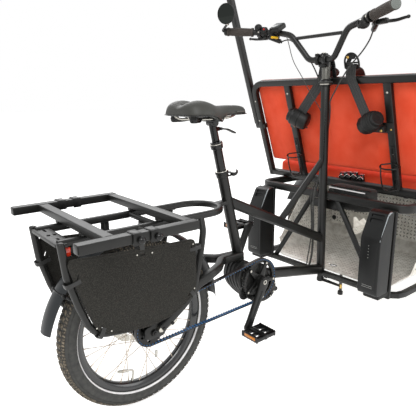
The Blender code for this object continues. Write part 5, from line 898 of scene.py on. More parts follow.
def tooth_phase(start, arc, radius, begin):
    """Angle of the belt's gap nearest the middle of an arc."""
    index = round((start + arc / 2) / belt_lengths()[-1])
    return begin + (index * belt_lengths()[-1] - start) / radius


def belt_wheel(name, hub, radius, teeth, phase, holes, bore, width=9.6 * MM):
    """A belt wheel with square-topped teeth, a thin web and lightening holes."""
    crest = radius - BELT_THICKNESS / 2 - TOOTH_GAP
    root = crest - BELT_TOOTH
    outline = []
    for index in range(teeth):
        for share, r in ((-0.16, crest), (0.16, crest), (0.35, root), (0.65, root)):
            turn = phase + TURN * (index + share) / teeth
            outline.append((hub[0] + r * math.cos(turn), hub[2] + r * math.sin(turn)))
    blank = slab(name, outline, BELT_Y - width / 2, BELT_Y + width / 2)
    tools = [shaft("bore", (hub[0], BELT_Y - 0.02, hub[2]), (hub[0], BELT_Y + 0.02, hub[2]), bore, 48)]
    for number, share, size in holes:
        for k in range(number):
            turn = phase + TURN * (k + 0.5) / number
            spot = (hub[0] + radius * share * math.cos(turn), hub[2] + radius * share * math.sin(turn))
            tools.append(shaft("hole", (spot[0], BELT_Y - 0.02, spot[1]), (spot[0], BELT_Y + 0.02, spot[1]),
                               size, 14))
    cut(blank, *tools)
    return eased(blank, 0.3 * MM, 1, 50)


tilt, lean, straight_run, ring_arc, sprocket_arc = belt_lengths()[:5]
ring_phase = tooth_phase(0.0, ring_arc, RING_RADIUS, tilt - (math.pi - lean))
sprocket_phase = tooth_phase(ring_arc + straight_run, sprocket_arc, SPROCKET_RADIUS, tilt + math.pi - lean)


def rear_cog():
    """The rear belt wheel, with a lock ring at its bore."""
    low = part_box("rear_sprocket")[0].y
    cog = belt_wheel("cog", REAR_HUB, SPROCKET_RADIUS, SPROCKET_TEETH, sprocket_phase, ((7, 0.66, 5.2 * MM),),
                     20.9 * MM)
    lock = lathe("lock_ring", [(20.9 * MM, low - 0.2 * MM), (25.0 * MM, low - 0.2 * MM),
                               (25.0 * MM, low + 2 * MM), (20.9 * MM, low + 2 * MM)], REAR_HUB, 40)
    dress(joined("rear_cog", cog, lock), BLACK_ALLOY, "rear_sprocket", ("rear_sprocket",), 35)


def flared(start, along, across, stations):
    """The outline in x and z of a bar whose half width changes on its way."""
    rim = [start + along * s + across * w for s, w in stations]
    rim += [start + along * s - across * w for s, w in reversed(stations)]
    return [(p.x, p.z) for p in rim]


def crank_arm(side, angle):
    """A forged arm. It is waisted, has a groove along its face, and carries round eyes at its ends."""
    y = side * 80 * MM
    along = Vector((math.cos(angle), 0, math.sin(angle)))
    across = Vector((-along.z, 0, along.x))
    face = []
    for step, wide in ((-0.06, 9), (-0.03, 14), (0.0, 17), (0.06, 17.5), (0.14, 15.5), (0.30, 13.5),
                       (0.55, 12.2), (0.80, 11.2), (0.93, 11.8), (1.0, 12.4), (1.05, 10.5), (1.075, 5)):
        face.append((step * CRANK_LENGTH, wide * 1.22 * MM))
    arm = slab("arm", flared(CRANK, along, across, face), y - 6.6 * MM, y + 6.6 * MM, 3.2 * MM, segments=3)
    groove_start, groove_end = CRANK + along * 0.030, CRANK + along * 0.142
    groove = tube("groove", [groove_start + Vector((0, y + side * 8.4 * MM, 0)),
                             groove_end + Vector((0, y + side * 8.4 * MM, 0))], round_section(5.0 * MM, 16))
    cut(arm, groove)
    end = CRANK + along * CRANK_LENGTH + Vector((0, y, 0))
    eye = shaft("eye", end - Vector(mm(0, 6.3, 0)), end + Vector(mm(0, 6.3, 0)), 14.6 * MM, 32, 1.0 * MM)
    boss = shaft("boss", CRANK + Vector((0, y - 6.9 * MM, 0)), CRANK + Vector((0, y + 6.9 * MM, 0)),
                 17.5 * MM, 40, 1.4 * MM)
    return [arm, eye, boss], end


def chainset():
    """Both arms, the spider with its bolts, and the front belt wheel."""
    parts = []
    for side, angle in ((-1, CRANK_ANGLE), (1, CRANK_ANGLE + math.pi)):
        shapes, end = crank_arm(side, angle)
        parts += shapes
    parts.append(shaft("spindle", CRANK - Vector(mm(0, 81, 0)), CRANK + Vector(mm(0, 81, 0)), 11 * MM, 24))
    root = RING_RADIUS - BELT_THICKNESS / 2 - BELT_TOOTH - TOOTH_GAP
    parts.append(belt_wheel("ring", CRANK, RING_RADIUS, RING_TEETH, ring_phase, ((20, 0.845, 1.5 * MM),),
                            root - 9 * MM))
    bolts = []
    for k in range(5):
        turn = CRANK_ANGLE + TURN * k / 5 + math.radians(36)
        outline = [(share * root, wide * MM) for share, wide in ((0.14, 15), (0.40, 10.5), (0.66, 7.6),
                                                                 (0.86, 7.4), (0.97, 5.0))]
        out = Vector((math.cos(turn), 0, math.sin(turn)))
        across = Vector((-out.z, 0, out.x))
        parts.append(slab("arm", flared(CRANK, out, across, outline), BELT_Y - 9.6 * MM, BELT_Y - 2.2 * MM,
                          1.4 * MM))
        spot = CRANK + out * root * 0.90
        bolts.append(shaft("bolt", spot + Vector((0, BELT_Y - 11.4 * MM, 0)),
                           spot + Vector((0, BELT_Y - 8 * MM, 0)), 4.4 * MM, 16, 0.8 * MM))
    parts.append(lathe("boss", mm((11, -52), (22, -52), (21, -62), (18.5, -74), (11, -74)), CRANK, 40))
    dress(joined("chainset", *parts), BLACK_ALLOY, "crankset", ("crankset",), 35)
    for side in (-1, 1):
        face = CRANK + Vector(mm(0, side * 86.6, 0))
        bolts.append(lathe("cap", mm((4.2, side * 84.5), (8.6, side * 84.5), (8.2, side * 87.6),
                                     (5.2, side * 87.9), (4.2, side * 86.0)), CRANK, 28))
        bolts.append(shaft("socket", face - Vector(mm(0, side * 3, 0)), face - Vector(mm(0, side * 1.6, 0)),
                           4.4 * MM, 6))
    dress(joined("chainset_bolts", *bolts), STEEL, "crankset")


def cage_pedal(side, angle, name):
    """A platform pedal: a barrel, two toothed cage plates with amber reflectors, and an end bow."""
    end = CRANK + Vector((math.cos(angle), 0, math.sin(angle))) * CRANK_LENGTH
    inner, outer = side * 93.6 * MM, side * 168.6 * MM
    middle = (inner + outer) / 2
    long, wide, high = 86 * MM, 75 * MM, 22 * MM
    parts = []
    for along in (-1, 1):
        teeth = []
        for k in range(9):
            y = middle - wide / 2 + wide * (k + 0.5) / 9
            teeth += [(y - wide / 18, high / 2 - 2.6 * MM), (y, high / 2)]
        teeth.append((middle + wide / 2, high / 2 - 2.6 * MM))
        teeth += [(y, -z) for y, z in reversed(teeth)]
        x = end.x + along * (long / 2 - 1.6 * MM)
        plate = slab("cage", [(y, z + end.z) for y, z in teeth], x - 1.4 * MM, x + 1.4 * MM, 0, "yz")
        window = block("window", (x, middle, end.z), (0.02, 54 * MM, 11.5 * MM))
        parts.append(cut(plate, window))
        parts.append(block("shelf", (end.x + along * (long / 2 - 6.5 * MM), middle, end.z), mm(8, 56, 15),
                           1 * MM))
    for y in (inner + side * 1.6 * MM, outer - side * 1.6 * MM):
        reach = long / 2 - 1.5 * MM
        parts.append(tube("bow", [(end.x - reach, y, end.z), (end.x + reach, y, end.z)],
                          box_section(3 * MM, 13 * MM, 1 * MM, 2), normal=(0, 0, 1)))
    parts.append(shaft("barrel", (end.x, inner, end.z), (end.x, outer, end.z), 9.4 * MM, 24, 1.2 * MM))
    parts.append(shaft("spindle", (end.x, side * 86.5 * MM, end.z), (end.x, inner, end.z), 6.3 * MM, 16))
    for u in (-1, 1):
        for v in (-0.62, 0.0, 0.62):
            y = middle + v * wide / 2
            parts.append(tube("rib", [(end.x + u * 7 * MM, y, end.z),
                                      (end.x + u * (long / 2 - 8 * MM), y + v * 3 * MM, end.z)],
                              box_section(6 * MM, 12 * MM, 1.2 * MM, 2), normal=(0, 0, 1)))
    dress(joined(name + "_cage", *parts), PEDAL_BLACK, name, (name,), 35)
    panes = [block("pane", (end.x + along * (long / 2 - 1.9 * MM), middle, end.z), mm(2.6, 51, 10.6),
                   0.5 * MM) for along in (-1, 1)]
    dress(joined(name + "_reflectors", *panes), AMBER, name, (), 35)


toothed_belt()
rear_cog()
chainset()
cage_pedal(-1, CRANK_ANGLE, "pedal_right")
cage_pedal(1, CRANK_ANGLE + math.pi, "pedal_left")


def motor_cover():
    """The drive unit: a domed cover, its fins, a round service cap and the ring under the belt wheel."""
    parts = []
    parts.append(lathe("skirt", mm((15, -43), (57, -43), (58, -45), (55, -48.0), (40, -49.2), (23, -49.4),
                                   (15, -49.4)), CRANK, 72))
    for k in range(30):
        turn = TURN * k / 30
        start, end = on_wheel(CRANK, 26 * MM, -48.6 * MM, turn), on_wheel(CRANK, 54 * MM, -47.6 * MM, turn)
        parts.append(tube("fin", [start, end], box_section(1.6 * MM, 2.2 * MM, 0.4 * MM, 1),
                          normal=(0, 1, 0)))
    cap = Vector((0.392, 0, 0.262))
    parts.append(lathe("cap", mm((0.5, -42), (27, -42), (28, -44.5), (26, -47), (22, -47.4), (21, -45.6),
                                 (12, -45.6), (11, -48), (0.5, -48.4)), cap, 48))
    for k in range(5):
        spot = on_wheel(cap, 16.5 * MM, -46 * MM, TURN * k / 5 + 0.3)
        parts.append(shaft("screw", spot, spot - Vector(mm(0, 1.8, 0)), 2.4 * MM, 12, 0.4 * MM))
    for k in range(5):
        x = 0.474 + 0.0125 * k
        parts.append(tube("rib", [(x, -43.6 * MM, 0.232 - 0.0028 * k),
                                  (x + 0.006, -43.6 * MM, 0.204 + 0.001 * k)],
                          box_section(2.4 * MM, 3.0 * MM, 0.8 * MM, 2), normal=(0, 1, 0)))
    dress(joined("motor_cover", *parts), MOTOR_CASE, "frame")
    screws = [shaft("screw", (x, -43.2 * MM, z), (x, -45.6 * MM, z), 3.4 * MM, 16, 0.6 * MM)
              for x, z in ((0.379, 0.318), (0.534, 0.262), (0.536, 0.224), (0.432, 0.226))]
    dress(joined("motor_screws", *screws), STEEL, "frame")


motor_cover()


def axle_hardware():
    """Sliding dropouts with two bolts each, axle nuts and their washers."""
    bright, dark = [], []
    for side in (-1, 1):
        y = side * 73.2 * MM
        start, end = Vector((0.018, 0, 0.2655)), Vector((0.071, 0, 0.2795))
        along = (end - start).normalized()
        across = Vector((-along.z, 0, along.x))
        rim = [start - along * 0.008 + across * 0.004, start + across * 0.0085,
               end - along * 0.006 + across * 0.008, end + along * 0.004 + across * 0.003,
               end + along * 0.004 - across * 0.004, end - along * 0.008 - across * 0.008,
               start - across * 0.0085, start - along * 0.008 - across * 0.004]
        low, high = sorted((y, y + side * 15.5 * MM))
        bright.append(slab("slider", [(p.x, p.z) for p in rim], low, high, 1.4 * MM))
        for share in (0.16, 0.72):
            spot = start.lerp(end, share) + Vector((0, y + side * 15 * MM, 0))
            dark.append(shaft("bolt", spot, spot + Vector(mm(0, side * 5, 0)), 5.2 * MM, 20, 0.8 * MM))
            bright.append(lathe("washer", mm((5.2, 0), (7.2, 0), (7.2, side * 1.4), (5.2, side * 1.4)), spot,
                                24))
        spot = Vector((0, side * 73 * MM, WHEEL_RADIUS))
        dark.append(lathe("washer", mm((6, 0), (15, 0), (15, side * 2), (6, side * 2)), spot, 32))
        dark.append(shaft("nut", spot, spot + Vector(mm(0, side * 11, 0)), 10.8 * MM, 6, 1.2 * MM))
        dark.append(shaft("stud", spot, spot + Vector(mm(0, side * 14, 0)), 5.4 * MM, 16, 0.8 * MM))
        leg = Vector((-0.015, side * 106 * MM, 0.316))
        dark.append(shaft("leg_bolt", leg, leg + Vector(mm(0, side * 4.5, 0)), 5.4 * MM, 18, 1.4 * MM))
    dress(joined("dropout_sliders", *bright), STEEL, "frame")
    dress(joined("axle_nuts", *dark), BLACK_ALLOY, "frame")


axle_hardware()


# Rack, its deck, legs and side panels

DECK_MID = 607.9 * MM
LEG_Y = 96.5 * MM
LEG_ROUTE = ((-0.259, 0.586), (-0.250, 0.500), (-0.226, 0.416), (-0.205, 0.360), (-0.188, 0.336),
             (-0.160, 0.3205), (-0.100, 0.3115), (-0.040, 0.3115), (-0.004, 0.316))
PANEL_EDGE = ((-0.252, 0.532), (-0.247, 0.5455), (-0.238, 0.5475), (-0.160, 0.5415), (-0.055, 0.534),
              (0.112, 0.528), (0.124, 0.523), (0.1275, 0.512), (0.131, 0.400), (0.129, 0.371), (0.113, 0.350),
              (0.082, 0.329), (0.034, 0.3105), (-0.028, 0.3035), (-0.100, 0.3095), (-0.150, 0.319),
              (-0.181, 0.336), (-0.201, 0.372), (-0.230, 0.455))


def rounded_outline(points, bend, steps=4):
    """A flat outline whose corners are rounded."""
    ring = [Vector((u, v, 0)) for u, v in points]
    made = []
    for k, corner in enumerate(ring):
        before, after = ring[k - 1], ring[(k + 1) % len(ring)]
        reach = min(bend, (before - corner).length * 0.45, (after - corner).length * 0.45)
        start = corner + (before - corner).normalized() * reach
        end = corner + (after - corner).normalized() * reach
        for step in range(steps + 1):
            t = step / steps
            spot = start.lerp(corner, t).lerp(corner.lerp(end, t), t)
            made.append((spot.x, spot.y))
    return made


def rack_deck():
    """Two long square tubes over two cross bars, capped, welded and clamped down with ball knobs."""
    parts = []
    y = 221 * MM
    for side in (-1, 1):
        parts.append(tube("long_tube", [(-0.272, side * y, DECK_MID), (0.048, side * y, DECK_MID)],
                          box_section(28 * MM, 23 * MM, 2.6 * MM, 4), normal=(0, 0, 1)))
    for x in (-0.188, 0.034):
        parts.append(tube("cross_tube", [(x, -y + 12 * MM, DECK_MID), (x, y - 12 * MM, DECK_MID)],
                          box_section(28 * MM, 21 * MM, 2.4 * MM, 4), normal=(0, 0, 1)))
        for side in (-1, 1):
            weld = [(x - 14 * MM, side * (y - 14.2 * MM), DECK_MID + 9.4 * MM),
                    (x - 7 * MM, side * (y - 14.9 * MM), DECK_MID + 10.2 * MM),
                    (x + 7 * MM, side * (y - 14.9 * MM), DECK_MID + 10.2 * MM),
                    (x + 14 * MM, side * (y - 14.2 * MM), DECK_MID + 9.4 * MM)]
            parts.append(tube("weld", weld, round_section(1.5 * MM, 8)))
            parts.append(block("foot", (x, side * 76 * MM, 594.6 * MM), mm(27, 17, 8), 1.5 * MM))
    dress(joined("deck_tubes", *parts), PAINT, "frame", ("rack_deck",), 35)
    dark = []
    for side in (-1, 1):
        for x, out in ((-0.272, -1), (0.048, 1)):
            dark.append(block("plug", (x + out * 0.6 * MM, side * y, DECK_MID), mm(2.4, 24, 19), 1 * MM))
    for x in (-0.1315, -0.0845):
        for side in (-1, 1):
            out = side * 235 * MM
            shell = [(x - 13 * MM, DECK_MID - 15 * MM), (x - 13 * MM, DECK_MID + 12.6 * MM),
                     (x - 9 * MM, DECK_MID + 14.6 * MM), (x + 9 * MM, DECK_MID + 14.6 * MM),
                     (x + 13 * MM, DECK_MID + 12.6 * MM), (x + 13 * MM, DECK_MID - 15 * MM)]
            low, high = sorted((side * 206 * MM, out + side * 3.4 * MM))
            cover = slab("cover", shell, low, high, 1.6 * MM)
            cut(cover, block("tube_room", (x, side * (y - 1 * MM), DECK_MID - 4 * MM),
                             (0.06, 27 * MM, 32.4 * MM)))
            dark.append(cover)
            dark.append(block("cheek", (x, out + side * 2.6 * MM, DECK_MID - 1.0 * MM), mm(25, 4.6, 30),
                              1.8 * MM))
    dress(joined("deck_clamps", *dark), CLAMP_BLACK, "frame", (), 35)
    knobs = []
    for x in (-0.1315, -0.0845):
        for side in (-1, 1):
            spot = Vector((x + 6 * MM, side * 243 * MM, DECK_MID - 3 * MM))
            if side < 0:
                knobs.append(ball("ball", spot + Vector(mm(0, side * 2.5, 0)), mm(9.6, 8.4, 9.6), 16))
            else:
                knobs.append(block("latch", spot - Vector((0.002, 1 * MM, -0.004)), mm(34, 8, 11), 2.4 * MM))
    dress(joined("deck_knobs", *knobs), GLOSS_BLACK, "frame")


def rack_base():
    """The rack's bent hoop, rear plate, cross tube and tongue, with the front legs welded under it."""
    mid = 580 * MM
    parts = []
    half = 76 * MM
    ring = [Vector((-0.258, -half, mid))]
    for step in range(25):
        turn = math.radians(-90 + 180 * step / 24)
        ring.append(Vector((0.212 + 80 * MM * math.cos(turn), half * math.sin(turn), mid)))
    ring.append(Vector((-0.258, half, mid)))
    parts.append(tube("hoop", ring, box_section(19.6 * MM, 20 * MM, 6.5 * MM, 5), normal=(0, 0, 1)))
    plate = [(-0.267, -85 * MM), (-0.267, 85 * MM), (-0.225, 85 * MM), (-0.225, -85 * MM)]
    rear = slab("rear_plate", rounded_outline(plate, 5 * MM), 581 * MM - 6 * MM, 584 * MM, 1.2 * MM, "xy")
    for y in mm(-48, 48):
        cut(rear, block("slot", (-0.245, y, 0.58), (7 * MM, 24 * MM, 0.05), 3 * MM))
    parts.append(rear)
    parts.append(shaft("cross", (0.020, -half, mid), (0.020, half, mid), 8 * MM, 24))
    tongue = [Vector((0.286, 0, mid)), Vector((0.330, 0, mid + 3 * MM)), Vector((0.3462, 0, mid + 5 * MM))]
    parts.append(tube("tongue", tongue, box_section(30 * MM, 14 * MM, 4 * MM, 4), normal=(0, 0, 1)))
    for side in (-1, 1):
        leg = soft_route([(0.174, side * half, mid), (0.172, side * 87 * MM, 0.553),
                          (0.168, side * 94 * MM, 0.525), (0.152, side * 96 * MM, 0.445),
                          (0.141, side * 86 * MM, 0.368), (0.138, side * 80 * MM, 0.346)], 6)
        parts.append(tube("leg", leg, round_section(9.8 * MM, 20)))
        parts.append(tube("weld", [(0.163, side * half - 8 * MM * side, 0.5705),
                                   (0.174, side * (half - 1 * MM), 0.5698),
                                   (0.185, side * (half - 8 * MM), 0.5705)], round_section(2 * MM, 8)))
    dress(joined("rack_base", *parts), PAINT, "frame", ("rack_hoop",), 35)
    bolts = []
    for x, y in ((-0.238, -70 * MM), (-0.238, 70 * MM), (-0.252, 0), (-0.236, 0)):
        bolts.append(shaft("bolt", (x, y, 583.6 * MM), (x, y, 586.6 * MM), 4.6 * MM, 20, 1 * MM))
        bolts.append(shaft("socket", (x, y, 586.0 * MM), (x, y, 586.9 * MM), 2.0 * MM, 6))
    dress(joined("rear_plate_bolts", *bolts), BLACK_ALLOY, "frame")


def rack_leg(side, name):
    """One bent leg from the rear plate down and forward to the axle."""
    route = rounded_route([Vector((x, side * LEG_Y, z)) for x, z in LEG_ROUTE], 30 * MM, 5)
    leg = tube("leg", route, round_section(9.8 * MM, 24), normal=(0, 1, 0))
    cap = ball("cap", route[0], mm(9.7, 9.7, 4), 10)
    lug = block("lug", (-0.250, side * 88 * MM, 0.5795), mm(20, 16, 10), 2 * MM)
    dress(joined("bent_" + name, leg, cap, lug), PAINT, "frame", (name,), 45)


def squared(turn, power, wide, tall):
    """A point of a rounded rectangle's outline, by its half sizes."""
    c, s = math.cos(turn), math.sin(turn)
    return math.copysign(abs(c) ** power, c) * wide, math.copysign(abs(s) ** power, s) * tall


def flat_loop(place, along, out, wide, reach, depth, thick=1.5 * MM):
    """A flat strap laid in a rounded rectangle round what it holds."""
    along, out = Vector(along).normalized(), Vector(out).normalized()
    across = along.cross(out).normalized()
    ring = []
    for k in range(32):
        turn = TURN * k / 32
        u, v = squared(turn, 0.5, reach / 2, depth / 2)
        ring.append(Vector(place) + across * u + out * v)
    rings = []
    for spot in ring:
        away = (spot - Vector(place)).normalized()
        rings.append([spot + along * (s * wide / 2) + away * (level * thick)
                      for s, level in ((-1, 0), (1, 0), (1, 1), (-1, 1))])
    return skin("strap", rings, True)


def side_panel(side, name):
    """A rigid textured board with a rolled top edge, punched slots and its straps."""
    inner, outer = side * 106.9 * MM, side * 112.3 * MM
    low, high = sorted((inner, outer))
    board = slab("board", rounded_outline(PANEL_EDGE, 12 * MM), low, high, 1.6 * MM)
    slots = []
    for x, z, turn in ((-0.048, 0.517, 0), (-0.229, 0.500, 70), (0.112, 0.500, 85), (0.104, 0.362, 48),
                       (-0.170, 0.345, -40)):
        matrix = Matrix.Rotation(math.radians(-turn), 4, "Y")
        slots.append(block("slot", (x, side * 0.11, z), (15 * MM, 0.03, 4 * MM), 1.6 * MM, matrix))
    cut(board, *slots)
    hem_route = [Vector((x, side * 110.4 * MM, z)) for x, z in ((-0.2455, 0.5395), (-0.160, 0.5355),
                                                                (-0.055, 0.5285), (0.116, 0.5215))]
    hem = tube("hem", hem_route, round_section(4.2 * MM, 14))
    lip_route = soft_route([Vector((x, side * 110.2 * MM, z))
                            for x, z in ((-0.150, 0.3235), (-0.100, 0.3145), (-0.028, 0.3085),
                                         (0.034, 0.3150), (0.078, 0.3325), (0.108, 0.352))], 6)
    lip = tube("lip", lip_route, round_section(2.9 * MM, 10))
    dress(joined("board_" + name, board, hem, lip), BOARD, "frame", (name,), 40)
    straps = [flat_loop((x, side * y * MM, z), way, (0, 1, 0), wide * MM, reach * MM, deep * MM)
              for x, y, z, way, wide, reach, deep in ((-0.049, 100, 0.545, (1, 0, 0), 14, 52, 26),
                                                      (-0.240, 101, 0.485, (0.26, 0, -1), 11, 40, 26),
                                                      (0.128, 104, 0.498, (0.08, 0, -1), 11, 40, 22),
                                                      (-0.176, 101, 0.334, (1, 0, -0.55), 12, 32, 26),
                                                      (0.116, 101, 0.359, (1, 0, 0.72), 11, 24, 25))]
    dress(joined("straps_" + name, *straps), WEBBING, "frame")
    rivets = [shaft("rivet", (x, outer, z), (x, outer + side * 1.1 * MM, z), 2.3 * MM, 12, 0.5 * MM)
              for x, z in ((-0.065, 0.520), (-0.019, 0.5165), (0.118, 0.512), (-0.190, 0.352), (0.121, 0.375),
                           (-0.150, 0.331))]
    dress(joined("rivets_" + name, *rivets), STEEL, "frame")


def mudguard():
    """A crowned guard with rolled edges. It opens a little towards its tail, and wire stays hold it."""
    start, end = math.radians(4), math.radians(167)
    section = []
    half = 31.5 * MM
    for k in range(13):
        v = -1 + 2 * k / 12
        section.append((v * half, -11.5 * MM * abs(v) ** 2.4))
    section += [(y * 0.955, lift - 1.9 * MM) for y, lift in reversed(section)]
    rings, steps = [], 72
    for step in range(steps + 1):
        t = step / steps
        turn = start + (end - start) * t
        base = WHEEL_RADIUS + 26 * MM + 17 * MM * min(1.0, t * 1.6) ** 1.3
        narrow = 1.0 - 0.10 * max(0.0, 1 - t * 7) ** 2 + 0.06 * t - 0.10 * max(0.0, 1 - (1 - t) * 14) ** 2
        rings.append([on_wheel(REAR_HUB, base + lift, y * narrow, turn) for y, lift in section])
    dress(skin("guard_shell", rings), GUARD_SLATE, "frame", ("mudguard",), 50)
    wires = []
    turn = math.radians(145)
    for side in (-1, 1):
        start_at = on_wheel(REAR_HUB, 291 * MM, side * 31 * MM, turn)
        corner = on_wheel(REAR_HUB, 262 * MM, side * 46 * MM, turn)
        foot = Vector((-0.016, side * 62.5 * MM, WHEEL_RADIUS + 0.056))
        wires.append(tube("stay",
                          rounded_route([on_wheel(REAR_HUB, 301 * MM, side * 20 * MM, turn), start_at, corner,
                                         foot], 14 * MM, 5), round_section(2.3 * MM, 10)))
        wires.append(shaft("boss", start_at - Vector(mm(0, side * 3, 0)),
                           start_at + Vector(mm(0, side * 7, 0)), 6 * MM, 20, 1.2 * MM))
        wires.append(shaft("end_cap", start_at + (corner - start_at) * 0.2,
                           start_at + (corner - start_at) * 0.75, 3.8 * MM, 14, 1 * MM))
        wires.append(shaft("eye", foot - Vector(mm(0, 3, 0)), foot + Vector(mm(0, 3, 0)), 5.4 * MM, 16,
                           0.8 * MM))
    bow = [on_wheel(REAR_HUB, 300.5 * MM - 11 * MM * abs(k / 5) ** 2.4, k / 5 * 31 * MM, turn)
           for k in range(-5, 6)]
    wires.append(tube("bow", bow, round_section(2.4 * MM, 10)))
    wires.append(block("tab", (0.020, 0, 0.5565), mm(14, 26, 34), 2 * MM))
    dress(joined("guard_stays", *wires), BLACK_ALLOY, "frame")


def tail_light():
    """A red lens in a black shell, screwed under the rack's rear corner."""
    centre = Vector((-0.2335, -0.066, 0.5585))
    lens = block("lens", centre - Vector((0.0030, 0, 0)), mm(17, 35.2, 25), 5.2 * MM)
    ribs = [block("prism", centre + Vector((-0.0098, v * MM, 0)), mm(3, 1.2, 18), 0.4 * MM)
            for v in range(-12, 13, 3)]
    dress(joined("tail_lens", lens, *ribs), LENS, "frame", ("tail_light",), 45)
    shell = [block("shell", centre + Vector((0.0085, 0, 0)), mm(10, 36, 26), 3 * MM),
             block("neck", centre + Vector((0.004, 0.004, 0.0145)), mm(14, 12, 9), 2 * MM),
             shaft("plug", centre + Vector((0.010, 0.004, -0.006)), centre + Vector((0.019, 0.004, -0.006)),
                   3.4 * MM, 14, 0.6 * MM)]
    dress(joined("tail_shell", *shell), PLASTIC, "frame", (), 45)
    lead = soft_route([centre + Vector((0.018, 0.004, -0.006)), centre + Vector((0.034, 0.010, -0.010)),
                       centre + Vector((0.060, 0.006, 0.000)), centre + Vector((0.110, -0.008, 0.004)),
                       Vector((-0.060, -0.0705, 0.567)), Vector((0.010, -0.0720, 0.5665))], 6)
    dress(tube("tail_lead", lead, round_section(2.0 * MM, 8)), RUBBER, "frame", (), 60)
    hose_points = [(-0.050, -0.1000, 0.590), (-0.020, -0.1060, 0.5770), (0.020, -0.1065, 0.5700),
                   (0.062, -0.1000, 0.5750), (0.085, -0.0880, 0.5900), (0.090, -0.0720, 0.5900)]
    dress(tube("deck_lead", soft_route(hose_points, 6), round_section(3.0 * MM, 10)), RUBBER, "frame",
          (), 60)


rack_deck()
rack_base()
for side_sign, side_name in SIDE_NAME.items():
    rack_leg(side_sign, "rack_leg_" + side_name)
    side_panel(side_sign, "side_panel_" + side_name)
mudguard()
tail_light()


# Seat tube, stays, motor, seat post and saddle

SEAT_AXIS = Vector((-0.2422, 0, 0.9702))
SEAT_FOOT = Vector((0.4045, 0, 0.356))
CASE_SCREWS = ((0.384, 0.345), (0.392, 0.272), (0.455, 0.216), (0.520, 0.212), (0.540, 0.258))


def up_seat_tube(height):
    """The seat tube's centre at a height over the ground."""
    return SEAT_FOOT + SEAT_AXIS * ((height - SEAT_FOOT.z) / SEAT_AXIS.z)


def yoke():
    """Two box-section stays that leave the seat tube as one flat yoke and fall to the axle plates."""
    parts = []
    for side in (-1, 1):
        route = rounded_route([(0.408, side * 0.006, 0.385), (0.312, side * 0.010, 0.388),
                               (0.262, side * 0.056, 0.390), (0.214, side * 0.0785, 0.388),
                               (0.1566, side * 0.0785, 0.3674), (0.100, side * 0.0785, 0.318),
                               (0.020, side * 0.0785, 0.2665)], 45 * MM, 5)
        parts.append(tube("stay", route, box_section(25 * MM, 27 * MM, 6 * MM, 4), normal=(0, 0, 1)))
    parts.append(tube("gusset", [Vector((0.402, 0, 0.379)), Vector((0.352, 0, 0.381)),
                                 Vector((0.306, 0, 0.384))], box_section(34 * MM, 22 * MM, 5 * MM, 3),
                      normal=(0, 0, 1)))
    parts.append(shaft("bridge", (0.176, -0.078, 0.371), (0.176, 0.078, 0.371), 8 * MM, 16))
    dress(joined("stay_yoke", *parts), PAINT, "frame", ("rear_stays",))
    plates = []
    for side in (-1, 1):
        outline = rounded_outline([(-0.030, 0.240), (0.034, 0.238), (0.052, 0.268), (0.040, 0.292),
                                   (0.012, 0.286), (-0.030, 0.276)], 10 * MM)
        low, high = sorted(mm(side * 70.5, side * 76.5))
        plates.append(slab("axle_plate", outline, low, high, 1.2 * MM))
    dress(joined("axle_plates", *plates), PAINT, "frame", (), 35)


def seat_mast():
    """The seat tube with its collar and two fillet weld beads near its foot."""
    top, foot = up_seat_tube(0.690), up_seat_tube(0.352)
    reach = (top - foot).length
    mast = lathe("seat_mast", [(0, 0), (17.2 * MM, 0), mm(18, 1), (18 * MM, reach - 22 * MM),
                               (20.4 * MM, reach - 20 * MM), (20.4 * MM, reach - 1 * MM), (19.6 * MM, reach),
                               (0, reach)], foot, 40, SEAT_AXIS, closed=False)
    parts = [mast]
    for height in (0.372, 0.384):
        parts.append(lathe("bead", mm((17.4, -3), (19.4, -1.5), (19.8, 1.5), (17.4, 3)), up_seat_tube(height),
                           32, SEAT_AXIS))
    dress(joined("seat_mast", *parts), PAINT, "frame", ("seat_tube",))


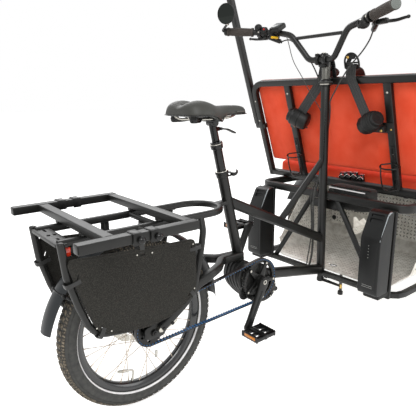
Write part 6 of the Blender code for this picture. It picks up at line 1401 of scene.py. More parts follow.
def collar_and_post():
    """Seat clamp, its cam lever, the shiny outer post and the dropper inside it."""
    top = up_seat_tube(0.6905)
    collar = lathe("clamp_ring", mm((18.3, -4), (21.6, -4), (22.4, -2), (22.4, 3.4), (21.4, 5.2), (16.2, 5.4),
                                    (16.2, 0.2), (18.3, 0.2)), top - SEAT_AXIS * 6 * MM, 40, SEAT_AXIS)
    rim = lathe("clamp_lip", mm((16.2, 5.3), (21.0, 5.3), (20.4, 6.6), (16.4, 6.6)), top - SEAT_AXIS * 6 * MM,
                40, SEAT_AXIS)
    dress(collar, BLACK_ALLOY, "frame", (), 35)
    dress(rim, STEEL, "frame", (), 35)
    cam = Vector((0.3511, -0.019, 0.6784))
    lever = tube("cam_lever",
                 soft_route([cam + Vector(mm(0, -4, 0)), cam + Vector(mm(6, -9, 1)),
                             cam + Vector(mm(12, -9, 6)), cam + Vector(mm(17, -4, 12))], 5),
                 box_section(11 * MM, 4 * MM, 1.8 * MM, 3), normal=(0, 1, 0), scale=lambda t: 1.1 - 0.35 * t)
    barrel = shaft("cam_barrel", cam + Vector(mm(0, 4, 0)), cam + Vector(mm(0, -9, 0)), 6.2 * MM, 20, 1 * MM)
    ears = [block("clamp_ear", (0.3378, -0.0116, z), mm(22, 9, 5), 1.6 * MM,
                  Matrix.Rotation(math.atan2(-0.019, 0.027), 4, "Z")) for z in (0.6735, 0.6845)]
    dress(joined("clamp_ears", *ears), BLACK_ALLOY, "frame")
    dress(joined("cam_lever", lever, barrel), BLACK_ALLOY, "seat_clamp", ("seat_clamp",))
    nut = shaft("cam_nut", cam + Vector(mm(0, 30, 0)), cam + Vector(mm(0, 40, 0)), 6 * MM, 16, 1 * MM)
    dress(nut, STEEL, "frame")

    foot = Vector((0.3701, 0, 0.4939))
    head = Vector((0.2975, 0, 0.785))
    reach = (head - foot).length
    post = lathe("outer_post", [(13 * MM, 0), mm(15.2, 1), (15.2 * MM, reach - 25 * MM),
                                (18.6 * MM, reach - 23.4 * MM), (20.2 * MM, reach - 21 * MM),
                                (20.4 * MM, reach - 9 * MM), (19.4 * MM, reach - 6.6 * MM),
                                (19.4 * MM, reach - 3 * MM), (17.8 * MM, reach), (12.8 * MM, reach),
                                (12.8 * MM, reach - 30 * MM), (13 * MM, reach - 34 * MM)], foot, 48,
                 SEAT_AXIS)
    dress(post, GLOSS_BLACK, "seat_post", ("seat_post",), 35)
    ring = lathe("collar_ring", [(19.6 * MM, reach - 8.2 * MM), (20.9 * MM, reach - 7.8 * MM),
                                 (20.9 * MM, reach - 5.8 * MM), (19.4 * MM, reach - 5.4 * MM)], foot, 48,
                 SEAT_AXIS)
    dress(ring, STEEL, "seat_post", (), 35)
    finished_copy("dropper_post", 0.8 * MM, material=GLOSS_BLACK)
    finished_copy("dropper_lever", 0.8 * MM)


def motor_case():
    """Mid motor: a ribbed magnesium drum under the bottom rail with a smooth snout ahead of the crank."""
    outline = rounded_outline([(0.400, 0.370), (0.374, 0.3524), (0.362, 0.3159), (0.376, 0.2775),
                               (0.412, 0.236), (0.447, 0.207), (0.487, 0.1939), (0.520, 0.197),
                               (0.548, 0.214), (0.556, 0.243), (0.550, 0.268), (0.530, 0.290), (0.470, 0.318),
                               (0.440, 0.334), (0.425, 0.362)], 16 * MM, 5)
    shell = slab("motor_case", outline, -42 * MM, 44 * MM, 7 * MM, segments=4)
    parts = [shell]
    for y in mm(-26, -10, 6, 22):
        inner = [(0.460 + (u - 0.460) * 1.03, 0.2832 + (v - 0.2832) * 1.03) for u, v in outline]
        parts.append(slab("rib", inner, y, y + 4 * MM, 1.2 * MM, segments=2))
    parts.append(shaft("snout", (0.5878, -0.012, 0.2085), (0.5878, 0.010, 0.2085), 9 * MM, 24, 3 * MM))
    parts.append(shaft("snout_neck", (0.548, 0, 0.214), (0.586, 0, 0.209), 6 * MM, 16))
    for x, z in CASE_SCREWS:
        parts.append(shaft("boss", (x, -0.0455, z), (x, -0.036, z), 6 * MM, 16, 1.2 * MM))
    dress(joined("motor_case", *parts), MOTOR_CASE, "frame", ("motor_unit",))
    for x, z in CASE_SCREWS:
        dress(shaft("case_screw", (x, -0.0475, z), (x, -0.044, z), 3.2 * MM, 6), STEEL, "frame")


yoke()
seat_mast()
collar_and_post()
motor_case()


# The saddle: its padded top, shell, rails and bumpers

SADDLE_LINE = ((0.1480, 0.046, 0.888, 0.003), (0.1525, 0.068, 0.899, 0.008), (0.163, 0.084, 0.908, 0.013),
               (0.183, 0.093, 0.9145, 0.016), (0.208, 0.094, 0.9145, 0.016), (0.234, 0.088, 0.909, 0.012),
               (0.262, 0.073, 0.900, 0.007), (0.290, 0.052, 0.8955, 0.003), (0.320, 0.038, 0.896, 0.001),
               (0.358, 0.032, 0.8965, 0.0), (0.388, 0.028, 0.8945, 0.0), (0.405, 0.023, 0.890, 0.0),
               (0.4135, 0.013, 0.882, 0.0))


def skirt_drop(x):
    """How far the pad's rim hangs below the shell: deepest at the flanks, just ahead of the lobes."""
    return 0.004 + 0.019 * math.exp(-((x - 0.262) / 0.026) ** 2)


def saddle_top():
    """Two broad rear lobes with a valley between them, and a nose that narrows and droops forward."""
    rings = []
    for x, half, top, valley in SADDLE_LINE:
        base = 0.868 if x < 0.26 else 0.866
        skirt = 0.872 - skirt_drop(x)
        ring = []
        for step in range(13):
            t = -1 + step / 6
            fall = (1 - abs(t) ** 3.2) ** 0.5 if abs(t) < 1 else 0.0
            z = skirt + (top - skirt) * fall - valley * math.exp(-(t * half / 0.022) ** 2)
            ring.append(Vector((x, t * half, z)))
        for t in (0.93, 0.5, 0.0, -0.5, -0.93):
            ring.append(Vector((x, t * half * 0.92, skirt - 0.002 if abs(t) > 0.9 else base)))
        rings.append(ring)
    cover = skin("saddle_cover", rings)
    apply(cover, "SUBSURF", levels=3, render_levels=3)
    for vertex in cover.data.vertices:
        x, y, z = vertex.co
        if z > 0.885 and abs(y) < 0.012 and 0.17 < x < 0.37:
            vertex.co.z -= 0.0022 * math.cos(y / 0.012 * math.pi / 2) ** 2
    dress(cover, VINYL, "dropper", ("saddle",), 70)
    welt = [Vector((x, half * 0.985, 0.873 - skirt_drop(x))) for x, half, top, valley in SADDLE_LINE]
    loop = welt + [Vector((p.x, -p.y, p.z)) for p in reversed(welt)]
    piping = tube("saddle_piping", soft_route(loop + loop[:1], 4)[:-1], round_section(1.5 * MM, 8),
                  closed=True)
    dress(piping, GLOSS_BLACK, "dropper", (), 60)


def saddle_parts():
    """Shell under the pad, bent steel rails, the clamp's yoke and two rubber springs."""
    shell = slab("saddle_shell",
                 rounded_outline([(0.156, -0.062), (0.156, 0.062), (0.182, 0.084), (0.225, 0.082),
                                  (0.290, 0.040), (0.395, 0.018), (0.395, -0.018), (0.290, -0.040),
                                  (0.225, -0.082), (0.182, -0.084)], 14 * MM), 0.8655, 0.872, 2 * MM,
                 plane="xy")
    rails = []
    for side in (-1, 1):
        rails.append(tube("rail",
                          soft_route([(0.165, side * 0.034, 0.868), (0.180, side * 0.030, 0.858),
                                      (0.215, side * 0.022, 0.8565), (0.300, side * 0.022, 0.8565),
                                      (0.345, side * 0.018, 0.861), (0.375, side * 0.008, 0.869)], 5),
                          round_section(3.5 * MM, 12)))
    dress(joined("saddle_rails", *rails), STEEL, "dropper", (), 50)
    springs = []
    for side in (-1, 1):
        springs.append(lathe("spring", mm((0, 0), (9, 0), (12.5, 4), (13.5, 12), (11.5, 17), (13, 22),
                                          (0, 22)), (0.176, side * 0.048, 0.8475), 24, (0, 0, 1),
                             closed=False))
        springs.append(tube("spring_arm",
                            soft_route([(0.176, side * 0.048, 0.851), (0.200, side * 0.043, 0.8515),
                                        (0.222, side * 0.022, 0.8565)], 4), round_section(4 * MM, 10)))
    clamp = block("rail_clamp", (0.279, 0, 0.8565), mm(30, 52, 10), 3 * MM)
    bolts = [shaft("clamp_bolt", (x, 0, 0.8485), (x, 0, 0.866), 4.2 * MM, 12, 0.6 * MM)
             for x in (0.262, 0.302)]
    dress(joined("saddle_underside", shell, clamp, *springs, *bolts), BLACK_ALLOY, "dropper")
    bars = []
    for side in (-1, 1):
        bars.append(tube("side_bar",
                         soft_route([(0.355, side * 0.0335, 0.8765), (0.378, side * 0.030, 0.8765),
                                     (0.397, side * 0.025, 0.876)], 3),
                         box_section(2 * MM, 3.4 * MM, 0.8 * MM, 2), normal=(0, 0, 1)))
    bars.append(tube("rear_bar", [(0.1510, -0.018, 0.880), (0.1498, 0, 0.880), (0.1510, 0.018, 0.880)],
                     box_section(2 * MM, 4 * MM, 0.8 * MM, 2), normal=(0, 0, 1)))
    dress(joined("saddle_bars", *bars), PALE_BUMPER, "dropper")


saddle_top()
saddle_parts()


# Bench: cushions, belts with their reels, buckles, bottle cages and bolts

LEAN = math.radians(19.2)
BACK_UP = Vector((-math.sin(LEAN), 0, math.cos(LEAN)))
BACK_OUT = Vector((math.cos(LEAN), 0, math.sin(LEAN)))
BACK_FOOT = Vector((1.0215, 0, 0.5662))
BAR_Y = 228.5 * MM


def on_back(across, up, out):
    """A place on the leaning back: across it, up it, and out of it towards the riders."""
    return BACK_FOOT + Vector((0, across, 0)) + BACK_UP * up + BACK_OUT * out


BACK_TURN = turned(Vector((0, 1, 0)), BACK_UP, BACK_OUT)


def plumped(piece, limit, steps=20):
    """Fills the cover like a cushion under pressure. Limit caps each point's way from the unfilled shape."""
    apply(piece, "REMESH", mode="VOXEL", voxel_size=6.5 * MM)
    rest = [v.co.copy() for v in piece.data.vertices]
    alone(piece)
    filling = piece.modifiers.new("filling", "CLOTH")
    filling.settings.quality = 4
    filling.settings.mass = 0.35
    filling.settings.tension_stiffness = 12
    filling.settings.compression_stiffness = 12
    filling.settings.bending_stiffness = 0.6
    filling.settings.use_pressure = True
    filling.settings.uniform_pressure_force = 4
    filling.settings.effector_weights.gravity = 0
    filling.point_cache.frame_start, filling.point_cache.frame_end = 1, steps
    for frame_number in range(1, steps + 1):
        bpy.context.scene.frame_set(frame_number)
    graph = bpy.context.evaluated_depsgraph_get()
    filled = [v.co.copy() for v in piece.evaluated_get(graph).data.vertices]
    piece.modifiers.remove(filling)
    bpy.context.scene.frame_set(1)
    for vertex, start, end in zip(piece.data.vertices, rest, filled):
        vertex.co = start + limit(start, end - start)
    return piece


def sewn(piece, channels, thick):
    """Presses stitched channels into the filled cover."""
    for vertex in piece.data.vertices:
        u, v, h = vertex.co
        if h > thick * 0.6:
            for line in channels:
                vertex.co.z -= 4.5 * MM * math.exp(-((u - line) / (5 * MM)) ** 2)
    return piece


def cover(name, half, low, high, thick, limit, channels, place, replaces, inset=5 * MM):
    """One cushion: a rounded slab that is filled, subdivided, sewn and put in its place."""
    outline = rounded_outline([(-half + inset, low), (half - inset, low)], 0)
    outline += rounded_outline([(half - inset, low + 0.1), (half - inset, high), (-half + inset, high),
                                (-half + inset, low + 0.1)], 34 * MM, 6)[7:21]
    piece = slab(name, outline, 1.5 * MM, thick - 8 * MM, 9 * MM, plane="xy", segments=3)
    plumped(piece, limit)
    apply(piece, "SMOOTH", factor=0.5, iterations=4)
    apply(piece, "SUBSURF", levels=1, render_levels=1)
    sewn(piece, channels, thick)
    piece.data.transform(place)
    dress(piece, CANVAS, "frame", replaces, 80)
    return piece


def capped(way, reach):
    """A move that is no longer than its reach."""
    return way * (reach / way.length) if way.length > reach else way


def back_limit(start, way):
    """The back cushion lies on its bars, and bellies between them and towards the riders."""
    way = capped(way, 0.024)
    if start.z < 8 * MM:
        near = min(abs(abs(start.x) - BAR_Y), abs(0.400 - abs(start.x)), abs(0.436 - start.y))
        room = 0.5 * MM if near < 24 * MM else min(6 * MM, 0.5 * MM + (near - 24 * MM) * 0.12)
        way.z = max(way.z, -room)
    way.x = max(-4 * MM, min(4 * MM, way.x))
    way.y = max(-6 * MM, min(5 * MM, way.y))
    way.z = min(way.z, 20 * MM)
    return way


def seat_limit(start, way):
    """The seat cushion is flat on its pan and crowned on top."""
    way = capped(way, 0.026)
    if start.z < 8 * MM:
        way.z = max(way.z, 0.0)
    way.x = max(-4 * MM, min(4 * MM, way.x))
    way.y = max(-3 * MM, min(6 * MM, way.y))
    way.z = min(way.z, 22 * MM)
    return way


cover("back_cushion_cover", 0.4340, 0.054, 0.4515, 34 * MM, back_limit, (-0.14, 0.14),
      Matrix.Translation(BACK_FOOT + BACK_OUT * 12.8 * MM) @ BACK_TURN, ("back_cushion",))
SEAT_TURN = turned(Vector((0, 1, 0)), Vector((-1, 0, 0)), Vector((0, 0, 1)))
cover("seat_cushion_cover", 0.430, -1.432, -1.060, 66 * MM, seat_limit, (-0.14, 0.14),
      Matrix.Translation(Vector((0, 0, 0.5566))) @ SEAT_TURN, ("seat_cushion",))


def back_frame():
    """Square tube ring with rounded upper corners, two flat inner bars and the canopy's sockets."""
    half, high = 427.5 * MM, 437.5 * MM
    arch = [on_back(-half, -12.5 * MM, 0), on_back(-half, high, 0), on_back(half, high, 0),
            on_back(half, -12.5 * MM, 0)]
    square = box_section(25 * MM, 25 * MM, 4 * MM, 3)
    parts = [tube("ring", rounded_route(arch, 60 * MM, 8), square, normal=BACK_OUT),
             tube("ring_foot", [on_back(-half, 0, 0), on_back(half, 0, 0)], square, normal=BACK_OUT)]
    for side in (-1, 1):
        parts.append(tube("inner_bar", [on_back(side * BAR_Y, 2 * MM, 0),
                                        on_back(side * BAR_Y, high - 2 * MM, 0)],
                          box_section(30 * MM, 20 * MM, 3.5 * MM, 3), normal=BACK_OUT))
        for share in (13 * MM, high - 13 * MM):
            parts.append(tube("weld", [on_back(side * BAR_Y - 15 * MM, share, 8 * MM),
                                       on_back(side * BAR_Y + 15 * MM, share, 8 * MM)],
                              round_section(2.4 * MM, 8)))
        parts.append(block("socket", on_back(side * 435.5 * MM, 0.2367, 0), mm(60, 22, 20), 4 * MM,
                           BACK_TURN))
    dress(joined("back_frame_ring", *parts), PAINT, "frame", ("back_frame",))


back_frame()


def domed_bolt(place, out, size=4.6 * MM):
    """A stainless button-head screw with its socket."""
    return lathe("screw", [(0, -1 * MM), (size, -1 * MM), (size, 0.6 * MM), (size * 0.75, 2 * MM),
                           (size * 0.45, 2.5 * MM), (size * 0.40, 1.3 * MM), (0, 1.1 * MM)], place, 16, out,
                 closed=False)


def bench_bolts():
    """Screws that hold the back's bars, the cages and the canopy sockets."""
    rear = -BACK_OUT
    screws = []
    for side in (-1, 1):
        for up in (0.392, 0.1545, 0.120, 0.0625):
            screws.append(domed_bolt(on_back(side * BAR_Y, up, -10.4 * MM), rear))
        for up in (0.3587, 0.2652):
            screws.append(domed_bolt(on_back(side * 0.4275, up, -12.9 * MM), rear, 4 * MM))
    dress(joined("bench_screws", *screws), STEEL, "frame", (), 50)


STRAP_SECTION = mm((-23, -1.1), (23, -1.1), (23, 1.1), (14.2, 1.1), (13.2, 2.0), (11.6, 2.0), (10.6, 1.1),
                   (2.0, 1.1), (1.0, 2.0), (-1.0, 2.0), (-2.0, 1.1), (-10.6, 1.1), (-11.6, 2.0), (-13.2, 2.0),
                   (-14.2, 1.1), (-23, 1.1))


def ribbon(name, places, normals, width=40 * MM, thick=2.2 * MM, ribs=True):
    """Flat webbing along places, with its face along the normals and three raised ribs on it."""
    rings = []
    if ribs:
        section = [(u * width / (46 * MM), v * thick / (2.2 * MM)) for u, v in STRAP_SECTION]
    else:
        section = [(-width / 2, -thick / 2), (width / 2, -thick / 2), (width / 2, thick / 2),
                   (-width / 2, thick / 2)]
    for k, (place, normal) in enumerate(zip(places, normals)):
        ahead = (places[min(k + 1, len(places) - 1)] - places[max(k - 1, 0)]).normalized()
        up = (normal - ahead * normal.dot(ahead)).normalized()
        side = ahead.cross(up)
        rings.append([place + side * u + up * v for u, v in section])
    return skin(name, rings)


def belt_reel(side):
    """Inertia reel on its bracket, webbing over the top bar through a D-ring guide, tongue on the cushion."""
    name = SIDE_NAME[side]
    centre = on_back(side * (0.176 if side < 0 else 0.153), 0.296 if side < 0 else 0.300, -0.0505)
    axis = (Vector((0, side * 0.84, 0)) + BACK_UP * 0.485 - BACK_OUT * 0.25).normalized()
    drum = lathe("drum", mm((0, -42), (24, -42), (33, -37), (36.5, -28), (36.5, 20), (34, 24), (34.6, 29),
                            (31, 35), (27, 36), (26.4, 46), (23.5, 49), (12, 49), (11, 47.6), (0, 47.6)),
                 centre, 12, axis, closed=False)
    seam = lathe("drum_seam", mm((36, -3), (37.6, -2), (37.6, 2), (36, 3)), centre, 40, axis)
    top = (BACK_UP * 0.86 - Vector((0, side * 0.50, 0)))
    throat_turn = turned(axis, axis.cross(top).normalized(), top - axis * top.dot(axis))
    throat = block("throat", centre + top * 18 * MM, mm(50, 34, 30), 6 * MM, throat_turn)
    low, high = sorted((side * 0.150, side * 0.243))
    plate = block("reel_plate", on_back((low + high) / 2, 0.262, -12.2 * MM), (high - low, 40 * MM, 2.8 * MM),
                  1 * MM, BACK_TURN)
    tab = block("reel_tab", on_back(side * 0.205, 0.262, -22 * MM), mm(22, 26, 18), 3 * MM, BACK_TURN)
    dress(joined("belt_reel_" + name, drum, seam, throat), PLASTIC, "frame", ("belt_" + name,), 35)
    dress(joined("reel_bracket_" + name, plate, tab), PAINT, "frame", (), 35)
    gold = [domed_bolt(on_back(side * 0.203, 0.2574, -31 * MM), -BACK_OUT, 5.2 * MM),
            domed_bolt(on_back(side * 0.232, 0.2560, -13.4 * MM), -BACK_OUT, 4 * MM)]
    dress(joined("reel_screws_" + name, *gold), GOLD, "frame", (), 50)

    over = 0.0975 if side < 0 else 0.040
    guide = 0.092 if side < 0 else 0.012
    exit_place = centre + top * 24 * MM
    route = [exit_place, on_back(side * over, 0.440, -17 * MM),
             on_back(side * (over * 0.6 + guide * 0.4), 0.460, -16.6 * MM),
             on_back(side * (over + guide) / 2, 0.490, -3 * MM)]
    route = rounded_route(route, 22 * MM, 5)
    rear_run = ribbon("webbing_rear", route, [-BACK_OUT] * len(route))
    front = soft_route([on_back(side * guide, 0.490, 0), on_back(side * guide, 0.492, 8 * MM),
                        on_back(side * (guide + 0.001), 0.477, 20 * MM),
                        on_back(side * (guide + 0.002), 0.460, 40 * MM),
                        on_back(side * 0.084, 0.415, 64 * MM), on_back(side * 0.094, 0.320, 72 * MM),
                        on_back(side * 0.110, 0.190, 70 * MM)], 5)
    front_run = ribbon("webbing_front", front, [BACK_OUT + BACK_UP * 0.6] * len(front))
    dress(joined("webbing_" + name, rear_run, front_run), WEBBING, "frame")
    ring = [on_back(side * guide + u, v - 4 * MM, 5 * MM)
            for u, v in ((-0.026, 0.484), (-0.029, 0.494), (-0.027, 0.516), (-0.016, 0.532), (0, 0.537),
                         (0.016, 0.532), (0.027, 0.516), (0.029, 0.494), (0.026, 0.484), (0, 0.4805))]
    loop = tube("guide_ring", soft_route(ring + ring[:1], 3)[:-1], round_section(3.6 * MM, 12), closed=True)
    bar_across = shaft("guide_bar", on_back(side * guide - 0.027, 0.499, 5 * MM),
                       on_back(side * guide + 0.027, 0.499, 5 * MM), 3 * MM, 12)
    head = slab("guide_head",
                rounded_outline([(side * guide - 0.018, 0.512), (side * guide + 0.018, 0.512),
                                 (side * guide + 0.013, 0.533), (side * guide - 0.013, 0.533)], 6 * MM),
                2 * MM, 8 * MM, 1.2 * MM, plane="xy")
    head.data.transform(Matrix.Translation(BACK_FOOT) @ BACK_TURN)
    stalk = tube("guide_stalk",
                 rounded_route([on_back(side * (guide - 0.020), 0.445, 8 * MM),
                                on_back(side * (guide - 0.020), 0.496, 10 * MM),
                                on_back(side * (guide - 0.004), 0.520, 9 * MM)], 12 * MM, 4),
                 box_section(16 * MM, 4 * MM, 1.2 * MM, 2), normal=BACK_OUT)
    dress(joined("belt_guide_" + name, loop, bar_across, head, stalk), PLASTIC, "frame")
    dress(domed_bolt(on_back(side * (guide - 0.012), 0.520, 1.6 * MM), -BACK_OUT, 6 * MM), GOLD, "frame",
          (), 50)
    tongue = tube("tongue", [on_back(side * 0.1085, 0.206, 71 * MM), on_back(side * 0.1105, 0.186, 70 * MM),
                             on_back(side * 0.112, 0.160, 68 * MM)], box_section(50 * MM, 7 * MM, 3 * MM, 3),
                  normal=BACK_OUT, scale=lambda t: 1.0 - 0.2 * t)
    dress(tongue, PLASTIC, "frame")
    blade = ribbon("tongue_blade", [on_back(side * 0.1115, 0.166, 69 * MM),
                                    on_back(side * 0.1135, 0.128, 67 * MM)], [BACK_OUT, BACK_OUT], 24 * MM,
                   2.4 * MM, False)
    dress(eased(blade, 0.6 * MM), CHROME, "frame")


def buckles():
    """Buckle stalks behind the seat cushion, each with a red button and a bright mouth."""
    black, red, bright = [], [], []
    for y, z in ((-0.054, 0.585), (-0.022, 0.591), (0.008, 0.589), (0.037, 0.584)):
        centre = Vector((1.0405, y, z))
        black.append(block("buckle", centre, mm(17, 27, 42), 4 * MM, Matrix.Rotation(y * 4.0, 4, "X")))
        black.append(block("buckle_foot", (1.0425, y, 0.560), mm(9, 25, 24), 3 * MM))
        red.append(block("button", centre + Vector(mm(-3, 0, 20.6)), mm(8, 16, 4), 1.6 * MM))
        red.append(block("button_back", centre + Vector(mm(-8.0, -4, 12)), mm(3, 11, 6), 1.2 * MM))
        bright.append(block("mouth", centre + Vector(mm(4.6, 0, 20.8)), mm(3.4, 20, 3), 0.8 * MM))
        bright.append(tube("latch_wire",
                           soft_route([centre + Vector(mm(-9, -14, 4)), centre + Vector(mm(-12, -4, 12)),
                                       centre + Vector(mm(-12, 6, 8)), centre + Vector(mm(-9, 15, 0))], 4),
                           round_section(1.5 * MM, 8)))
    dress(joined("buckles", *black), GLOSS_BLACK, "frame")
    dress(joined("buckle_buttons", *red), RED_BUTTON, "frame")
    dress(joined("buckle_mouths", *bright), CHROME, "frame")


def bottle_cage(side):
    """Bent wire cage: two upright loops that hold a bottle, on a strip screwed to the inner bar."""
    name = SIDE_NAME[side]
    strip = block("cage_strip", on_back(side * BAR_Y, 0.116, -11.8 * MM), mm(17, 150, 3), 1 * MM, BACK_TURN)
    cut(strip, block("keyhole", on_back(side * BAR_Y, 0.170, -11.8 * MM), mm(6, 26, 9), 2.6 * MM, BACK_TURN))
    wires = []
    rim = [on_back(side * BAR_Y - 6 * MM, 0.122, -14 * MM)]
    for step in range(15):
        angle = math.radians(-105 + 15 * step)
        rim.append(on_back(side * BAR_Y + 37 * MM * math.sin(angle), 0.122,
                           -38 * MM - 28 * MM * math.cos(angle)))
    rim.append(on_back(side * BAR_Y + 6 * MM, 0.122, -14 * MM))
    wires.append(tube("cage_rim", soft_route(rim, 2), round_section(2.8 * MM, 10)))
    for across in (-1, 1):
        foot = BAR_Y * side + across * 34 * MM
        wires.append(tube("cage_leg",
                          soft_route([on_back(foot, 0.122, -44 * MM), on_back(foot * 0.999, 0.080, -50 * MM),
                                      on_back(foot - across * 4 * MM, 0.034, -50 * MM),
                                      on_back(foot - across * 16 * MM, 0.022, -38 * MM),
                                      on_back(foot - across * 26 * MM, 0.026, -18 * MM),
                                      on_back(foot - across * 29 * MM, 0.050, -13 * MM)], 4),
                          round_section(2.8 * MM, 10)))
    wires.append(tube("cage_floor",
                      soft_route([on_back(BAR_Y * side - 30 * MM, 0.034, -50 * MM),
                                  on_back(BAR_Y * side, 0.030, -66 * MM),
                                  on_back(BAR_Y * side + 30 * MM, 0.034, -50 * MM)], 6),
                      round_section(2.8 * MM, 10)))
    dress(joined("cage_" + name + "_wire", strip, *wires), BLACK_ALLOY, "frame",
          ("cage_" + name,), 50)


bench_bolts()
for side_sign in (-1, 1):
    belt_reel(side_sign)
    bottle_cage(side_sign)
buckles()


# Passenger box: seat and floor loops, tread plate tub, tool bag and loom

FLOOR_Z = 214.6 * MM
BOX_REAR = 0.8735
PARTITION_X = 1.39
WALL_Y = 330 * MM
BEND_Y = 280 * MM
BEND_Z = 258 * MM
GROMMETS = ((0.3130, 0.341), (0.1842, 0.3565), (0.3130, 0.290))


def column_x(height):
    """How far ahead of the rear axle the steering column's centre is at a height over the ground."""
    return 0.872 - 0.04453 * (height - 0.21)


def seat_frame():
    """The square-tube loop that carries the bench, with its pressed pan."""
    rear, front, half, z, bend = BOX_REAR, 1.400, 0.3485, 0.535, 0.055
    corners = [(rear, 0, z), (rear, -half, z), (front, -half, z), (front, half, z), (rear, half, z),
               (rear, 0, z)]
    loop = tube("seat_frame", rounded_route(corners, bend, 7)[:-1], box_section(25 * MM, 30 * MM, 5 * MM, 4),
                normal=(0, 0, 1), closed=True)
    cut(loop, shaft("column_room", (rear - 0.0045, 0, 0.45), (rear - 0.0135, 0, 0.65), 17.6 * MM, 32))
    beads = [tube("bead", [(rear + 13 * MM, side * 18 * MM, 0.5215),
                           (rear + 13 * MM, side * 18 * MM, 0.5485)], round_section(2 * MM, 8))
             for side in (-1, 1)]
    pan = block("pan", (1.2325, 0, 0.5452), (0.395, 0.70, 0.0085), 3 * MM)
    ribs = [block("pan_rib", (1.2325, y, 0.5395), (0.38, 0.016, 0.006), 1.5 * MM)
            for y in (-0.25, -0.12, 0.12, 0.25)]
    dress(joined("seat_frame", loop, pan, *beads, *ribs), PAINT, "frame", ("seat_loop",))


def tread_places():
    """Where each lozenge of the tread plate stands: on the floor, both walls, the folds and the partition."""
    pitch = 17 * MM
    places = []

    def field(origin, across, along, wide, long, keep):
        """Alternating lozenges over one flat face."""
        normal = across.cross(along).normalized()
        for i in range(int(wide / pitch) + 1):
            for j in range(int(long / pitch) + 1):
                u, v = (i + 0.5) * pitch, (j + 0.5) * pitch
                spot = origin + across * u + along * v
                if u > wide or v > long or not keep(spot):
                    continue
                lean = math.radians(45 if (i + j) % 2 else -45)
                one = across * math.cos(lean) + along * math.sin(lean)
                two = normal.cross(one)
                places.append(Matrix.Translation(spot) @ turned(one, two, normal))

    def on_wall(p):
        """Ahead of the wall's sloped rear edge, under its top and under its lower front part."""
        return (p.z < 0.51 and p.x > 1.01 + (p.z - 0.268) * 0.76 and (p.x < 1.40 or p.z < 0.372)
                and (p.x < 1.44 or p.z < 0.366))

    x_way, y_way, z_way = Vector((1, 0, 0)), Vector((0, 1, 0)), Vector((0, 0, 1))
    field(Vector((0.895, -0.272, FLOOR_Z)), x_way, y_way, 0.995, 0.544,
          lambda p: p.x - 0.905 > max(0, abs(p.y) - 0.22) and abs(p.x - PARTITION_X) > 0.055)
    for side in (-1, 1):
        for out in (-1, 1):
            face = side * (WALL_Y - (0 if out > 0 else 2.2 * MM))
            way = (x_way, z_way) if side * out < 0 else (-x_way, z_way)
            start = Vector((0.98 if side * out < 0 else 1.87, face, 0.266))
            field(start, *way, 0.89, 0.250, on_wall)
    field(Vector((PARTITION_X - 0.2 * MM, 0.318, 0.268)), -y_way, z_way, 0.636, 0.245,
          lambda p: not (0.105 < p.y < 0.210 and p.z < 0.335))
    for side in (-1, 1):
        slope = Vector((0, side * (WALL_Y - BEND_Y), BEND_Z - FLOOR_Z)).normalized()
        start = Vector((0.96 if side < 0 else 1.36, side * (BEND_Y + 2 * MM), FLOOR_Z + 3.2 * MM))
        field(start, x_way if side < 0 else -x_way, slope, 0.40, 0.05,
              lambda p: p.x > 0.955 + (p.z - FLOOR_Z) * 1.0)
    return places


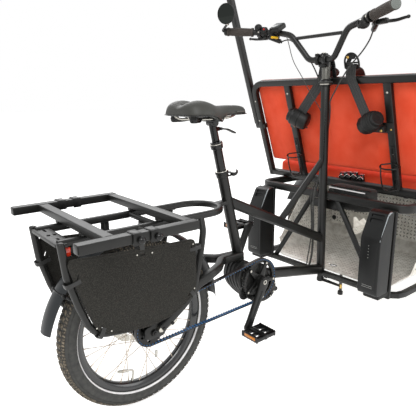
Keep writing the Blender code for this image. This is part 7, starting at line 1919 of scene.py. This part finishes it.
def tread_tub():
    """Bent tread plate with punched openings, rolled hems and raised lozenges."""
    tub = finished_copy("box_tray", 0.5 * MM, 1)
    shift = Matrix.Translation(SHIFT)
    tooth = slab("tooth",
                 rounded_outline([(0.196, 0.319), (0.190, 0.250), (0.172, 0.232), (0.150, 0.236),
                                  (0.136, 0.262), (0.121, 0.318), (0.140, 0.300), (0.158, 0.296),
                                  (0.176, 0.304)], 8 * MM), 1.36, 1.42, plane="yz")
    hand_slot = slab("hand_slot",
                     rounded_outline([(0.939, -0.024), (0.958, -0.024), (0.958, 0.006), (0.939, 0.006)],
                                     9 * MM, 6), 0.20, 0.23, plane="xy")
    for tool in (tooth, hand_slot):
        tool.data.transform(shift)
    cut(tub, tooth, hand_slot)
    smooth(tub, 40)
    lozenge = mesh_piece("lozenge", mm((-7.6, 0, -0.3), (0, -2.9, -0.3), (7.6, 0, -0.3), (0, 2.9, -0.3),
                                       (-4.7, 0, 1.4), (0, -1.2, 1.4), (4.7, 0, 1.4), (0, 1.2, 1.4)),
                         FRUSTUM_FACES)
    treads = copies("tread_lozenges", lozenge, tread_places())
    # The lozenges are coloured darker than the plate under them: painted shade
    dress(treads, PLATE_RIDGE_PAINTED_SHADE, "frame", (), 30)
    hems = []
    for side in (-1, 1):
        y = side * (WALL_Y - 1 * MM)
        hems.append(tube("hem",
                         rounded_route([(0.997, y, 0.270), (1.129, y, 0.447), (1.184, y, 0.517),
                                        (1.400, y, 0.517)], 20 * MM, 4), round_section(2.4 * MM, 10)))
        hems.append(tube("lip",
                         rounded_route([(1.412, y, 0.515), (1.458, y, 0.430), (1.80, y, 0.380),
                                        (1.893, y, 0.360)], 20 * MM, 4), round_section(2.4 * MM, 10)))
    dress(joined("tub_hems", *hems), PLATE_WITH_PAINTED_LIGHT, "frame", (), 50)
    # The partition's fold gets a white strip: a painted highlight, where the bent plate catches the light
    fold = block("fold_painted_highlight", (PARTITION_X - 1.0 * MM, 0, 0.3805), (2.4 * MM, 0.640, 4.2 * MM), 1 * MM)
    dress(fold, REFLEX_AND_PAINTED_HIGHLIGHT, "frame")
    rims = []
    for y, z in GROMMETS:
        rims.append(lathe("grommet", mm((6.5, -2.4), (11.5, -2.4), (12.5, 0), (11, 2.2), (7.5, 2.2)),
                          (PARTITION_X - 0.6 * MM, y, z), 28, (1, 0, 0)))
        rims.append(lathe("plug", mm((0, 0.2), (7, 0.2), (7, 1.4), (0, 1.8)), (PARTITION_X - 1.4 * MM, y, z),
                          24, (-1, 0, 0), closed=False))
    rims.append(tube("slot_rim",
                     [(0.9485 + 9.5 * MM * math.cos(t * math.pi / 8),
                       -0.009 + 15 * MM * math.sin(t * math.pi / 8), FLOOR_Z + 0.6 * MM) for t in range(16)],
                     round_section(1.8 * MM, 8), closed=True))
    dress(joined("tub_grommets", *rims), RUBBER, "frame")


def tool_bag():
    """A sagging roll bag strapped inside the seat loop, with a light strip along its top edge."""
    rings, count = [], 22
    for k in range(17):
        t = -1 + k / 8
        y = -0.0935 + t * 0.096
        end = (1 - abs(t) ** 6) ** 0.5 if abs(t) < 1 else 0.0
        sag = 5 * MM * math.cos(t * math.pi / 2) + 1.2 * MM * math.sin(t * 9)
        wide, tall = 35 * MM * (0.86 + 0.14 * end), 47 * MM * (0.84 + 0.16 * end)
        ring = []
        for j in range(count):
            turn = TURN * j / count
            u, v = squared(turn, 0.62, wide, tall)
            fold = 1.2 * MM * math.sin(5 * turn + 3 * t)
            ring.append(Vector((0.9255 + u, y, 0.5325 + v - (sag if v < 0 else sag * 0.3) + fold)))
        rings.append(ring)
    shell = skin("tool_bag", rings)
    apply(shell, "SUBSURF", levels=2, render_levels=2)
    belts = []
    for y in (-0.178, -0.018):
        belts.append(block("bag_buckle", (0.888, y, 0.552), mm(8, 24, 14), 2.5 * MM))
    dress(joined("tool_bag", shell, *belts), CANVAS_BLACK, "frame", ("tool_bag",), 60)
    strip = tube("bag_strip", [Vector((0.8910, -0.004 - 0.0165 * k, 0.5655 - 0.0002 * k)) for k in range(11)],
                 box_section(2.2 * MM, 5 * MM, 0.8 * MM, 2), normal=(0, 0, 1))
    dress(strip, REFLEX_AND_PAINTED_HIGHLIGHT, "frame")
    zip_line = tube("bag_zip",
                    soft_route([(0.900, -0.006, 0.5745), (0.900, -0.095, 0.5735), (0.900, -0.188, 0.5740)],
                               6), box_section(5 * MM, 2 * MM, 0.7 * MM, 2), normal=(0, 0, 1))
    dress(zip_line, GLOSS_BLACK, "frame")


def twisted(name, route, radius, strand, pitch, phase):
    """One strand that winds round a route."""
    route = [Vector(p) for p in route]
    made, gone = [], 0.0
    for k, place in enumerate(route):
        if k:
            gone += (place - route[k - 1]).length
        ahead = (route[min(k + 1, len(route) - 1)] - route[max(k - 1, 0)]).normalized()
        side = ahead.cross(Vector((0.1, 0.2, 1))).normalized()
        up = side.cross(ahead)
        turn = TURN * gone / pitch + phase
        made.append(place + (side * math.cos(turn) + up * math.sin(turn)) * radius)
    return tube(name, made, round_section(strand, 8))


def looms():
    """The harness: twisted cables along the floor tube and a sheathed run down the column."""
    rear, under = BOX_REAR, 0.1845
    floor_run = soft_route([(rear - 0.016, 0.285, 0.2065), (rear - 0.017, 0.235, 0.2065),
                            (rear - 0.017, 0.150, 0.2065), (rear - 0.018, 0.070, 0.205),
                            (rear - 0.016, 0.034, 0.196), (rear + 0.030, 0.028, under + 0.002),
                            (rear + 0.040, 0.000, under), (rear + 0.030, -0.028, under + 0.002),
                            (rear - 0.012, -0.036, 0.196), (rear - 0.017, -0.070, 0.205),
                            (rear - 0.017, -0.150, 0.2065), (rear - 0.017, -0.240, 0.2065)], 10)
    strands = [twisted("strand", floor_run, 4.8 * MM, 4.0 * MM, 44 * MM, phase) for phase in (0, 2.1, 4.2)]
    down = soft_route([(column_x(0.957) + 0.006, 0.0215, 0.957), (column_x(0.900) + 0.012, 0.018, 0.900),
                       (column_x(0.780) + 0.021, 0.010, 0.780), (column_x(0.680) + 0.020, 0.014, 0.680),
                       (column_x(0.600) + 0.004, 0.0235, 0.600), (column_x(0.520) - 0.020, 0.0290, 0.520),
                       (column_x(0.400) - 0.018, 0.0300, 0.400), (column_x(0.290) - 0.017, 0.0330, 0.290),
                       (rear - 0.024, 0.045, 0.222), (rear - 0.018, 0.070, 0.206)], 8)
    strands.append(tube("sheath", down, round_section(4.4 * MM, 12)))
    tail = soft_route([(column_x(0.900) - 0.002, -0.0225, 0.900), (column_x(0.875) + 0.006, -0.0195, 0.875),
                       (column_x(0.830) + 0.018, -0.009, 0.830), (column_x(0.780) + 0.0245, 0.002, 0.780),
                       (column_x(0.700) + 0.0235, 0.006, 0.700)], 6)
    strands.append(tube("hose_tail", tail, round_section(2.6 * MM, 10)))
    second = [p + Vector((-0.002 + 0.004 * math.sin(k * 0.22), 0.010 + 0.004 * math.sin(k * 0.31), 0))
              for k, p in enumerate(down[34:])]
    strands.append(tube("second_cable", second, round_section(2.6 * MM, 10)))
    dress(joined("frame_looms", *strands), RUBBER, "frame", ("frame_loom",), 60)


seat_frame()
tread_tub()
tool_bag()
looms()


# Steering: bar, stem, levers, grips, display, mirror, hoses and the column's rings

BAR_CLAMP = Vector((0.8085, 0, 1.0535))
SWEEP = math.radians(32.0)


def on_column(height):
    """The steering column's centre at a height over the ground."""
    return Vector((column_x(height), 0, height))


COLUMN_UP = (on_column(1.0) - on_column(0.5)).normalized()
TIP = {-1: Vector((0.6621, -0.36, 1.176)), 1: Vector((0.6621, 0.36, 1.176))}
SHOULDER = {-1: Vector((0.7715, -0.185, 1.162)), 1: Vector((0.7715, 0.185, 1.162))}


def bar_end(side, back):
    """A place on the bar's end run, measured back from its tip."""
    return TIP[side] + (SHOULDER[side] - TIP[side]).normalized() * back


def high_bar():
    """Butted alloy bar with its crossbar, held in a faced stem over the column."""
    corners = []
    for side in (-1, 1):
        half = [TIP[side], SHOULDER[side], Vector((0.7775, side * 0.125, 1.148)),
                Vector((0.8040, side * 0.055, 1.054)), Vector((0.8085, side * 0.020, 1.0535))]
        corners += half if side < 0 else list(reversed(half))
    bar = tube("bar", rounded_route(corners, 52 * MM, 8), round_section(11 * MM, 24))
    low = {side: Vector((0.8040, side * 0.055, 1.054)).lerp(Vector((0.7775, side * 0.125, 1.148)), 0.86)
           for side in (-1, 1)}
    cross = shaft("crossbar", low[-1], low[1], 6.2 * MM, 20)
    beads = [lathe("bead", mm((6, -2), (8.2, 0), (6, 3)), low[side], 20, (0, -side, 0)) for side in (-1, 1)]
    dress(joined("bar", bar, cross, *beads), PAINT, "steering", ("handlebar",), 50)

    quill = lathe("quill", mm((0, 0), (15.5, 0), (15.5, 62), (13, 66), (0, 66)), on_column(0.985), 36,
                  COLUMN_UP, closed=False)
    spots = [Vector((-15.2 * MM * math.cos(a), -15.2 * MM * math.sin(a), 0)) for a in (0.2, 0.9, 1.6)]
    rows = [shaft("quill_rib", on_column(0.990) + spot, on_column(1.030) + spot, 1.6 * MM, 8)
            for spot in spots]
    dress(joined("quill", quill, *rows), GREY_ALLOY, "steering")
    collar = lathe("stem_collar", mm((0, 0), (20.5, 0), (21, 1.5), (21, 15), (19.6, 17), (19.6, 22), (16, 25),
                                     (0, 25)), on_column(0.9603), 40, COLUMN_UP, closed=False)
    dress(collar, BLACK_ALLOY, "steering")
    ring = lathe("column_ring", mm((20.8, 4), (22.4, 4.6), (22.4, 8.2), (20.8, 8.8)), on_column(0.9603), 40,
                 COLUMN_UP)
    dress(ring, STEEL, "steering")
    body = [block("stem_head", BAR_CLAMP + Vector(mm(14, 0, -14)), mm(30, 34, 26), 6 * MM)]
    for y in mm(-17, 17):
        body.append(lathe("stem_jaw", mm((11.3, -8), (17, -8), (18.6, -6), (18.6, 6), (17, 8), (11.3, 8)),
                          BAR_CLAMP + Vector((0, y, 0)), 36, (0, 1, 0)))
        body.append(block("jaw_ear", BAR_CLAMP + Vector((-4 * MM, y, 17 * MM)), mm(20, 14, 9), 3 * MM))
    body.append(ball("stem_cap", BAR_CLAMP + Vector(mm(4, 0, 15)), mm(13, 10, 9), 12))
    dress(joined("stem", *body), CLAMP_BLACK, "steering")
    screws = []
    for y in mm(-17, 17):
        screws.append(domed_bolt(BAR_CLAMP + Vector((-6 * MM, y, 21.5 * MM)), Vector((-0.15, 0, 1)),
                                 4.6 * MM))
    screws.append(domed_bolt(BAR_CLAMP + Vector(mm(4, 0, 24)), Vector((0, 0, 1)), 3.6 * MM))
    dress(joined("stem_screws", *screws), STEEL, "steering", (), 50)

    hub = on_column(0.171)
    arm_route = [hub, hub + Vector(mm(0, -50, 0)), hub + Vector(mm(0, -102, 0))]
    arm = tube("pitman_arm", arm_route, box_section(18 * MM, 8 * MM, 3 * MM, 3), normal=COLUMN_UP,
               scale=lambda t: 1.05 - 0.3 * t)
    boss = lathe("pitman_boss", mm((0, -7), (13, -7), (15, -5), (15, 7), (13, 10), (0, 10)), hub, 32,
                 COLUMN_UP, closed=False)
    shank = shaft("steerer", on_column(0.168), on_column(0.200), 13 * MM, 24)
    dress(joined("pitman_arm", arm, boss, shank), CLAMP_BLACK, "steering")
    tip = hub + Vector(mm(0, -102, 0))
    pin = shaft("pitman_pin", tip + Vector(mm(0, 0, -9)), tip + Vector(mm(0, 0, 7)), 4.6 * MM, 16, 1 * MM)
    dress(pin, GOLD, "steering")


def lever_and_perch(side):
    """Brake perch with its reservoir, the switch pod inside it and the two-finger lever."""
    name = SIDE_NAME[side]
    place = bar_end(side, 0.150 if side < 0 else 0.130)
    way = (TIP[side] - SHOULDER[side]).normalized()
    ahead = Vector((math.cos(SWEEP), side * math.sin(SWEEP), 0))
    turn = turned(way, ahead, way.cross(ahead))
    parts = [lathe("perch_ring", mm((11.2, -7), (16.5, -7), (17.6, -5), (17.6, 5), (16.5, 7), (11.2, 7)),
                   place, 32, way)]
    start, end = Vector((0.806, side * 0.205, 1.1345)), Vector((0.770, side * 0.240, 1.1530))
    pin, far_tip = Vector((0.7602, side * 0.273, 1.1490)), Vector((0.7716, side * 0.342, 1.1549))
    parts.append(tube("neck",
                      soft_route([place + ahead * 10 * MM, place.lerp(end, 0.55) + Vector(mm(0, 0, 1)),
                                  end.lerp(start, 0.3)], 4), box_section(16 * MM, 15 * MM, 4 * MM, 3),
                      normal=(0, 0, 1)))
    parts.append(shaft("cylinder", start, end, 9 * MM, 28, 2 * MM))
    parts.append(shaft("cylinder_nose", start - (end - start).normalized() * 7 * MM, start, 5.5 * MM, 20,
                       1 * MM))
    parts.append(block("tank", start.lerp(end, 0.5) + Vector(mm(0, 0, 8)), mm(40, 19, 12), 4 * MM,
                       Matrix.Rotation(math.atan2((end - start).y, (end - start).x), 4, "Z")))
    parts.append(block("fork", pin.lerp(end, 0.35), mm(40, 17, 17), 3 * MM,
                       Matrix.Rotation(math.atan2((pin - end).y, (pin - end).x), 4, "Z")))
    dress(joined("perch_" + name, *parts), CLAMP_BLACK, "steering")
    bright = [domed_bolt(start.lerp(end, 0.5 + k * 0.26) + Vector(mm(0, 0, 14.4)), Vector((0, 0, 1)),
                         2.8 * MM) for k in (-1, 1)]
    bright.append(domed_bolt(pin + Vector(mm(0, 0, 8.6)), Vector((0, 0, 1)), 4 * MM))
    bright.append(domed_bolt(place - ahead * 17.4 * MM, -ahead, 3.4 * MM))
    dress(joined("perch_screws_" + name, *bright), STEEL, "steering", (), 50)
    pod_place = bar_end(side, 0.176 if side < 0 else 0.154)
    pod = [lathe("pod_ring", mm((11.2, -9), (15, -9), (16, -7), (16, 7), (15, 9), (11.2, 9)), pod_place, 28,
                 way)]
    if side < 0:
        pod.append(ball("pod_body", pod_place - Vector(mm(0, 0, 17)) - ahead * 10 * MM, mm(17, 20, 15), 14))
        pod.append(shaft("pod_dial", pod_place - Vector(mm(0, 0, 20)) - ahead * 12 * MM,
                         pod_place - Vector(mm(0, -1, 20)) - ahead * 27 * MM, 11 * MM, 24, 2 * MM))
        paddle = tube("paddle",
                      soft_route([pod_place - ahead * 16 * MM - Vector(mm(0, 0, 6)),
                                  pod_place - ahead * 30 * MM - Vector(mm(0, 0, 8)) - way * 8 * MM,
                                  pod_place - ahead * 36 * MM - Vector(mm(0, 0, 16)) - way * 14 * MM], 5),
                      box_section(11 * MM, 4 * MM, 1.6 * MM, 2), normal=(0, 0, 1))
        pod.append(paddle)
    else:
        pod.append(ball("bell", pod_place + Vector(mm(0, 0, 17)) - ahead * 12 * MM + way * 26 * MM,
                        mm(15, 15, 13), 14))
        pod.append(block("switch", pod_place + Vector(mm(0, 0, 8)) - ahead * 20 * MM, mm(22, 17, 20), 4 * MM,
                         turn))
        pod.append(shaft("switch_post", pod_place - Vector(mm(0, 0, 12)),
                         pod_place - Vector(mm(0, 0, 24)) - ahead * 8 * MM, 8 * MM, 20, 2 * MM))
    dress(joined("pod_" + name, *pod), PLASTIC, "steering")
    button = ball("pod_button_" + name, pod_place - ahead * (30 if side > 0 else 22) * MM
                  + Vector((0, 0, 9 * MM if side > 0 else -4 * MM)), mm(3.6, 3.6, 3.6), 8)
    dress(button, RED_BUTTON if side > 0 else CHROME, "steering", (), 50)
    blade = soft_route([pin, pin.lerp(far_tip, 0.22) + Vector(mm(7, 0, -1)),
                        pin.lerp(far_tip, 0.5) + Vector(mm(6, 0, -2)),
                        pin.lerp(far_tip, 0.78) + Vector(mm(1, 0, -1)), far_tip], 5)
    lever = tube("lever_blade", blade, box_section(12 * MM, 10 * MM, 3.6 * MM, 3), normal=(0, 0, 1),
                 scale=lambda t: 1.08 - 0.28 * t)
    knob = ball("lever_knob", far_tip, mm(6.2, 6.2, 5.6), 12)
    eye = shaft("lever_eye", pin - Vector(mm(0, 0, 6)), pin + Vector(mm(0, 0, 6)), 8 * MM, 24, 1.2 * MM)
    dress(joined("lever_" + name, lever, knob, eye), BLACK_ALLOY, "brake_lever_" + name,
          ("brake_lever_" + name,), 50)


def grip(side):
    """Ribbed grip with its inner lock ring; the right grip also gets a pale end cap."""
    name = SIDE_NAME[side]
    way = (TIP[side] - SHOULDER[side]).normalized()
    full = 128 if side < 0 else 106
    count = 26 if side < 0 else 21
    slim = 1.0 * MM if side < 0 else 1.6 * MM
    start = bar_end(side, full * MM)
    outline = [(11.15 * MM, 0), (17.6 * MM - slim, 0), (18.4 * MM - slim, 1.5 * MM),
               (18.4 * MM - slim, 8 * MM), (16.6 * MM - slim, 10 * MM)]
    for k in range(count):
        along = (11 + k * 4.15) * MM
        swell = 1.0 * MM * math.sin(k / (count - 1) * math.pi) - slim
        outline += [(15.7 * MM + swell, along), (16.5 * MM + swell, along + 0.9 * MM),
                    (16.5 * MM + swell, along + 2.5 * MM), (15.7 * MM + swell, along + 3.4 * MM)]
    outline += [(16.6 * MM - slim, (full - 7) * MM), (18.2 * MM - slim, (full - 5) * MM),
                (18.2 * MM - slim, full * MM), mm(11.15, full)]
    body = lathe("grip", outline, start, 30, way)
    dress(body, GRIP, "steering", ("grip_" + name,), 50)
    if side < 0:
        cap = lathe("grip_cap", mm((0, 0), (14, 0), (15.2, -0.8), (15.2, 1.4), (12, 2.6), (0, 2.8)),
                    TIP[side] + way * 0.4 * MM, 32, way, closed=False)
        dress(cap, GREY_CAP, "steering")


def display():
    """The display on its arm, with a dark screen and an amber strip below."""
    centre = Vector((0.7640, 0.1849, 1.1790))
    turn = Matrix.Rotation(math.radians(-30), 4, "Y") @ Matrix.Rotation(math.radians(4), 4, "X")
    case = [block("case", centre, mm(52, 46, 19), 5 * MM, turn)]
    case.append(block("hood", centre + turn.to_3x3() @ Vector(mm(0, 0, 9.4)), mm(47, 41, 3), 1.4 * MM, turn))
    for back in (0.028, 0.040):
        place = SHOULDER[1].lerp(TIP[1], back)
        case.append(lathe("arm_ring", mm((11.2, -4), (15.5, -4), (15.5, 4), (11.2, 4)), place, 28,
                          TIP[1] - SHOULDER[1]))
    case.append(block("arm", (0.768, 0.186, 1.176), mm(16, 14, 16), 3 * MM))
    case.append(block("tray", (0.758, 0.194, 1.149), mm(48, 15, 12), 3 * MM))
    dress(joined("display_case", *case), PLASTIC, "steering", ("display_unit",), 35)
    screen = block("screen", centre + turn.to_3x3() @ Vector(mm(2, 0, 11.2)), mm(37, 32, 1.6), 0.7 * MM, turn)
    dress(screen, SCREEN, "steering")
    strip = block("amber_strip", (0.7490, 0.1850, 1.1435), mm(36, 9, 8), 2 * MM)
    dress(strip, YELLOW, "steering")


def mirror():
    """A round mirror on a ball joint at the bar's end."""
    face = Vector((-0.94, -0.30, -0.10)).normalized()
    centre = Vector((0.6189, 0.3205, 1.2345))
    head = lathe("mirror_head", mm((0, -15), (14, -14.5), (27, -11), (35, -5), (38, 0), (38.4, 4),
                                   (37.4, 5.4), (35.6, 5.0), (35.2, 3.4), (0, 3.4)), centre, 56, face,
                 closed=False)
    way = (TIP[1] - SHOULDER[1]).normalized()
    arm = tube("mirror_arm",
               soft_route([TIP[1] + way * 0.010, TIP[1] + way * 0.021 + Vector(mm(0, 0, 6)),
                           centre - face * 10 * MM - Vector(mm(0, 0, 34)),
                           centre - face * 10 * MM - Vector(mm(0, 0, 12))], 5), round_section(4.6 * MM, 14))
    plug = lathe("mirror_plug", mm((0, 0), (14, 0), (15, 2), (15, 9), (12, 13), (0, 13.5)),
                 TIP[1] + way * 0.3 * MM, 28, way, closed=False)
    dress(joined("mirror_head", head, arm, plug), PLASTIC, "mirror", ("mirror",))
    glass = lathe("mirror_glass_painted_reflection", mm((0, 3.5), (35, 3.5), (35, 4.1), (20, 4.8), (0, 5.0)), centre, 56, face,
                  closed=False)
    # The mirror's face is dark by its colour: a painted reflection of dark surroundings, where a clear mirror
    # would show the white studio
    dress(glass, MIRROR_PAINTED_REFLECTION, "mirror", (), 60)
    joint = ball("mirror_joint", centre - face * 10 * MM - Vector(mm(0, 0, 36)), mm(6.4, 6.4, 6.4), 12)
    dress(joint, STEEL, "mirror", (), 60)


def bar_cables():
    """Two brake hoses and the thin harness wire, held from lever to column all the way."""
    right = soft_route([(0.8080, -0.2030, 1.1335), (0.8180, -0.1930, 1.1230), (0.8268, -0.1780, 1.1030),
                        (0.8320, -0.1500, 1.0704), (0.8337, -0.1050, 1.0263), (0.8348, -0.0700, 0.9794),
                        (0.8345, -0.0450, 0.9372), (0.8370, -0.0280, 0.9100), (0.8405, -0.0225, 0.8960)], 7)
    left = soft_route([(0.8080, 0.2030, 1.1335), (0.8250, 0.1960, 1.1400), (0.8441, 0.1860, 1.1400),
                       (0.8530, 0.1500, 1.1127), (0.8437, 0.1100, 1.0829), (0.8453, 0.0800, 1.0514),
                       (0.8345, 0.0450, 1.0124), (0.8420, 0.0300, 0.9750), (0.8460, 0.0225, 0.9540)], 7)
    wire = soft_route([(0.7900, 0.1900, 1.1620), (0.8193, 0.1850, 1.1487), (0.8206, 0.1500, 1.0620),
                       (0.8196, 0.1000, 0.9956), (0.8295, 0.0600, 0.9309), (0.8420, 0.0270, 0.8800),
                       (0.8440, 0.0200, 0.8640)], 7)
    hoses = [tube("hose", right, round_section(2.6 * MM, 10)),
             tube("hose", left, round_section(2.6 * MM, 10)), tube("wire", wire, round_section(1.5 * MM, 8))]
    tie = lathe("tie", mm((20.6, 0), (27, 0), (27, 4.4), (20.6, 4.4)), on_column(0.9720), 36, COLUMN_UP)
    dress(joined("bar_cables", *hoses), RUBBER, ("frame", "steering"), ("bar_hoses",), 60,
          span=(on_column(0.880), on_column(0.990)))
    dress(tie, RUBBER, "steering", (), 60)


high_bar()
for side_sign in (-1, 1):
    lever_and_perch(side_sign)
    grip(side_sign)
display()
mirror()
bar_cables()


# Batteries on their docks

def battery(side):
    """Moulded battery: sloped head with two finger slots, bright chamfer, status lights and fine lines."""
    name = SIDE_NAME[side]
    low, high = sorted(mm(side * 247, side * 325))
    y = (low + high) / 2
    rear, front, foot = 0.7584, 0.8330, 0.230
    outline = rounded_outline([(rear + 6 * MM, foot), (front, foot), (front, foot + 0.304),
                               (rear + 44 * MM, foot + 0.297), (rear, foot + 0.2105), (rear, foot + 0.014)],
                              9 * MM, 4)
    shell = slab("battery_shell", outline, low, high, 9 * MM, segments=4)
    head = Vector(mm(44, 0, 86.5)).normalized()
    facing = Vector((-head.z, 0, head.x))
    turn = turned(head, Vector((0, 1, 0)), head.cross(Vector((0, 1, 0))))
    for along, long in ((0.066, 0.017), (0.084, 0.012)):
        spot = Vector((rear, y, foot + 0.2105)) + head * along + facing * 1 * MM
        cut(shell, block("finger_slot", spot, (long, 50 * MM, 19 * MM), 4 * MM, turn))
    smooth(shell, 40)
    groove = slab("face_panel",
                  rounded_outline([(y - 0.030, foot + 0.018), (y + 0.030, foot + 0.018),
                                   (y + 0.030, foot + 0.200), (y - 0.030, foot + 0.200)], 8 * MM),
                  rear - 0.9 * MM, rear + 2 * MM, 0.8 * MM, plane="yz")
    dress(joined("battery_" + name, shell, groove), BATTERY_CASE, "battery_" + name,
          ("battery_" + name,), 40)
    edge = [Vector((rear + 1.5 * MM, 0, foot + 0.205)), Vector((rear + 20 * MM, 0, foot + 0.2455)),
            Vector((rear + 45 * MM, 0, foot + 0.2945)), Vector((rear + 62 * MM, 0, foot + 0.3015))]
    trim = tube("battery_chamfer_" + name, soft_route([p + Vector((0, low + 2.6 * MM, 0)) for p in edge], 5),
                box_section(6 * MM, 3 * MM, 1.2 * MM, 2), normal=(0, -0.7, 0.7))
    dress(trim, SILVER_TRIM, "battery_" + name, (), 50)
    lights = [block("status", (rear - 1.0 * MM, y + 4 * MM, foot + 0.140 + k * 11 * MM), mm(1.2, 2, 2.6),
                    0.4 * MM) for k in range(5)]
    lights += [block("fine_line", (rear - 0.9 * MM, y, foot + 0.030 + k * 6.5 * MM), mm(1.0, 40, 1.3),
                     0.4 * MM) for k in range(2)]
    dress(joined("battery_lights_" + name, *lights), PALE_LINE, "battery_" + name, (), 50)


for side_sign in (-1, 1):
    battery(side_sign)


# Pieces that keep their solid's form, with its edges eased

for node_name, width in (("head_column", 1.6), ("down_tube", 3.0), ("bottom_rail", 3.0), ("floor_loop", 1.6),
                         ("box_a_frame", 1.8), ("canopy_hoop", 2.2), ("knuckle_right", 0.9),
                         ("knuckle_left", 0.9), ("tie_rod", 0.8), ("drag_link", 0.8), ("dock_right", 1.0),
                         ("dock_left", 1.0)):
    finished_copy(node_name, width * MM)


photographers_camera()
studio()
bpy.context.scene.view_settings.view_transform = "Standard"
